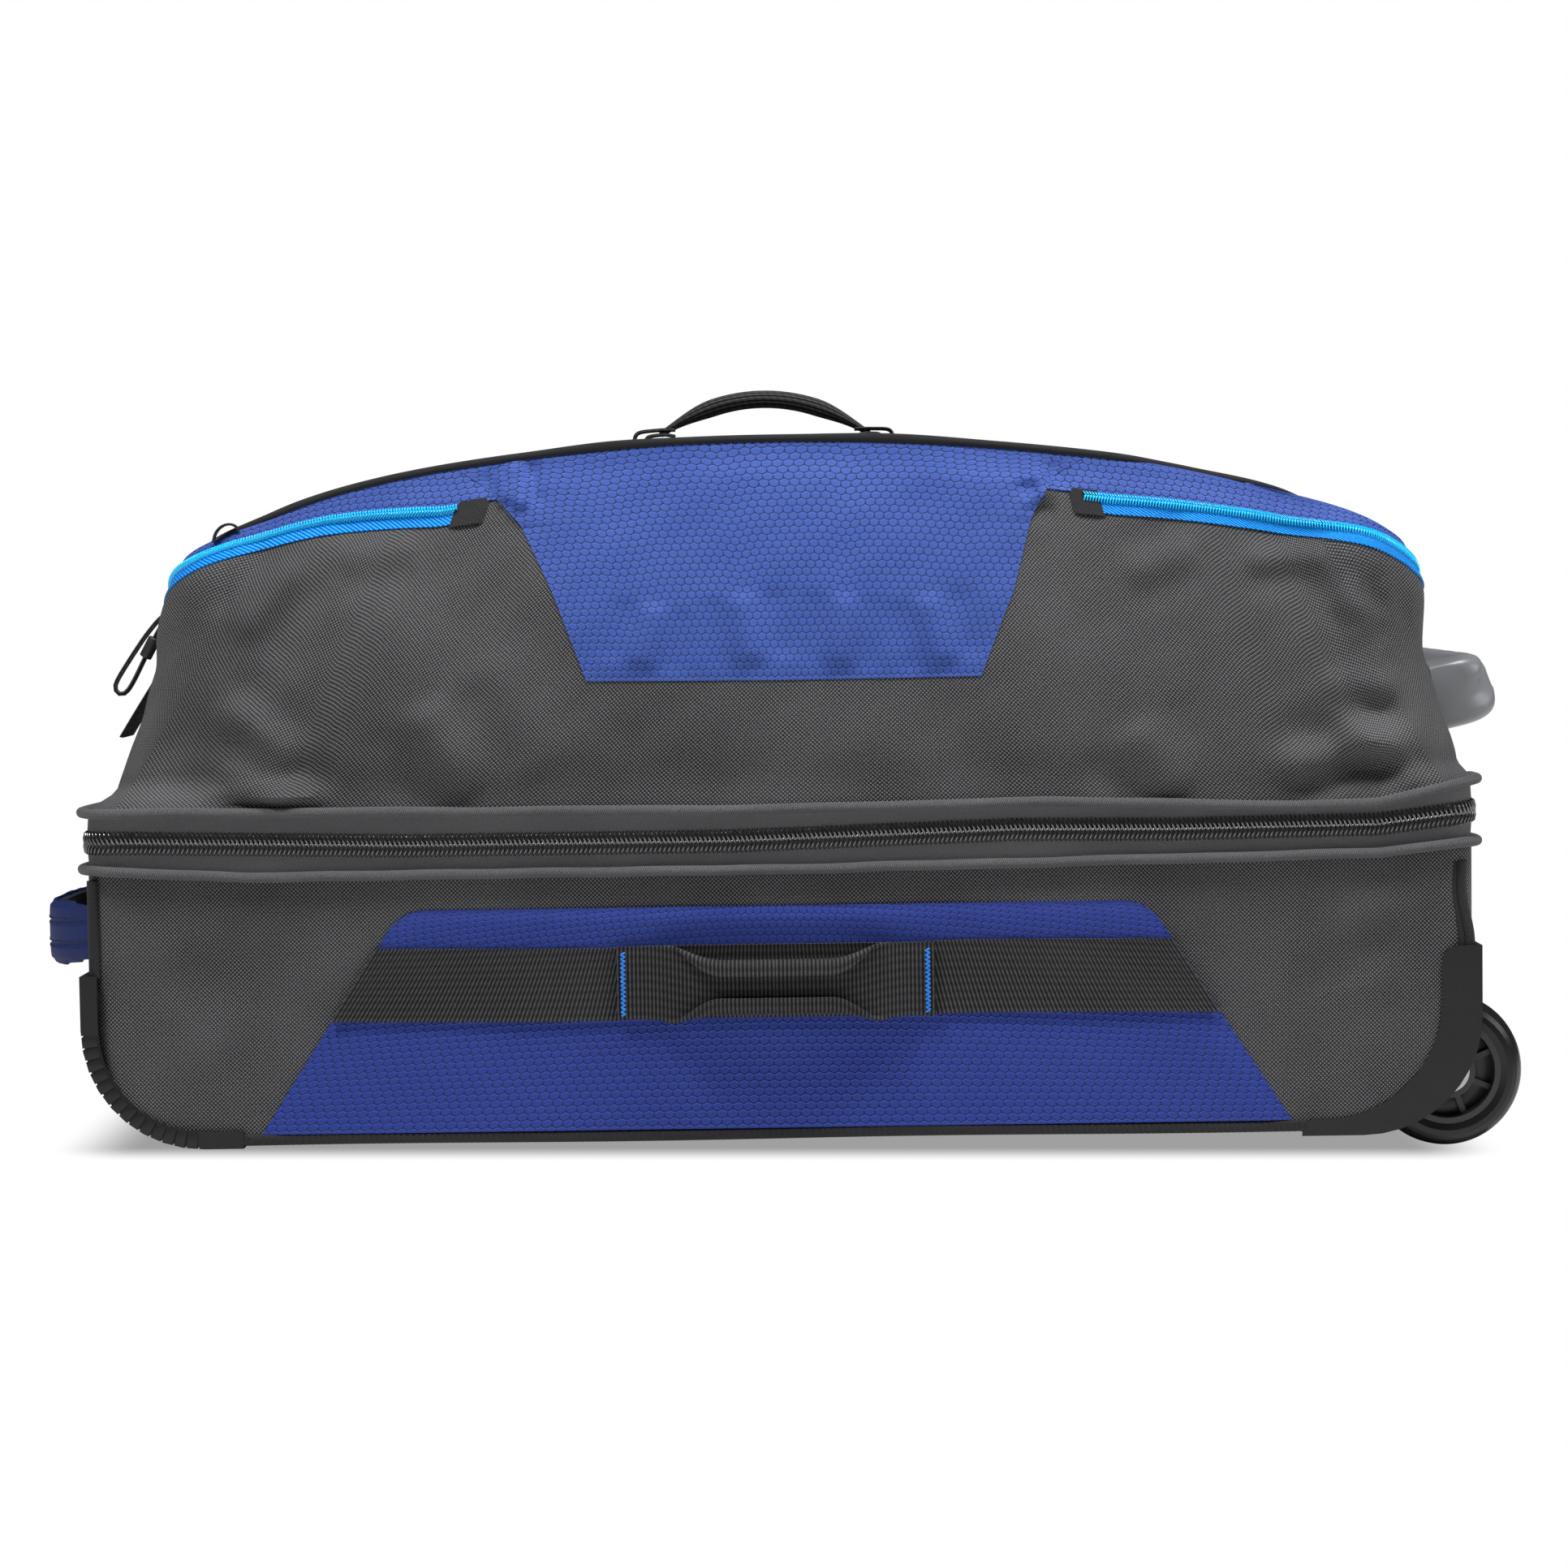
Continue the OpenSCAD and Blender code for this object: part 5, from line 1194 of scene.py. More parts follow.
# ---------- upper compartment ----------
@dataclass
class UpperBody:
    """The soft upper compartment: its walls, blue yoke and drop panels, pocket zips and foot."""

    form: BagForm
    shop: Workshop
    rims: Rims
    lens: Lens
    columns: int = 624
    rows: int = 40
    wall_t: float = 2.0
    puff: float = 9.0
    strap_bow: float = 14.0
    loop_away: tuple[float, float] = (-12.0, 4.0)
    loop_r: tuple[float, float] = (6.5, 6.4)
    zip_half: float = 5.5
    left_zip: float = -168.0
    right_zip: float = 163.0
    drop_left: Sequence[Point] = ((0, -166), (0.1, -152), (0.3, -133), (0.6, -117), (1, -99))
    drop_right: Sequence[Point] = ((0, 162), (0.1, 146), (0.3, 134), (0.62, 124), (1, 106))
    drop_low: float = 240.0
    folds: Sequence[Fold] = (
        Fold((-138, 355), (-132, 329), 5, 4.5), Fold((-145, 351), (-141, 333), 4, 3.2),
        Fold((136, 347), (146, 331), 5, 3.8), Fold((129, 329), (144, 335), 4, 2.7),
        Fold((-63, 282), (-71, 245), 8, 3.4), Fold((-18, 287), (-13, 246), 9, 3.8),
        Fold((36, 286), (32, 243), 8, 3.4), Fold((78, 285), (87, 244), 9, 3.8),
        Fold((-298, 200), (-232, 175), 9, 7.6), Fold((-305, 185), (-248, 181), 6, 4.8),
        Fold((254, 188), (340, 210), 10, 6.0), Fold((285, 174), (340, 186), 7, 4.0),
        Fold((298, 292), (306, 252), 8, 3.6), Fold((316, 288), (324, 255), 6, 2.2),
        Fold((243, 298), (291, 300), 7, 3.4), Fold((-249, 306), (-281, 264), 10, 4.8),
        Fold((-186, 232), (-160, 180), 14, 5.1), Fold((183, 216), (208, 175), 14, 4.8),
        Fold((280, 225), (335, 185), 9, 5.5), Fold((280, 232), (325, 230), 8, 3.0),
        Fold((290, 280), (322, 262), 6, 2.4), Fold((-293, 233), (-248, 197), 10, 4.5),
        Fold((-234, 305), (-186, 312), 9, 2.7), Fold((180, 291), (222, 305), 9, 2.7))

    def place_seat(self, slot: str, finish: Cloth | Moulding | Metal, *nodes: str) -> Seat:
        """A seat on the upper body."""
        return Seat("upper_body", slot, finish, nodes)

    def relief(self, points: Array, c: Array, v: Array) -> Array:
        """How far the cloth swells and creases outside its plain wall.

        Args:
            points: The plain wall's points.
            c: Their places round the bag; not used.
            v: Their share of the way up.

        Returns:
            One height for each, in millimetres.
        """
        seam = smooth(np.minimum(v / 0.16, (1 - v) / 0.1))
        corner = np.abs(np.abs(points[..., 0]) - 345) < 60
        ends = smooth((np.abs(points[..., 0]) - 290) / 40)
        swell = self.puff * lerp(1.0, 0.2, ends) * np.sin(math.pi * np.clip(v, 0, 1)) ** 0.8
        uneven = ripples(points, 5, 95, 1.8) + ripples(points, 8, 38, 0.6)
        uneven = uneven * lerp(1.0, 1.5, corner)
        creases = sum(fold.rise(points) for fold in self.folds)
        return (swell + uneven) * seam + creases * smooth(v / 0.06)

    def skin(self, name: str, c: Array, v: Array, lift: float) -> bpy.types.Object:
        """A sheet on the wall, let out by lift over the swells that the wall has."""
        base = self.form.wall(c, v)
        return grid(name, self.form.wall(c, v, self.relief(base, c, v) + lift), wrap=True)

    def build(self) -> None:
        """Builds the upper compartment's pieces."""
        self.walls()
        self.yoke()
        self.drop_panels()
        self.pocket_zip("pocket_zip_left", LEFT_FROM, self.left_zip)
        self.pocket_zip("pocket_zip_right", 0, self.right_zip)
        self.edge_binding()
        self.surround()
        self.divider()
        self.stand_foot()
        self.straps()

    def walls(self) -> None:
        """The charcoal walls, from the divider zip up to the yoke."""
        c = np.linspace(0, RING, self.columns, endpoint=False)[None]
        top = self.form.below(c, self.form.zip_drop(c) - self.zip_half - 3)
        v = np.linspace(0, 1, self.rows)[:, None] * top
        c, v = np.broadcast_arrays(c, v)
        piece = self.skin("upper_walls", c, v, 0.0)
        thicken(piece, self.wall_t, lined=True)
        self.shop.settle(piece, Seat("upper_body", "upper_fabric", CHARCOAL, ("upper_shell",),
                                     LINING))

    def tape_in(self, c: Array) -> Array:
        """How far in from the edge the black tape runs, as a share of the way to the lid."""
        x, _ = plan(c, 316.0, 335.0, 140.5, 60, 60)
        return 0.02 + 0.6 * smooth((x - 170) / 95) + 0.5 * smooth((-250 - x) / 50)

    def yoke(self) -> None:
        """The blue band from the pocket zips up and over the top edge."""
        c = np.linspace(0, RING, self.columns, endpoint=False)[None]
        low = self.form.below(c, self.form.zip_drop(c) - self.zip_half + 0.8)
        cc, v = np.broadcast_arrays(c, lerp(low, np.ones_like(low), np.linspace(0, 1, 14)[:, None]))
        base = self.form.wall(cc, v)
        side = self.form.wall(cc, v, self.relief(base, cc, v) + 1.1)
        inward = self.tape_in(c) * np.linspace(0.12, 1.0, 9)[:, None]
        over = self.form.top(np.broadcast_to(c, inward.shape), inward)
        over[..., 2] += 1.4
        points = np.concatenate([side, over])
        for _ in range(4):
            points[10:-1] = (points[9:-2] + 2 * points[10:-1] + points[11:]) / 4
        piece = grid("yoke_band", points, wrap=True)
        thicken(piece, 1.0)
        self.shop.settle(piece, self.place_seat("blue_ripstop", BLUE, "yoke"), 60)

    def side_place(self, x: Array, v: Array, front: bool) -> Array:
        """The place round the bag of a point with this x on a long side."""
        lean_l, lean_r, _ = self.form.lean
        r = lerp(self.form.corner_r, self.form.top_corner_r, v)
        low = r - self.form.half_len + lean_l * v
        high = self.form.half_len - lean_r * v - r
        t = (x - low) / (high - low)
        return FRONT_FROM + LONG * t if front else BACK_FROM + LONG * (1 - t)

    def drop_panels(self) -> None:
        """The blue panels that run down from the top edge between the pocket zips."""
        left, right = np.array(self.drop_left), np.array(self.drop_right)
        s = np.linspace(0, 1, 72)[:, None]
        t = np.linspace(0, 1, 130)[None]
        x = lerp(np.interp(s, left[:, 0], left[:, 1]), np.interp(s, right[:, 0], right[:, 1]), t)
        rim = smooth(9 * np.minimum(np.minimum(t, 1 - t), 1 - s))
        for front in (True, False):
            spread = x if front else x[:, ::-1]
            edge = self.side_place(spread, np.full_like(spread, 0.97), front)
            top = self.form.below(edge, 1.0)
            low = (self.drop_low - self.form.upper_z) / (self.form.ridge(spread) - self.form.upper_z)
            v = lerp(top, low, s)[::-1]
            c = self.side_place(spread[::-1], v, front)
            base = self.form.wall(c, v)
            lift = np.where(v > 0.8, 1.4, lerp(0.5, 1.4, rim[::-1]))
            piece = grid("drop_panel_front" if front else "drop_panel_back",
                         self.form.wall(c, v, self.relief(base, c, v) + lift))
            thicken(piece, 1.0)
            self.shop.settle(piece, self.place_seat("blue_ripstop", BLUE,
                                                    *(("drop_panels",) if front else ())))

    def pocket_zip(self, name: str, start: int, end_x: float) -> None:
        """A bright zip: a ribbed tape with a coil on its upper part.

        Args:
            name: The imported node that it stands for.
            start: The place round the bag where its end wall starts.
            end_x: How far along the long sides it reaches.
        """
        corner = FRONT_FROM if end_x < 0 else FRONT_FROM + LONG
        reach = abs(float(self.side_place(np.array(end_x), np.array(0.87), True)) - corner)
        c = np.linspace(start - CORNER - reach, start + END + CORNER + reach, 360)[None]
        drop = self.form.zip_drop(c)
        across = np.linspace(self.zip_half, -self.zip_half, 9)[:, None]
        cc, v = np.broadcast_arrays(c, self.form.below(c, drop + across))
        base = self.form.wall(cc, v)
        raised = 1.0 + 0.3 * hump((across + 2.6) / 3.6)
        tape = grid(f"{name}_tape", self.form.wall(cc, v, self.relief(base, cc, v) + raised))
        thicken(tape, 0.8)
        self.shop.settle(tape, self.place_seat("azure_coil", AZURE_TAPE, name))
        line = self.form.below(c[0], drop[0] - 2.6)
        base = self.form.wall(c[0], line)
        path = self.form.wall(c[0], line, self.relief(base, c[0], line) + 1.3)
        up = self.form.wall(c[0], line + 0.02) - self.form.wall(c[0], line)
        self.rims.coil(f"{name}_coil", path, up, (5.8, 2.0, 1.5),
                       self.place_seat("azure_coil", AZURE_COIL))

    def edge_binding(self) -> None:
        """The black tape along the top edge, which runs in over the top near both ends."""
        c = np.linspace(0, RING, 1040, endpoint=False)
        path = self.form.top(c, self.tape_in(c))
        path[:, 2] += 1.9 + ripples(path, 21, 60, 0.4)
        up = np.broadcast_to([0.0, 0.0, 1.0], path.shape)
        side = unit(np.cross(heading(path, True), up))
        lean = unit(up + side * 0.35)
        x = path[:, 0]
        wide = 2.1 + 0.9 * hump((x + 88) / 45) + 0.9 * hump((x - 62) / 55)
        outline = np.stack([oval(2.0, w, 12, 0.8) for w in wide])
        piece = sweep("top_edge_binding", path, lean, outline, closed=True)
        self.shop.settle(piece, self.place_seat("black_piping", TAPE))

    def surround(self) -> None:
        """The charcoal top between the tape and the lid zip."""
        c = np.linspace(0, RING, 416, endpoint=False)[None]
        share = np.linspace(0, 1, 14)[:, None]
        start = self.tape_in(c) * 0.9
        cc, t = np.broadcast_arrays(c, lerp(start, np.ones_like(start), share))
        points = self.form.top(cc, t)
        bow = np.sin(math.pi * share)
        points[..., 2] += 2.0 * bow * smooth(np.abs(points[..., 0]) / 260 - 0.5)
        points[..., 2] += ripples(points, 31, 70, 0.8) * bow
        piece = grid("top_surround", points, wrap=True)
        thicken(piece, 1.6)
        self.shop.settle(piece, self.place_seat("upper_fabric", CHARCOAL_TOP))

    def divider(self) -> None:
        """The cloth floor of the upper compartment, its piping and its half of the zip."""
        t = np.linspace(0, 1, 22)[:, None]
        c = np.linspace(0, RING, 208, endpoint=False)[None]
        x, y = plan(c, 358.6, 358.6, 178.6, 13.4, 13.4)
        points = np.stack([x * t, y * t, np.full(np.broadcast(x, t).shape, 174.0)], -1)
        points[..., 2] += ripples(points, 41, 120, 0.8) * (1 - t**4)
        panel = grid("divider_floor", points[::-1], wrap=True)
        apply(panel, "WELD", merge_threshold=0.1 * MM)
        thicken(panel, 1.6)
        self.shop.settle(panel, self.place_seat("lining_fabric", LINING, "divider_panel"))
        self.rims.piping("upper_piping_cord", self.form.upper_z, self.form.top_line,
                         self.place_seat("black_piping", PIPING, "upper_piping"))
        self.rims.zip_half("upper_zip", 1, self.place_seat("dark_coil", ZIP_TAPE, "upper_zip_half"),
                           self.place_seat("dark_coil", DARK_COIL))

    def stand_foot(self) -> None:
        """The moulded grey foot at the wheel end, with two slanting finger grooves."""
        height = 39.0
        width = 200.0
        out = 34.0
        lean = math.atan2(self.form.lean[1], 118.0)
        base = (self.form.half_len - self.form.lean[1] * 53 / 118 + 5.5, 223.0)
        y = np.linspace(-width / 2, width / 2, 150)
        a = np.linspace(-math.pi / 2, math.pi / 2, 40)
        end = np.clip((width / 2 - np.abs(y)) / 16, 0, 1)
        taper = np.sqrt(np.clip(1 - (1 - end) ** 2, 0.02, 1))[:, None]
        h = np.sign(np.sin(a)) * np.abs(np.sin(a)) ** 0.55 * height / 2
        o = np.abs(np.cos(a)) ** 0.45 * out
        groove = sum(hump((y[:, None] - centre - h * 0.9) / 12)
                     for centre in (-94, -58, -22, 22, 58, 94))
        crease = hump((h - 3 + y[:, None] * 0.02) / 2.2)
        depth = o * lerp(0.45, 1.0, taper) - (5.0 * groove + 1.1 * crease) * (o / out) ** 3
        high = h * lerp(0.72, 1.0, taper)
        depth, high = np.broadcast_arrays(depth, high)
        x = base[0] + 0.1 + depth * math.cos(lean) - high * math.sin(lean)
        z = base[1] + depth * math.sin(lean) + high * math.cos(lean)
        points = np.stack([x, np.broadcast_to(y[:, None], x.shape), z], -1)
        piece = outward(grid("stand_foot_moulding", points, wrap=True, caps=True))
        self.shop.settle(piece, self.place_seat("grey_moulding", FOOT, "stand_foot"), 60)

    def straps(self) -> None:
        """The webbing strap down the handle end and the small loop by the lid zip."""
        s = np.linspace(0, 1, 48)
        v = lerp(0.81, 0.28, s)
        out = 1.6 + self.puff * np.sin(math.pi * v) * 0.8 + self.strap_bow * s**1.6
        x = -(self.form.half_len - self.form.lean[0] * v + out)
        z = lerp(self.form.upper_z, 293.0, v)
        path = np.stack([x, np.zeros_like(x), z], -1)
        side = unit(np.stack([-np.ones_like(x), np.zeros_like(x), np.full_like(x, 0.35)], -1))
        strap = sweep("end_strap", path, side, oval(19.0, 1.2, 20, 0.35))
        self.shop.settle(strap, self.place_seat("black_webbing", WEBBING, "end_webbing"))
        mark = MARKS["zip_loop"]
        hit, _ = self.lens.place(mark.x, mark.y, bpy.data.objects["yoke_band"])
        middle = to_bag(np.array(hit))
        a = np.linspace(0, math.pi, 28)
        x = middle[0] + self.loop_away[0] - self.loop_r[0] * np.cos(a)
        z = middle[2] + lerp(-2.0, 3.5, a / math.pi) + self.loop_r[1] * np.sin(a)
        path = np.stack([x, np.full_like(x, middle[1] + self.loop_away[1]), z], -1)
        out = unit(np.stack([-np.cos(a), np.zeros_like(a), np.sin(a) + 0.05], -1))
        loop = sweep("zip_end_loop", path, out, oval(2.6, 0.7, 12, 0.5))
        self.shop.settle(loop, self.place_seat("black_webbing", TAPE))


# ---------- lid ----------
@dataclass
class Lid:
    """The zipped lid in the top, its zip and its handle."""

    form: BagForm
    shop: Workshop
    rims: Rims
    zip_w: float = 6.0
    seat_z: float = 364.755
    handle_x: float = 70.0
    handle_shift: float = -6.0
    rise: float = 28.0

    def build(self) -> None:
        """Builds the lid's pieces."""
        self.top()
        self.zip_tapes()
        self.handle()

    def line(self, inset: float, count: int, up: float = 0.0) -> Array:
        """A line that runs round three sides of the lid, inset from its opening."""
        form = self.form
        c = np.linspace(FRONT_FROM, RING + BACK_FROM + LONG, count * 3)
        x, y = plan(c, form.lid_left, form.lid_right - inset, form.lid_half - inset, 1.0,
                    form.lid_corner_r - inset)
        x = np.maximum(x, -form.lid_left + 1.0)
        return even(np.stack([x, y, form.ridge(x) + up], -1), count)

    def top(self) -> None:
        """The lid's cloth, a little crowned."""
        form = self.form
        inset = 2 * self.zip_w + 0.3
        x = np.linspace(-form.lid_left + 0.5, form.lid_right - inset, 150)[None]
        half = form.lid_half - inset
        r = form.lid_corner_r - inset
        over = np.clip(x - (form.lid_right - inset - r), 0, r)
        half = half - r + np.sqrt(np.maximum(r**2 - over**2, 1.0))
        t = np.linspace(-1, 1, 90)[:, None]
        y = half * t
        x, y = np.broadcast_arrays(x, y)
        soft = smooth((1 - np.abs(t)) * 8) * smooth((form.lid_right - inset - x) / 14)
        z = form.ridge(x) + 2.2 * np.cos(t * math.pi / 2) * soft
        z = z + ripples(np.stack([x, y, z], -1), 81, 90, 0.9) * soft * smooth((x + 286) / 20)
        piece = grid("lid_top", np.stack([x, y, z], -1))
        thicken(piece, 2.0, lined=True)
        self.shop.settle(piece, Seat("lid_body", "upper_fabric", CHARCOAL_TOP, ("lid",), LINING))

    def zip_tapes(self) -> None:
        """Both tapes of the lid zip, and the coil between them."""
        for name, body, near, far in (("lid_zip_outer", "upper_body", -0.2, self.zip_w),
                                      ("lid_zip_inner", "lid_body", self.zip_w + 0.3, 12.6)):
            rows = [self.line(lerp(near, far, s), 400, 0.1 + 0.9 * (
                smooth(s * 2) if near < 0 else smooth((1 - s) * 2))) for s in np.linspace(0, 1, 7)]
            piece = grid(f"{name}_tape", np.stack(rows))
            thicken(piece, 1.5)
            self.shop.settle(piece, Seat(body, "dark_coil", ZIP_TAPE, (name,)))
            side = 1 if near >= 0 else -1
            path = self.line(self.zip_w + 0.15, 700, 1.1)
            inward = self.line(self.zip_w + 4.0, 700, 1.1) - path
            self.rims.coil(f"{name}_teeth", path, inward, (5.6, 1.5, 1.5),
                           Seat(body, "dark_coil", DARK_COIL), halves=(side,))

    def handle(self) -> None:
        """The top handle: webbing folded into a sleeve, whose ends open into two plies."""
        s = np.linspace(0.085, 0.925, 90)
        x = lerp(-self.handle_x, self.handle_x, s) + self.handle_shift
        z = self.seat_z + self.arch(s)
        path = np.stack([x, 0.35 * np.sin(x / 9), z], -1)
        thick = 4.9 * np.minimum(1, 0.34 + 0.66 * smooth(np.minimum(s - 0.085, 0.925 - s) * 4.6))
        wide = lerp(6.4, 9.0, smooth(np.minimum(s - 0.085, 0.925 - s) * 4))
        shapes = np.stack([oval(w, t, 28, 0.72) for w, t in zip(wide, thick)])
        up = unit(np.cross([0.0, 1.0, 0.0], heading(path)) * -1)
        sleeve = sweep("top_handle_sleeve", path, up, shapes)
        seat = Seat("top_handle_body", "black_webbing", WEBBING, ("top_handle",))
        self.shop.settle(sleeve, seat, 50)
        for end, side in ((0.10, -1), (0.91, 1)):
            foot = side * self.handle_x + self.handle_shift
            start = np.array([lerp(-self.handle_x, self.handle_x, end) + self.handle_shift, 0,
                              self.seat_z + float(self.arch(np.array(end)))])
            for ply, reach, lift in (("outer", 7.0, 3.0), ("inner", -4.0, 0.4)):
                knee = np.array([foot + side * min(reach, 2.0), 0, self.seat_z + 7.5 + lift])
                toe = np.array([foot + side * reach * 0.6, 0, self.seat_z + 1.0])
                inside = start + np.array([-side * 6.0, 0, 1.2 if ply == "outer" else -2.4])
                points = np.stack([inside, start + [0, 0, lift - 1.6], knee, toe])
                t = np.linspace(0, 3, 40)
                smoothed = np.stack([np.interp(t, range(4), points[:, k]) for k in range(3)], -1)
                for _ in range(14):
                    smoothed[1:-1] = (smoothed[:-2] + 2 * smoothed[1:-1] + smoothed[2:]) / 4
                up = unit(np.cross([0.0, 1.0, 0.0], heading(smoothed)))
                label = f"top_handle_{ply}_{'left' if side < 0 else 'right'}"
                strip = sweep(label, smoothed, up, oval(8.0, 0.9, 16, 0.4))
                self.shop.settle(strip, Seat("top_handle_body", "black_webbing", WEBBING), 50)

    def arch(self, s: Array) -> Array:
        """The handle's height over its seats, from one seat at 0 to the other at 1."""
        return self.rise * (1 - np.abs(2 * s - 1) ** 2.05)


# ---------- lower compartment ----------
@dataclass
class LowerBody:
    """The boarded lower compartment: its walls, base, blue panels, band, bindings and zip."""

    form: BagForm
    shop: Workshop
    rims: Rims
    wall_t: float = 3.0
    panel_low: float = 7.0
    panel_high: float = 123.0
    panel_left: tuple[float, float] = (-271.0, -205.0)
    panel_right: tuple[float, float] = (264.0, 198.0)
    round_r: float = 12.0
    band: tuple[float, float] = (65.0, 103.0)
    wheel: Point = (347.0, 166.4, 30.5)
    well_t: tuple[float, float] = (1.07, 2.16)
    well_y: float = 149.3
    recess_t: tuple[float, float] = (1.332, 1.888)
    recess_y: float = 72.5
    folds: Sequence[Fold] = (
        Fold((275, 65), (328, 78), 9, 2.2), Fold((298, 39), (345, 43), 8, 2.0),
        Fold((285, 106), (322, 121), 10, 1.8), Fold((264, 20), (316, 30), 8, 1.4),
        Fold((-319, 36), (-271, 72), 12, 1.4), Fold((-338, 99), (-286, 114), 12, 1.2))

    def seat(self, slot: str, finish: Cloth | Moulding | Metal, *nodes: str) -> Seat:
        """A seat on the lower body."""
        return Seat("lower_body", slot, finish, nodes)

    def build(self) -> None:
        """Builds the lower compartment's pieces."""
        self.walls()
        for side in (-1, 1):
            self.blue_panel(side)
            self.bottom_binding(side)
            for end in (-1, 1):
                self.edge_binding(side, end)
        self.webbing_band()
        self.tube_cover()
        self.rims.piping("lower_piping_cord", self.form.lower_h, self.form.low_line,
                         self.seat("black_piping", PIPING, "lower_piping"))
        self.rims.zip_half("lower_zip", -1, self.seat("dark_coil", ZIP_TAPE, "lower_zip_half"),
                           self.seat("dark_coil", DARK_COIL))

    def tub(self, c: Array, t: Array) -> Array:
        """Points of the tub: its base from 0 to 1, its round edge to 2 and its wall to 3.

        Args:
            c: Places round it.
            t: How far out and up they are.

        Returns:
            The points.
        """
        form = self.form
        c, t = np.broadcast_arrays(c, t)
        turn = np.radians(90 * np.clip(t - 1, 0, 1))
        reach = form.half_len - form.bottom_r * (1 - np.sin(turn))
        r = np.clip(form.corner_r - (form.half_len - reach), 4, form.corner_r)
        x, y = plan(c, reach, reach, form.half_w, r, r)
        share = np.clip(t, 0, 1)
        z = form.bottom_z + form.bottom_r * (1 - np.cos(turn))
        top = form.lower_h + form.drift(x, y, form.low_line)
        z = np.where(t > 2, lerp(form.bottom_z + form.bottom_r, top, t - 2), z)
        return np.stack([x * share, y * share, z], -1)

    def walls(self) -> None:
        """The charcoal walls and base, open for the wheels and the pull-handle."""
        flat = self.form.half_w - self.form.corner_r
        well = END * (flat - self.well_y) / flat / 2
        recess = END * (flat - self.recess_y) / flat / 2
        c = np.unique(np.concatenate([
            np.linspace(0, RING, 416, endpoint=False),
            [well, END - well, LEFT_FROM + recess, LEFT_FROM + END - recess]]))
        t = np.unique(np.concatenate([
            np.linspace(0, 1, 10), 1 + np.linspace(0.03, 1, 18), 2 + np.linspace(0.08, 1, 12),
            self.well_t, self.recess_t]))
        points = self.tub(c[None], t[:, None])
        soft = smooth(np.abs(t - 1) * 3) * smooth((3 - t) * 3)
        clear = smooth((np.hypot(points[..., 0] - self.wheel[0],
                                 points[..., 2] - self.wheel[2]) - 55) / 25)
        creases = sum(fold.rise(points) for fold in self.folds)
        lift = lerp(0.9, (ripples(points, 51, 110, 0.7) + creases) * soft[:, None], clear)
        corner = hump((points[..., 0] - 300) / 60) * hump((points[..., 2] - 100) / 40)
        lift = lift + 1.3 * corner * np.sin((points[..., 0] * 0.55 + points[..., 2]) / 9.0)
        on_side = np.abs(points[..., 1]) > 181
        points[..., 1] += np.where(on_side, np.sign(points[..., 1]) * lift, 0.0)
        at_c = c + np.diff(np.append(c, RING)) / 2
        at_t = (t[1:] + t[:-1])[:, None] / 2
        wheels = ((at_c > RING - CORNER) | (at_c < well) | (at_c > END - well) &
                  (at_c < BACK_FROM)) & (at_t > self.well_t[0]) & (at_t < self.well_t[1])
        slot = (at_c > LEFT_FROM + recess) & (at_c < LEFT_FROM + END - recess) & (
            at_t > self.recess_t[0]) & (at_t < self.recess_t[1])
        piece = grid("lower_walls", points, wrap=True, holes=wheels | slot, panels=True)
        apply(piece, "WELD", merge_threshold=0.1 * MM)
        thicken(piece, self.wall_t, lined=True)
        self.shop.settle(piece, Seat("lower_body", "charcoal_fabric", CHARCOAL,
                                     ("lower_shell",), LINING))

    def panel_x(self, z: Array, right: bool) -> Array:
        """Where a blue panel's slanted end lies at a height."""
        low, high = self.panel_right if right else self.panel_left
        edge = lerp(low, high, (z - 8) / (self.panel_high - self.round_r - 8))
        way = -1 if right else 1
        over = np.clip(z - (self.panel_high - self.round_r), 0, self.round_r)
        arc = self.round_r - np.sqrt(np.maximum(self.round_r**2 - over**2, 0))
        return edge + way * arc * 0.9

    def blue_panel(self, side: int) -> None:
        """One long side's blue panel, swollen a little between its seams."""
        z = np.concatenate([np.linspace(self.panel_low, 111, 44), np.linspace(112, 123, 10)])
        z = z[:, None]
        t = np.linspace(0, 1, 180)[None]
        x = lerp(self.panel_x(z, False), self.panel_x(z, True), t)
        x, z = np.broadcast_arrays(x, z)
        rim = smooth(16 * np.minimum(np.minimum(t, 1 - t) * 2.4, (self.panel_high - z) / 110))
        pinch = 1 - hump((z - self.band[0]) / 10) * 0.6 - hump((z - self.band[1]) / 10) * 0.6
        out = lerp(0.7, 1.3 + 1.0 * pinch, rim)
        out = out + ripples(np.stack([x, z, z], -1), 61, 60, 0.25) * rim
        lift = hump((x + 30) / 260) * hump((z - 120) / 14) * 1.0
        y = side * (self.form.half_w + out + lift)
        points = np.stack([x, y, z], -1)
        piece = grid("blue_panel_front" if side < 0 else "blue_panel_back",
                     points if side < 0 else points[:, ::-1])
        thicken(piece, 1.2)
        # The lower panels take the darker copy of the blue, partly painted shade.
        self.shop.settle(piece, self.seat("blue_ripstop", BLUE_LOW_SHADED,
                                          *(("lower_panels",) if side < 0 else ())))

    def webbing_band(self) -> None:
        """The wide webbing across the front panel, with a bound edge above and below."""
        z = np.linspace(*self.band, 14)[:, None]
        t = np.linspace(0, 1, 200)[None]
        x = lerp(self.panel_x(z, False), self.panel_x(z, True), t)
        x, z = np.broadcast_arrays(x, z)
        wave = 0.9 * np.sin(x / 60.0) * smooth((np.abs(x) - 60) / 40)
        edge = hump((np.abs(z - 84) - 19) / 2.2)
        y = -(self.form.half_w + 3.6 + 0.3 * edge + 0.2 * np.sin(x / 23.0))
        piece = grid("front_webbing", np.stack([x, y, z + wave], -1))
        thicken(piece, 1.4)
        self.shop.settle(piece, self.seat("black_webbing", WEBBING, "webbing_band"))

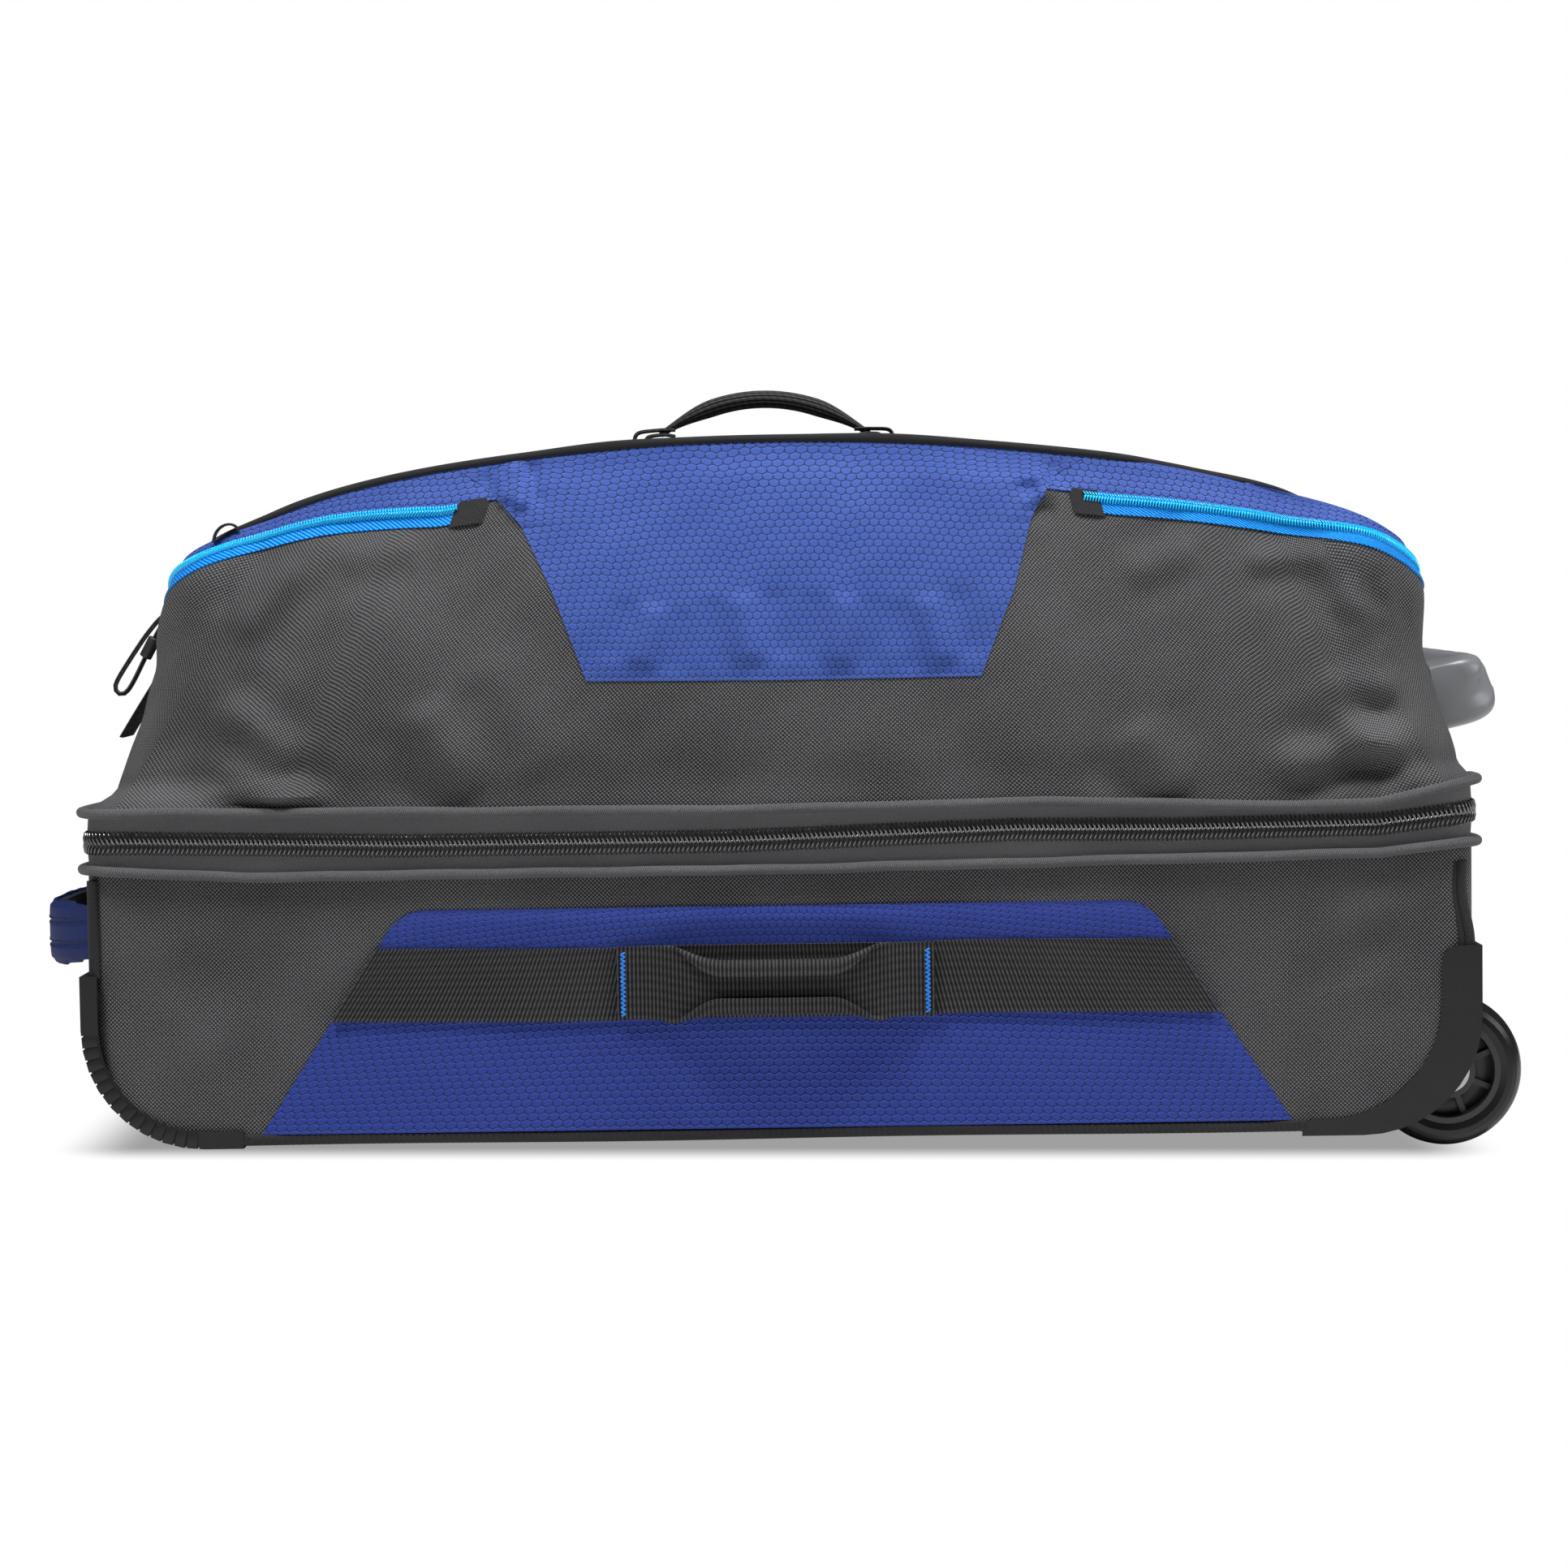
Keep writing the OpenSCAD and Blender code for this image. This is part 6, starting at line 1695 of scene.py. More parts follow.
    def edge_binding(self, side: int, end: int) -> None:
        """The bound upright seam at one corner, a flat cord folded over the edge."""
        low = 90.0 if end < 0 else 96.0
        z = np.linspace(low, self.form.lower_h - 1.5, 40)
        reach = self.form.half_len - self.form.corner_r * 0.25
        bend = smooth((z - low) / 44)
        x = end * (reach - 1.5 * bend * (end > 0) * 2.6) + (0.7 * np.sin(z / 7) if end > 0 else 0)
        y = np.full_like(z, side * (self.form.half_w - self.form.corner_r * 0.25 + 1.2))
        path = np.stack([np.broadcast_to(x, z.shape), y, z], -1)
        out = unit(np.array([end * 0.72, side * 0.72, 0.0]))
        name = f"edge_binding_{'front' if side < 0 else 'back'}_{'left' if end < 0 else 'right'}"
        for ply, wide, shift in (("outer", 3.3, 0.0), ("inner", 2.3, 4.4)):
            if ply == "inner" and end < 0:
                continue
            place = path + np.array([-end * shift, 0.0, 0.0])
            piece = sweep(f"{name}_{ply}", place, np.broadcast_to(out, path.shape),
                          oval(wide, 2.6, 14))
            nodes = ("edge_bindings",) if (side, end, ply) == (-1, -1, "outer") else ()
            self.shop.settle(piece, self.seat("black_piping", TAPE, *nodes), 60)

    def bottom_binding(self, side: int) -> None:
        """The ribbed tape along a long side's bottom edge."""
        x = np.linspace(-281, 272, 700)
        around = np.array([(0.0, 7.0), (1.6, 6.2), (2.0, 4.0), (1.9, 2.0), (0.6, 1.2), (-6.0, 1.4),
                           (-6.0, 2.4), (-0.4, 2.6)])
        ribs = 0.3 * np.sin(x * 2 * math.pi / 3.2)[:, None] * (around[:, 0] > 0.3)
        drop = 0.9 * np.sin(x / 47.0)[:, None] * 0.4
        y = side * (self.form.half_w + around[:, 0] + ribs + 0.4)
        z = around[:, 1] + drop - 0.1
        points = np.stack([np.broadcast_to(x[:, None], z.shape), y, z], -1)
        piece = outward(grid(f"bottom_binding_{'front' if side < 0 else 'back'}", points,
                             wrap=True, caps=True))
        self.shop.settle(piece, self.seat("black_piping", TAPE), 50)

    def tube_cover(self) -> None:
        """The grey cloth box over the pull-handle's tubes, with a bowed top."""
        left, right, half, low, high = -283.0, 90.0, 67.0, 10.2, 38.0
        t = np.linspace(0, 1, 80)[None]
        profile = np.array([(-1.0, 0.0), (-1.0, 0.5), (-0.985, 0.9), (-0.93, 1.0), (-0.5, 1.03),
                            (0.0, 1.04), (0.5, 1.03), (0.93, 1.0), (0.985, 0.9), (1.0, 0.5),
                            (1.0, 0.0)])
        run = np.linspace(0, 10, 61)
        y = np.interp(run, np.arange(11), profile[:, 0])[:, None] * half
        z = lerp(low, high, np.interp(run, np.arange(11), profile[:, 1]))[:, None]
        x = lerp(left, right, t)
        fall = smooth((1 - t) * 14)
        x, y, z = np.broadcast_arrays(x, y, low + (z - low) * lerp(0.1, 1.0, fall))
        points = np.stack([x, y, z + ripples(np.stack([x, y, z], -1), 71, 60, 0.5) * fall], -1)
        piece = grid("tube_cover_cloth", points[:, ::-1])
        thicken(piece, 1.5)
        self.shop.settle(piece, self.seat("lining_fabric", LINING, "tube_cover"))


# ---------- carry handles and pullers ----------
@dataclass
class CarryHandles:
    """The webbing handle on the front, the padded handle at the end and their stitches."""

    form: BagForm
    shop: Workshop
    lens: Lens
    side_x: float = 78.5
    side_y: float = -187.0
    side_z: float = 84.0
    side_bow: float = 19.0
    side_shift: float = -2.8
    half_wide: float = 19.0
    end_x: float = -364.0
    end_half: float = 92.0
    end_z: float = 106.0
    end_bow: float = 50.0
    pad_half: float = 18.5

    def build(self) -> None:
        """Builds both handles."""
        for side in (-1, 1):
            self.side_half(side)
            self.bartack(side)
        self.end_pad()

    def side_half(self, side: int) -> None:
        """Half of the front handle, whose edges curl over towards its middle."""
        s = np.linspace(0, 1, 84)[:, None]
        t = np.linspace(-1, 1, 45)[None]
        away = np.clip((s - 0.17) / 0.83, 0, 1)
        x = side * (self.side_x + 4) * (1 - s) + self.side_shift
        lift = self.side_bow * (1 - (1 - away) ** 2.6) * 0.5 + 1.2
        curl = smooth(away * 1.7)
        r = 1.5
        bend = lerp(self.half_wide + 1.5, 11.5, curl)
        wide = self.half_wide + 3.2 * curl
        past = np.maximum(np.abs(t) * wide - bend, 0)
        turned = np.minimum(past / r, math.pi * 0.97)
        beyond = np.maximum(past - r * math.pi * 0.97, 0)
        z = np.minimum(np.abs(t) * wide, bend) + r * np.sin(turned) - beyond
        out = r * (1 - np.cos(turned)) + beyond * 0.16
        droop = 1.6 * curl
        y = self.side_y + 0.4 - lift - out
        points = np.stack([np.broadcast_to(x, z.shape), np.broadcast_to(y, z.shape),
                           self.side_z + np.sign(t) * z - droop], -1)
        points = points.transpose(1, 0, 2)
        piece = grid(f"side_handle_{'left' if side < 0 else 'right'}",
                     points if side < 0 else points[:, ::-1])
        thicken(piece, 1.3)
        start = row_point(side * 74 + self.side_shift, self.side_y, self.side_z)
        end = row_point(side * 60 + self.side_shift, self.side_y, self.side_z)
        seat = Seat("side_handle_body", "black_webbing", WEBBING,
                    ("side_handle",) if side < 0 else ())
        self.shop.settle(piece, seat, 60, ("lower_body", "side_handle_body", start, end))

    def bartack(self, side: int) -> None:
        """A row of bright zigzag stitches that holds one end of the front handle."""
        count = 30
        z = np.linspace(self.side_z - 17, self.side_z + 16, count)
        flip = np.where(np.arange(count) % 2, 1.0, -1.0)
        mark = MARKS["left_bartack" if side < 0 else "right_bartack"]
        hit, _ = self.lens.place(mark.x, mark.y, bpy.data.objects["front_webbing"])
        x = float(to_bag(np.array(hit))[0]) + 1.1 * flip
        y = np.full(count, self.side_y - 1.5)
        path = even(np.stack([x, y, z], -1), count * 6)
        path[:, 1] -= 0.25 * np.abs(np.sin(np.linspace(0, math.pi * (count - 1), count * 6)))
        up = np.broadcast_to([0.0, -1.0, 0.0], path.shape)
        piece = sweep(f"bartack_{'left' if side < 0 else 'right'}", path, up, oval(0.5, 0.4, 8))
        self.shop.settle(piece, Seat("lower_body", "azure_coil", AZURE_THREAD), 60)

    def end_pad(self) -> None:
        """The padded end handle: a blown strip with two sewn channels and a dark lining."""
        s = np.linspace(0, 1, 90)
        arch = 1 - np.abs(2 * s - 1) ** 2.8
        path = np.stack([self.end_x - 2.0 - (self.end_bow - 8) * arch,
                         lerp(-self.end_half, self.end_half, s), self.end_z - 5 * arch], -1)
        out = unit(np.cross([0.0, 0.0, 1.0], heading(path)))
        tall = self.pad_half * lerp(0.8, 1.0, smooth(6 * np.minimum(s, 1 - s)))
        thick = lerp(2.0, 3.4, smooth(5 * np.minimum(s, 1 - s)))
        shapes = np.stack([oval(a, b, 40, 0.55) for a, b in zip(tall, thick)])
        pad = sweep("end_handle_pad", path, out, shapes)
        pad = inflate(pad, 2.4)
        press_lines(pad, path, out, (-6.2, 6.2, -16.0, 16.0), 1.1)
        seat = Seat("end_handle_body", "blue_ripstop", BLUE_PAD, ("end_handle",))
        self.shop.settle(pad, seat, 70)
        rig.padded(pad, 0.5)
        lining = sweep("end_handle_lining", path - out * 3.2, out,
                       np.stack([oval(a * 0.88, 1.6, 24, 0.4) for a in tall]))
        self.shop.settle(lining, Seat("end_handle_body", "black_webbing", LINING_PAD), 70)
        rows = []
        for level in (-8.0, -4.6, 4.6, 8.0):
            for k in np.arange(4, 86, 1.1):
                rows.append((k, level))
        at = np.array(rows)
        index = np.arange(len(path))
        centre = np.stack([np.interp(at[:, 0], index, path[:, i]) for i in range(3)], -1)
        way = np.stack([np.interp(at[:, 0], index, out[:, i]) for i in range(3)], -1)
        along = np.stack([np.interp(at[:, 0], index, heading(path)[:, i]) for i in range(3)], -1)
        self.stitches("end_handle_stitches", centre + [0, 0, 1] * at[:, 1:], along, way, pad)

    def stitches(self, name: str, places: Array, along: Array, out: Array,
                 carrier: bpy.types.Object) -> None:
        """Slanting stitches, each laid on its carrier.

        Args:
            name: The piece's name.
            places: Where they are, inside the carrier.
            along: The direction of each row.
            out: The way out of the carrier.
            carrier: The finished piece that they are sewn through.
        """
        tree = BVHTree.FromPolygons([v.co[:] for v in carrier.data.vertices],
                                    [p.vertices[:] for p in carrier.data.polygons])
        spots = []
        for p, o in zip(to_row(places), to_row(places + out * 30)):
            hit = tree.ray_cast(Vector(o), (Vector(p) - Vector(o)).normalized())[0]
            spots.append(to_bag(np.array(hit if hit is not None else p)))
        slant = unit(along + np.array([0.0, 0.0, 0.9]))
        axes = np.stack([slant, unit(np.cross(out, slant)), out], 1)
        a = np.linspace(0, 2 * math.pi, 6, endpoint=False)
        ring = np.stack([np.zeros(6), np.cos(a) * 0.32, np.sin(a) * 0.3], -1)
        shape = np.concatenate([ring * k + [x, 0, 0.12] for x, k in
                                ((-0.95, 0.3), (-0.5, 1.0), (0.5, 1.0), (0.95, 0.3))])
        faces = [[j * 6 + i, j * 6 + (i + 1) % 6, (j + 1) * 6 + (i + 1) % 6, (j + 1) * 6 + i]
                 for j in range(3) for i in range(6)]
        piece = repeated(name, np.array(spots), axes, shape, np.array(faces))
        self.shop.settle(piece, Seat(carrier["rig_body"], "blue_ripstop", NAVY_THREAD), 60)


def inflate(piece: bpy.types.Object, cap: float) -> bpy.types.Object:
    """Blows a closed piece up as cloth, and keeps every point within reach of its start.

    Args:
        piece: The closed piece.
        cap: How far a point may move, in millimetres.

    Returns:
        The piece, remeshed and blown up.
    """
    apply(piece, "REMESH", mode="VOXEL", voxel_size=2.6 * MM)
    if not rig.quick():
        start = np.array([v.co[:] for v in piece.data.vertices])
        only(piece)
        cloth = piece.modifiers.new("cloth", "CLOTH")
        cloth.settings.use_pressure = True
        cloth.settings.uniform_pressure_force = 4.0
        cloth.settings.effector_weights.gravity = 0.0
        cloth.settings.quality = 5
        scene = bpy.context.scene
        for frame in range(1, 21):
            scene.frame_set(frame)
        bpy.ops.object.modifier_apply(modifier=cloth.name)
        scene.frame_set(1)
        now = np.array([v.co[:] for v in piece.data.vertices])
        move = now - start
        far = np.linalg.norm(move, axis=1, keepdims=True)
        now = start + move * np.minimum(1.0, cap * MM / np.maximum(far, 1e-9))
        piece.data.vertices.foreach_set("co", now.astype(np.float32).ravel())
        piece.data.update()
    return apply(piece, "SUBSURF", levels=1)


def press_lines(piece: bpy.types.Object, path: Array, out: Array, levels: Sequence[float],
                depth: float) -> None:
    """Presses sewn lines into a pad that runs along a path.

    Args:
        piece: The pad.
        path: Its middle line, in millimetres.
        out: The way out of its face.
        levels: How far above the middle line each sewn line runs.
        depth: How deep the lines are.
    """
    points = to_bag(np.array([v.co[:] for v in piece.data.vertices]))
    near = np.argmin(np.linalg.norm(points[:, None, :2] - path[None, :, :2], axis=-1), axis=1)
    side = np.einsum("ij,ij->i", points - path[near], out[near])
    high = points[:, 2] - path[near, 2]
    total = sum(hump((high - level) / 1.8) for level in levels)
    moved = points - out[near] * (np.sign(side) * total * depth)[:, None]
    piece.data.vertices.foreach_set("co", to_row(moved).astype(np.float32).ravel())
    piece.data.update()


@dataclass
class ZipEnds:
    """The black tapes over the pocket zips' ends and the cord puller at the handle end."""

    form: BagForm
    shop: Workshop
    upper: UpperBody
    lens: Lens
    cord_d: float = 2.6
    eye: Point = (-0.317355, 0.01085 - 0.084, 0.279184)
    route: Sequence[tuple[float, float]] = (
        (0.0, 0.0), (-7.0, -5.0), (-14.5, -14.0), (-21.5, -24.0), (-27.5, -33.0), (-31.5, -39.5),
        (-32.2, -43.0), (-30.0, -45.8), (-26.6, -45.6), (-24.0, -42.5), (-20.5, -36.5),
        (-16.5, -28.5), (-12.4, -20.5), (-8.0, -12.0), (-3.8, -5.0), (-0.6, -0.6))

    def build(self) -> None:
        """Builds the tapes and the puller."""
        for end, half in (("left", 8.5), ("right", 8.0)):
            mark = MARKS[f"{end}_zip_stop"]
            hit, _ = self.lens.place(mark.x, mark.y, bpy.data.objects["upper_walls"])
            x = float(to_bag(np.array(hit))[0])
            for front, side in ((True, "front"), (False, "back")):
                self.garage(f"zip_stop_{end}_{side}", x - half, x + half, front)
        self.puller()

    def garage(self, name: str, left: float, right: float, front: bool) -> None:
        """A short black tape sewn over the end of a pocket zip."""
        x = np.linspace(left, right, 20)[None]
        if not front:
            x = x[:, ::-1]
        across = np.linspace(-7.0, 6.2, 12)[:, None]
        c = self.upper.side_place(x, np.full_like(x, 0.88), front)
        cc, drop = np.broadcast_arrays(c, self.form.zip_drop(c) - across)
        v = self.form.below(cc, drop)
        base = self.form.wall(cc, v)
        rim = smooth(5 * np.minimum(np.linspace(0, 1, 20)[None], 1 - np.linspace(0, 1, 20)[None]))
        points = self.form.wall(cc, v, self.upper.relief(base, cc, v) + lerp(0.9, 1.7, rim))
        piece = grid(name, points)
        thicken(piece, 1.2)
        self.shop.settle(piece, Seat("upper_body", "black_piping", TAPE))

    def puller(self) -> None:
        """A long loop of thin cord through the slider's eye, with a small black toggle."""
        eye = to_bag(np.array(self.eye))
        flat = np.array(self.route)
        path = eye + np.stack([flat[:, 0], np.linspace(-0.9, 0.9, len(flat)), flat[:, 1]], -1)
        for _ in range(2):
            path = even(path, 60)
            path[1:-1] = (path[:-2] + 2 * path[1:-1] + path[2:]) / 4
        path = even(path, 40)
        up = np.broadcast_to([0.0, 1.0, 0.0], path.shape)
        cord = sweep("cord_puller", path, up, oval(self.cord_d / 2, self.cord_d / 2, 12))
        seat = Seat("pocket_pull_left_body", "black_webbing", WEBBING, ("pocket_pull_left",))
        self.shop.settle(cord, seat, 60)
        length = float(lengths(path, 0)[-1]) * MM
        toggle = self.toggle(path[31], unit(path[33] - path[29]))
        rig.cord(cord, exit=tuple(to_row(path[0])), length=length, diameter=self.cord_d * MM,
                far_end="object", stiffness="limp", lay="hanging",
                path=[tuple(p) for p in to_row(path)], with_pieces=[toggle])

    def toggle(self, centre: Array, along: Array) -> bpy.types.Object:
        """A moulded toggle that grips both strands, with a rim at each end."""
        bpy.ops.object.select_all(action="DESELECT")
        bpy.ops.mesh.primitive_cylinder_add(vertices=32, radius=3.4 * MM, depth=11.0 * MM,
                                            location=row_point(*centre))
        piece = bpy.context.object
        piece.name = "puller_toggle"
        piece.rotation_euler = Vector(along).to_track_quat("Z", "Y").to_euler()
        bpy.ops.object.transform_apply(location=True, rotation=True, scale=True)
        bpy.ops.object.mode_set(mode="EDIT")
        bpy.ops.mesh.select_mode(type="FACE")
        bpy.ops.mesh.select_all(action="DESELECT")
        bpy.ops.object.mode_set(mode="OBJECT")
        for face in piece.data.polygons:
            face.select = len(face.vertices) > 4
        bpy.ops.object.mode_set(mode="EDIT")
        bpy.ops.mesh.inset(thickness=1.1 * MM, depth=0.7 * MM)
        bpy.ops.mesh.inset(thickness=0.6 * MM, depth=-0.9 * MM)
        bpy.ops.object.mode_set(mode="OBJECT")
        apply(piece, "BEVEL", width=0.35 * MM, segments=2, limit_method="ANGLE")
        self.shop.settle(piece, Seat("pocket_pull_left_body", "slider_metal", HUB), 50)
        return piece
# ---------- small hard pieces ----------
@dataclass
class HardDetails:
    """The corner guards' rib blocks and the wheels' closed webs."""

    shop: Workshop
    corner: tuple[float, float] = (-301.5, 63.0)
    rib_count: int = 14
    rib_step: float = 6.0
    rib_from: float = 186.0
    rib_r: tuple[float, float] = (54.5, 62.3)
    rib_size: tuple[float, float] = (1.6, 5.6)
    face_y: float = 184.5
    wheel: Point = (347.0, 166.4, 30.5)
    web_r: tuple[float, float] = (15.0, 25.2)

    def build(self) -> None:
        """Builds both guards' ribs and both wheels' webs."""
        for side, name in ((-1, "front"), (1, "back")):
            self.ribs(side, name)
            self.web(side, name)

    def ribs(self, side: int, name: str) -> None:
        """Raised blocks round a corner guard's bend."""
        blocks = []
        for i in range(self.rib_count):
            turn = math.radians(self.rib_from + self.rib_step * i)
            reach = sum(self.rib_r) / 2
            place = row_point(self.corner[0] + reach * math.cos(turn), side * self.face_y,
                              self.corner[1] + reach * math.sin(turn))
            bpy.ops.mesh.primitive_cube_add(size=1, location=place,
                                            rotation=(0.0, -turn - TILT, 0.0))
            block = bpy.context.object
            deep, wide = self.rib_size
            block.scale = ((self.rib_r[1] - self.rib_r[0]) * MM, deep * MM, wide * MM)
            bpy.ops.object.transform_apply(location=True, rotation=True, scale=True)
            blocks.append(block)
        only(*blocks)
        bpy.ops.object.join()
        piece = bpy.context.object
        piece.name = f"guard_ribs_{name}"
        apply(piece, "BEVEL", width=0.5 * MM, segments=2, limit_method="ANGLE")
        self.shop.settle(piece, Seat("lower_body", "black_moulding", GUARD), 40)

    def web(self, side: int, name: str) -> None:
        """The thin disc that closes a wheel behind its spokes."""
        place = row_point(self.wheel[0], side * self.wheel[1], self.wheel[2])
        bpy.ops.mesh.primitive_circle_add(vertices=72, radius=self.web_r[1] * MM, location=place,
                                          rotation=(math.pi / 2, 0.0, 0.0))
        piece = bpy.context.object
        piece.name = f"wheel_web_{name}"
        bpy.ops.object.transform_apply(location=False, rotation=True, scale=True)
        bpy.ops.object.mode_set(mode="EDIT")
        bpy.ops.mesh.select_all(action="SELECT")
        inner = self.web_r[0] / self.web_r[1]
        bpy.ops.mesh.extrude_edges_move()
        bpy.ops.transform.resize(value=(inner, 1.0, inner), center_override=place)
        bpy.ops.object.mode_set(mode="OBJECT")
        bpy.ops.object.transform_apply(location=True, rotation=True, scale=True)
        apply(piece, "SOLIDIFY", thickness=2.0 * MM, offset=0.0)
        outward(piece)
        apply(piece, "BEVEL", width=0.4 * MM, segments=2, limit_method="ANGLE")
        self.shop.settle(piece, Seat(f"wheel_{name}", "wheel_hub", HUB), 40)
# ---------- how true the image points are ----------
@dataclass
class PointCheck:
    """Measures how far each named thing shows from its point of the photograph."""

    lens: Lens
    slack: float = 0.0025
    sample: int = 900

    def corners(self, piece: bpy.types.Object) -> tuple[Array, Array]:
        """A finished piece's vertices and where they show."""
        graph = bpy.context.evaluated_depsgraph_get()
        mesh = piece.evaluated_get(graph).to_mesh()
        points = np.empty(len(mesh.vertices) * 3)
        mesh.vertices.foreach_get("co", points)
        matrix = np.array(piece.matrix_world)
        points = points.reshape(-1, 3) @ matrix[:3, :3].T + matrix[:3, 3]
        place = np.array(self.lens.camera.matrix_world.inverted())
        local = points @ place[:3, :3].T + place[:3, 3]
        data, size = self.lens.camera.data, FRAME_PX
        scale = size * data.lens / data.sensor_width / -local[:, 2]
        return points, np.stack([local[:, 0] * scale + size / 2 - data.shift_x * size,
                                 size / 2 - local[:, 1] * scale + data.shift_y * size], -1)

    def in_view(self, point: Array) -> bool:
        """Whether nothing stands between the camera and a point."""
        start = self.lens.camera.matrix_world.translation
        way = Vector(point) - start
        graph = bpy.context.evaluated_depsgraph_get()
        return not bpy.context.scene.ray_cast(graph, start, way.normalized(),
                                              distance=way.length - self.slack)[0]

    def found(self, mark: Mark) -> tuple[float, float] | None:
        """Where the thing that a mark names shows in the frame."""
        piece = bpy.data.objects.get(mark.piece)
        if piece is None:
            return None
        points, seen = self.corners(piece)
        if mark.way:
            order = np.argsort(-(seen @ np.array(mark.way, float)))[:self.sample]
            first = next((k for k in order if self.in_view(points[k])), None)
            return None if first is None else tuple(seen[first])
        step = max(1, len(points) // self.sample)
        shown = [seen[k] for k in range(0, len(points), step) if self.in_view(points[k])]
        if not shown:
            return None
        return tuple((np.min(shown, 0) + np.max(shown, 0)) / 2)

    def write(self, path: str) -> None:
        """Writes every offset, and nothing where a thing isn't in view."""
        bag = [o for o in bpy.data.objects if o.type == "MESH" and o.name != "studio_floor"
               and not o.hide_render]
        seen = np.concatenate([self.corners(o)[1] for o in bag])
        low, high = seen.min(0), seen.max(0)
        edges = {"left": low[0], "right": high[0], "top": low[1], "bottom": high[1]}
        offsets = {name: round(float(edges[name] - at), 1) for name, at in EDGES.items()}
        for name, mark in MARKS.items():
            place = self.found(mark)
            offsets[name] = None if place is None else [round(float(place[0] - mark.x), 1),
                                                        round(float(place[1] - mark.y), 1)]
        with open(path, "w") as out:
            json.dump(offsets, out, indent=1)
        LOG.info("points: %s", offsets)




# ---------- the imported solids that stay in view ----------
@dataclass
class Hardware:
    """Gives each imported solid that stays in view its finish."""

    nodes: dict[str, bpy.types.Object]
    shop: Workshop
    finishes: dict[Cloth | Moulding | Metal, Sequence[str]] = field(default_factory=lambda: {
        BOARD_SHEET: ("base_board",),
        GUARD: ("corner_guards", "skid_rails", "handle_housing", "tube_bracket", "latch_blocks"),
        HOUSING: ("wheel_housing_front", "wheel_housing_back"),
        HUB: ("hub_front", "hub_back", "middle_collars"),
        TYRE: ("tyre_front", "tyre_back"),
        GRIP: ("grip_base", "grip_cover"),
        BUTTON: ("release_button",),
        TUBE: ("outer_tubes", "middle_tubes", "inner_tubes"),
        STEEL: ("axles", "screws", "bearings_front", "bearings_back", "release_rods",
                "latch_pins"),
        FOOT: ("stand_foot",),
        LINING: ("tube_cover", "divider_panel"),
        CHARCOAL: ("lower_shell", "upper_shell", "lid"),
        BLUE: ("lower_panels", "yoke", "drop_panels"),
        BLUE_PAD: ("end_handle",),
        WEBBING: ("webbing_band", "end_webbing", "top_handle", "side_handle"),
        PIPING: ("lower_piping", "upper_piping", "edge_bindings"),
        DARK_COIL: ("lower_zip_half", "upper_zip_half", "lid_zip_outer", "lid_zip_inner"),
        AZURE_TAPE: ("pocket_zip_left", "pocket_zip_right"),
    })

    rounded: Sequence[tuple[str, float]] = (
        ("wheel_housing_front", 1.2), ("wheel_housing_back", 1.2), ("corner_guards", 0.5),
        ("handle_housing", 0.6), ("skid_rails", 0.8), ("grip_cover", 0.8), ("hub_front", 0.4),
        ("hub_back", 0.4), ("tyre_front", 1.2), ("tyre_back", 1.2), ("release_button", 0.5))

    def build(self) -> None:
        """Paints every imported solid, and the sliders and pulls in dark metal."""
        for name, width in self.rounded:
            bevel = self.nodes[name].modifiers.new("soft_edge", "BEVEL")
            bevel.width, bevel.segments, bevel.limit_method = width * MM, 2, "ANGLE"
            bevel.angle_limit = math.radians(35)
            bevel.harden_normals = False
        for finish, names in self.finishes.items():
            for name in names:
                self.paint(self.nodes[name], finish)
        for name, piece in self.nodes.items():
            if "_slider_" in name or "_pull_" in name:
                self.paint(piece, GUNMETAL)

    def paint(self, piece: bpy.types.Object, finish: Cloth | Moulding | Metal) -> None:
        """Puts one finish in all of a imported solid's slots."""
        material = self.shop.materials[finish.name]
        if not piece.material_slots:
            piece.data.materials.append(material)
        for slot in piece.material_slots:
            slot.material = material


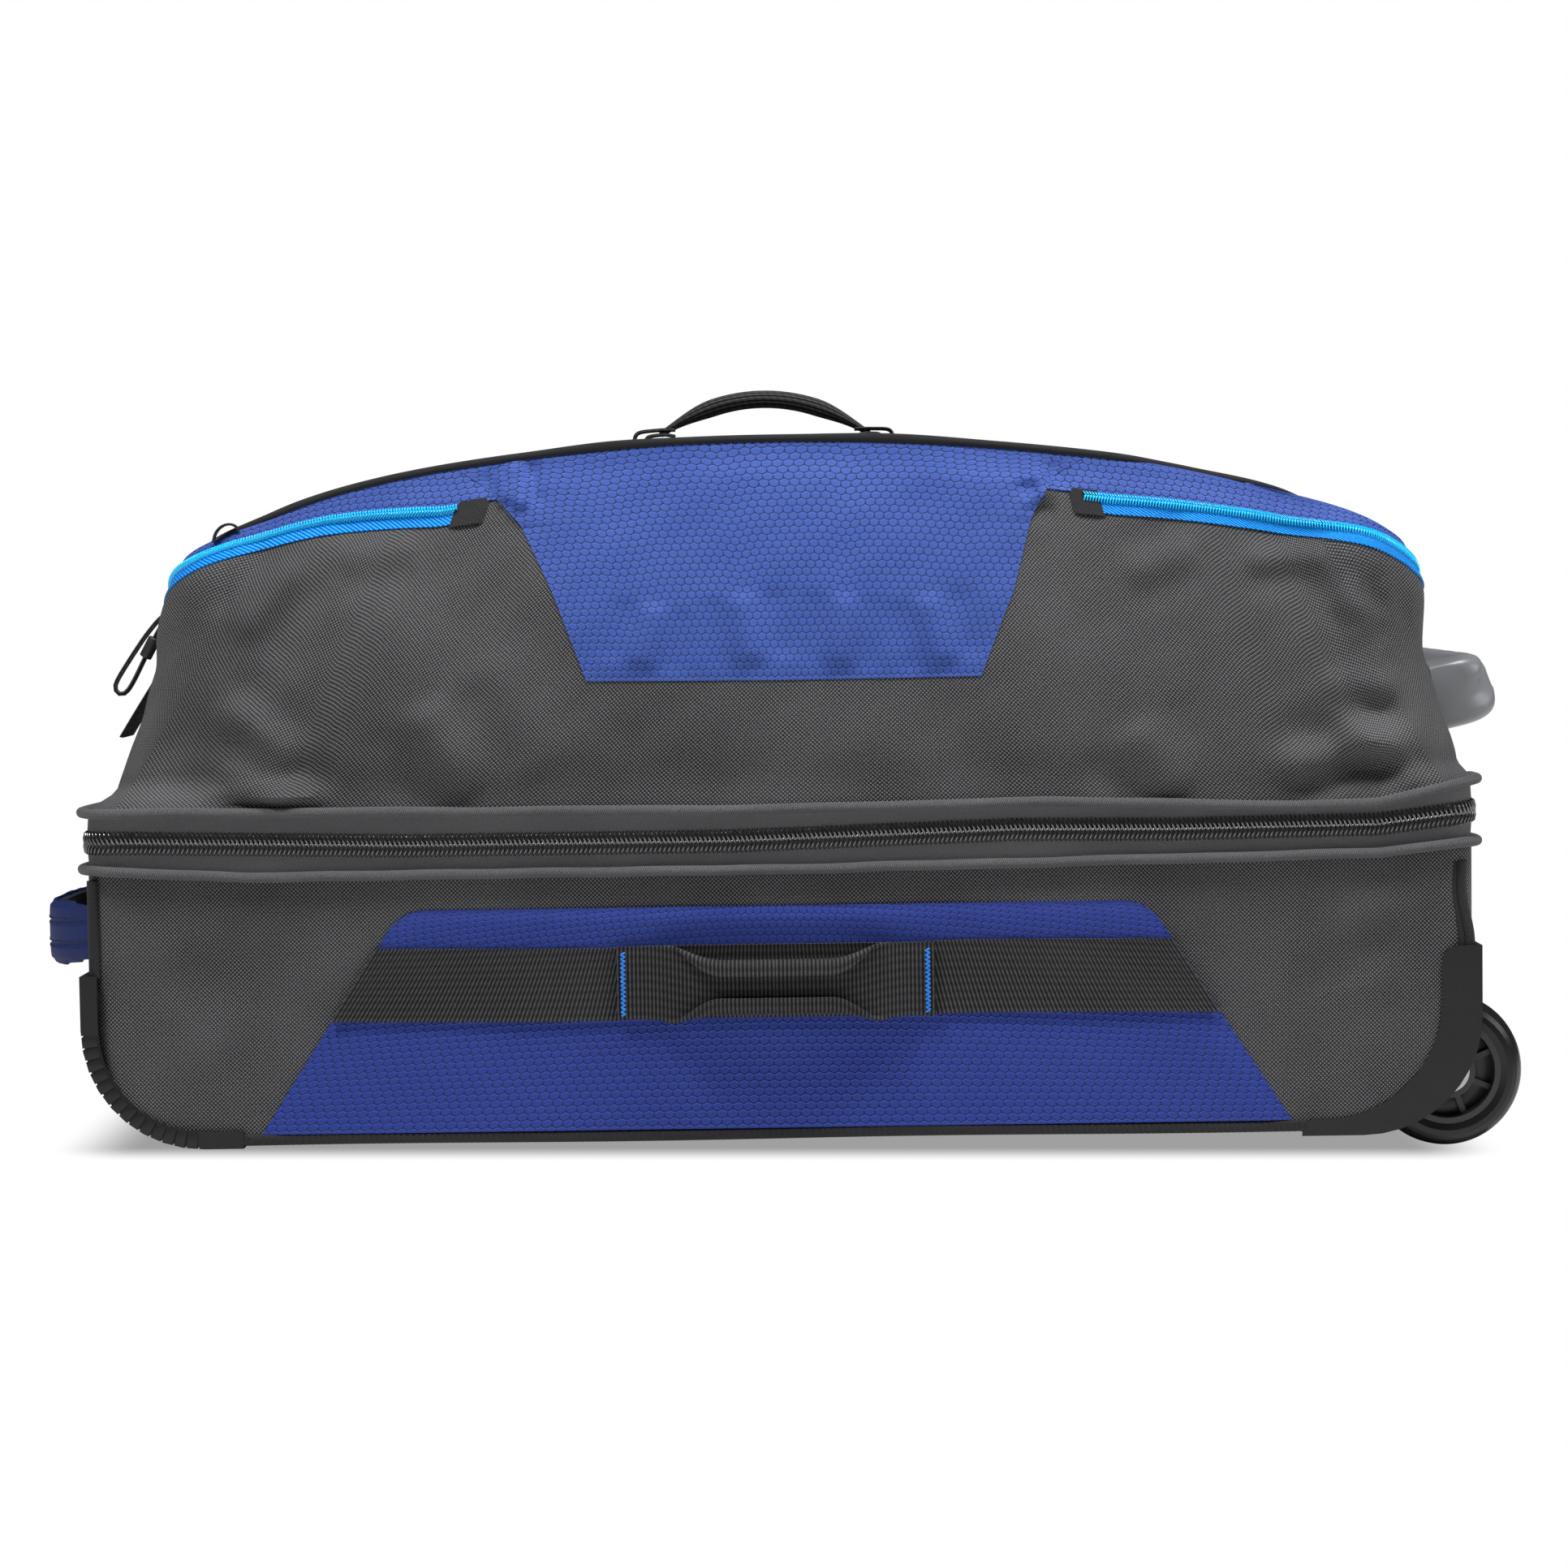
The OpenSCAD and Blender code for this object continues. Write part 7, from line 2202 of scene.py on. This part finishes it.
# ---------- the studio ----------
@dataclass
class Studio:
    """A white floor with a painted contact shadow round the bag, and soft lamps."""

    floor_z: float = 0.0
    size: float = 14.0
    lamps: Sequence[tuple[str, Point, Point, float, float]] = (
        ("key_lamp", (-1.1, -0.9, 2.4), (-0.1, 0.0, 0.15), 0.6, 54.0),
        ("fill_lamp", (2.3, -0.8, 1.2), (0.0, 0.0, 0.15), 0.8, 12.0),
        ("top_lamp", (0.9, -0.6, 2.5), (0.1, 0.0, 0.2), 0.7, 60.0))
    world: float = 0.06

    def build(self) -> None:
        """Builds the floor, the lamps and the world."""
        self.floor()
        for name, place, target, size, power in self.lamps:
            data = bpy.data.lights.new(name, "AREA")
            data.size, data.energy = size, power
            lamp = bpy.data.objects.new(name, data)
            lamp.location = place
            way = Vector(target) - Vector(place)
            lamp.rotation_euler = way.to_track_quat("-Z", "Y").to_euler()
            bpy.context.scene.collection.objects.link(lamp)
        world = bpy.data.worlds.new("studio")
        world.use_nodes = True
        nodes, links = world.node_tree.nodes, world.node_tree.links
        nodes.clear()
        path = nodes.new("ShaderNodeLightPath")
        seen = nodes.new("ShaderNodeMath")
        seen.operation = "MAXIMUM"
        links.new(path.outputs["Is Camera Ray"], seen.inputs[0])
        links.new(path.outputs["Is Transmission Ray"], seen.inputs[1])
        level = nodes.new("ShaderNodeMapRange")
        level.inputs["To Min"].default_value = self.world
        level.inputs["To Max"].default_value = 1.0
        links.new(seen.outputs[0], level.inputs["Value"])
        back = nodes.new("ShaderNodeBackground")
        back.inputs["Color"].default_value = (1.0, 1.0, 1.0, 1.0)
        links.new(level.outputs[0], back.inputs["Strength"])
        out = nodes.new("ShaderNodeOutputWorld")
        links.new(back.outputs[0], out.inputs["Surface"])
        bpy.context.scene.world = world
        bpy.context.scene.view_settings.view_transform = "Standard"

    def floor(self) -> None:
        """A wide floor that the camera sees white, with a painted contact shadow in grey round the bag's footprint."""
        half = self.size / 2
        mesh = bpy.data.meshes.new("studio_floor")
        z = self.floor_z
        mesh.from_pydata([(-half, -half, z), (half, -half, z), (half, half, z), (-half, half, z)],
                         [], [(0, 1, 2, 3)])
        floor = bpy.data.objects.new("studio_floor", mesh)
        bpy.context.scene.collection.objects.link(floor)
        board = Board("floor_white_painted_shadow")
        x, y, _ = board.axes(board.where(False))
        ax = board.calc("SUBTRACT", board.calc("ABSOLUTE", board.calc("SUBTRACT", x, 0.012)), 0.33)
        ay = board.calc("SUBTRACT", board.calc("ABSOLUTE", board.calc("SUBTRACT", y, 0.011)), 0.175)
        far = board.calc("SQRT", board.calc("ADD", board.calc("POWER", board.calc(
            "MAXIMUM", ax, 0.0), 2.0), board.calc("POWER", board.calc("MAXIMUM", ay, 0.0), 2.0)))
        # Painted contact shadow: grey over the bag's footprint, fading to white within 5 cm of it.
        shade = board.mix(board.step(far, 0.0, 0.05), (0.35, 0.35, 0.35, 1), (1, 1, 1, 1))
        tree = board.material.node_tree
        # The camera sees the floor's emission, white with the painted shadow; other rays see a plain grey floor.
        glow = board.add("Emission", Color=shade, Strength=1.0)
        paths = board.add("LightPath").outputs
        seen = board.calc("MAXIMUM", paths["Is Camera Ray"], paths["Is Transmission Ray"])
        choice = tree.nodes.new("ShaderNodeMixShader")
        board.done((0.8, 0.8, 0.8, 1.0), 0.9)
        tree.links.new(seen, choice.inputs[0])
        tree.links.new(board.shader.outputs[0], choice.inputs[1])
        tree.links.new(glow.outputs[0], choice.inputs[2])
        out = next(n for n in tree.nodes if n.type == "OUTPUT_MATERIAL")
        tree.links.new(choice.outputs[0], out.inputs["Surface"])
        mesh.materials.append(board.material)
        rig.stage(floor)


def main() -> None:
    """Loads the frame, builds each sub-assembly in turn and writes the image points and the extents."""
    logging.basicConfig(level=logging.INFO, format="%(name)s: %(message)s")
    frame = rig.load()
    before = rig.bounds()
    lens = Lens()
    shop = Workshop()
    form = BagForm()
    rims = Rims(form, shop)
    Hardware(frame["nodes"], shop).build()
    upper = UpperBody(form, shop, rims, lens)
    for part in (LowerBody(form, shop, rims), upper, Lid(form, shop, rims),
                 CarryHandles(form, shop, lens), ZipEnds(form, shop, upper, lens), HardDetails(shop)):
        LOG.info("building %s", type(part).__name__)
        part.build()
    Studio().build()
    bpy.context.view_layer.update()
    LOG.info("%d new pieces", shop.count)
    PointCheck(lens).write("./points.json")
    with open("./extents.json", "w") as out:
        json.dump({"cad": plain(before), "visual": plain(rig.bounds())}, out)


def plain(value: Iterable) -> list:
    """Nested vectors as nested lists of numbers."""
    return [plain(v) if hasattr(v, "__len__") else float(v) for v in value]


if __name__ == "__main__":
    main()
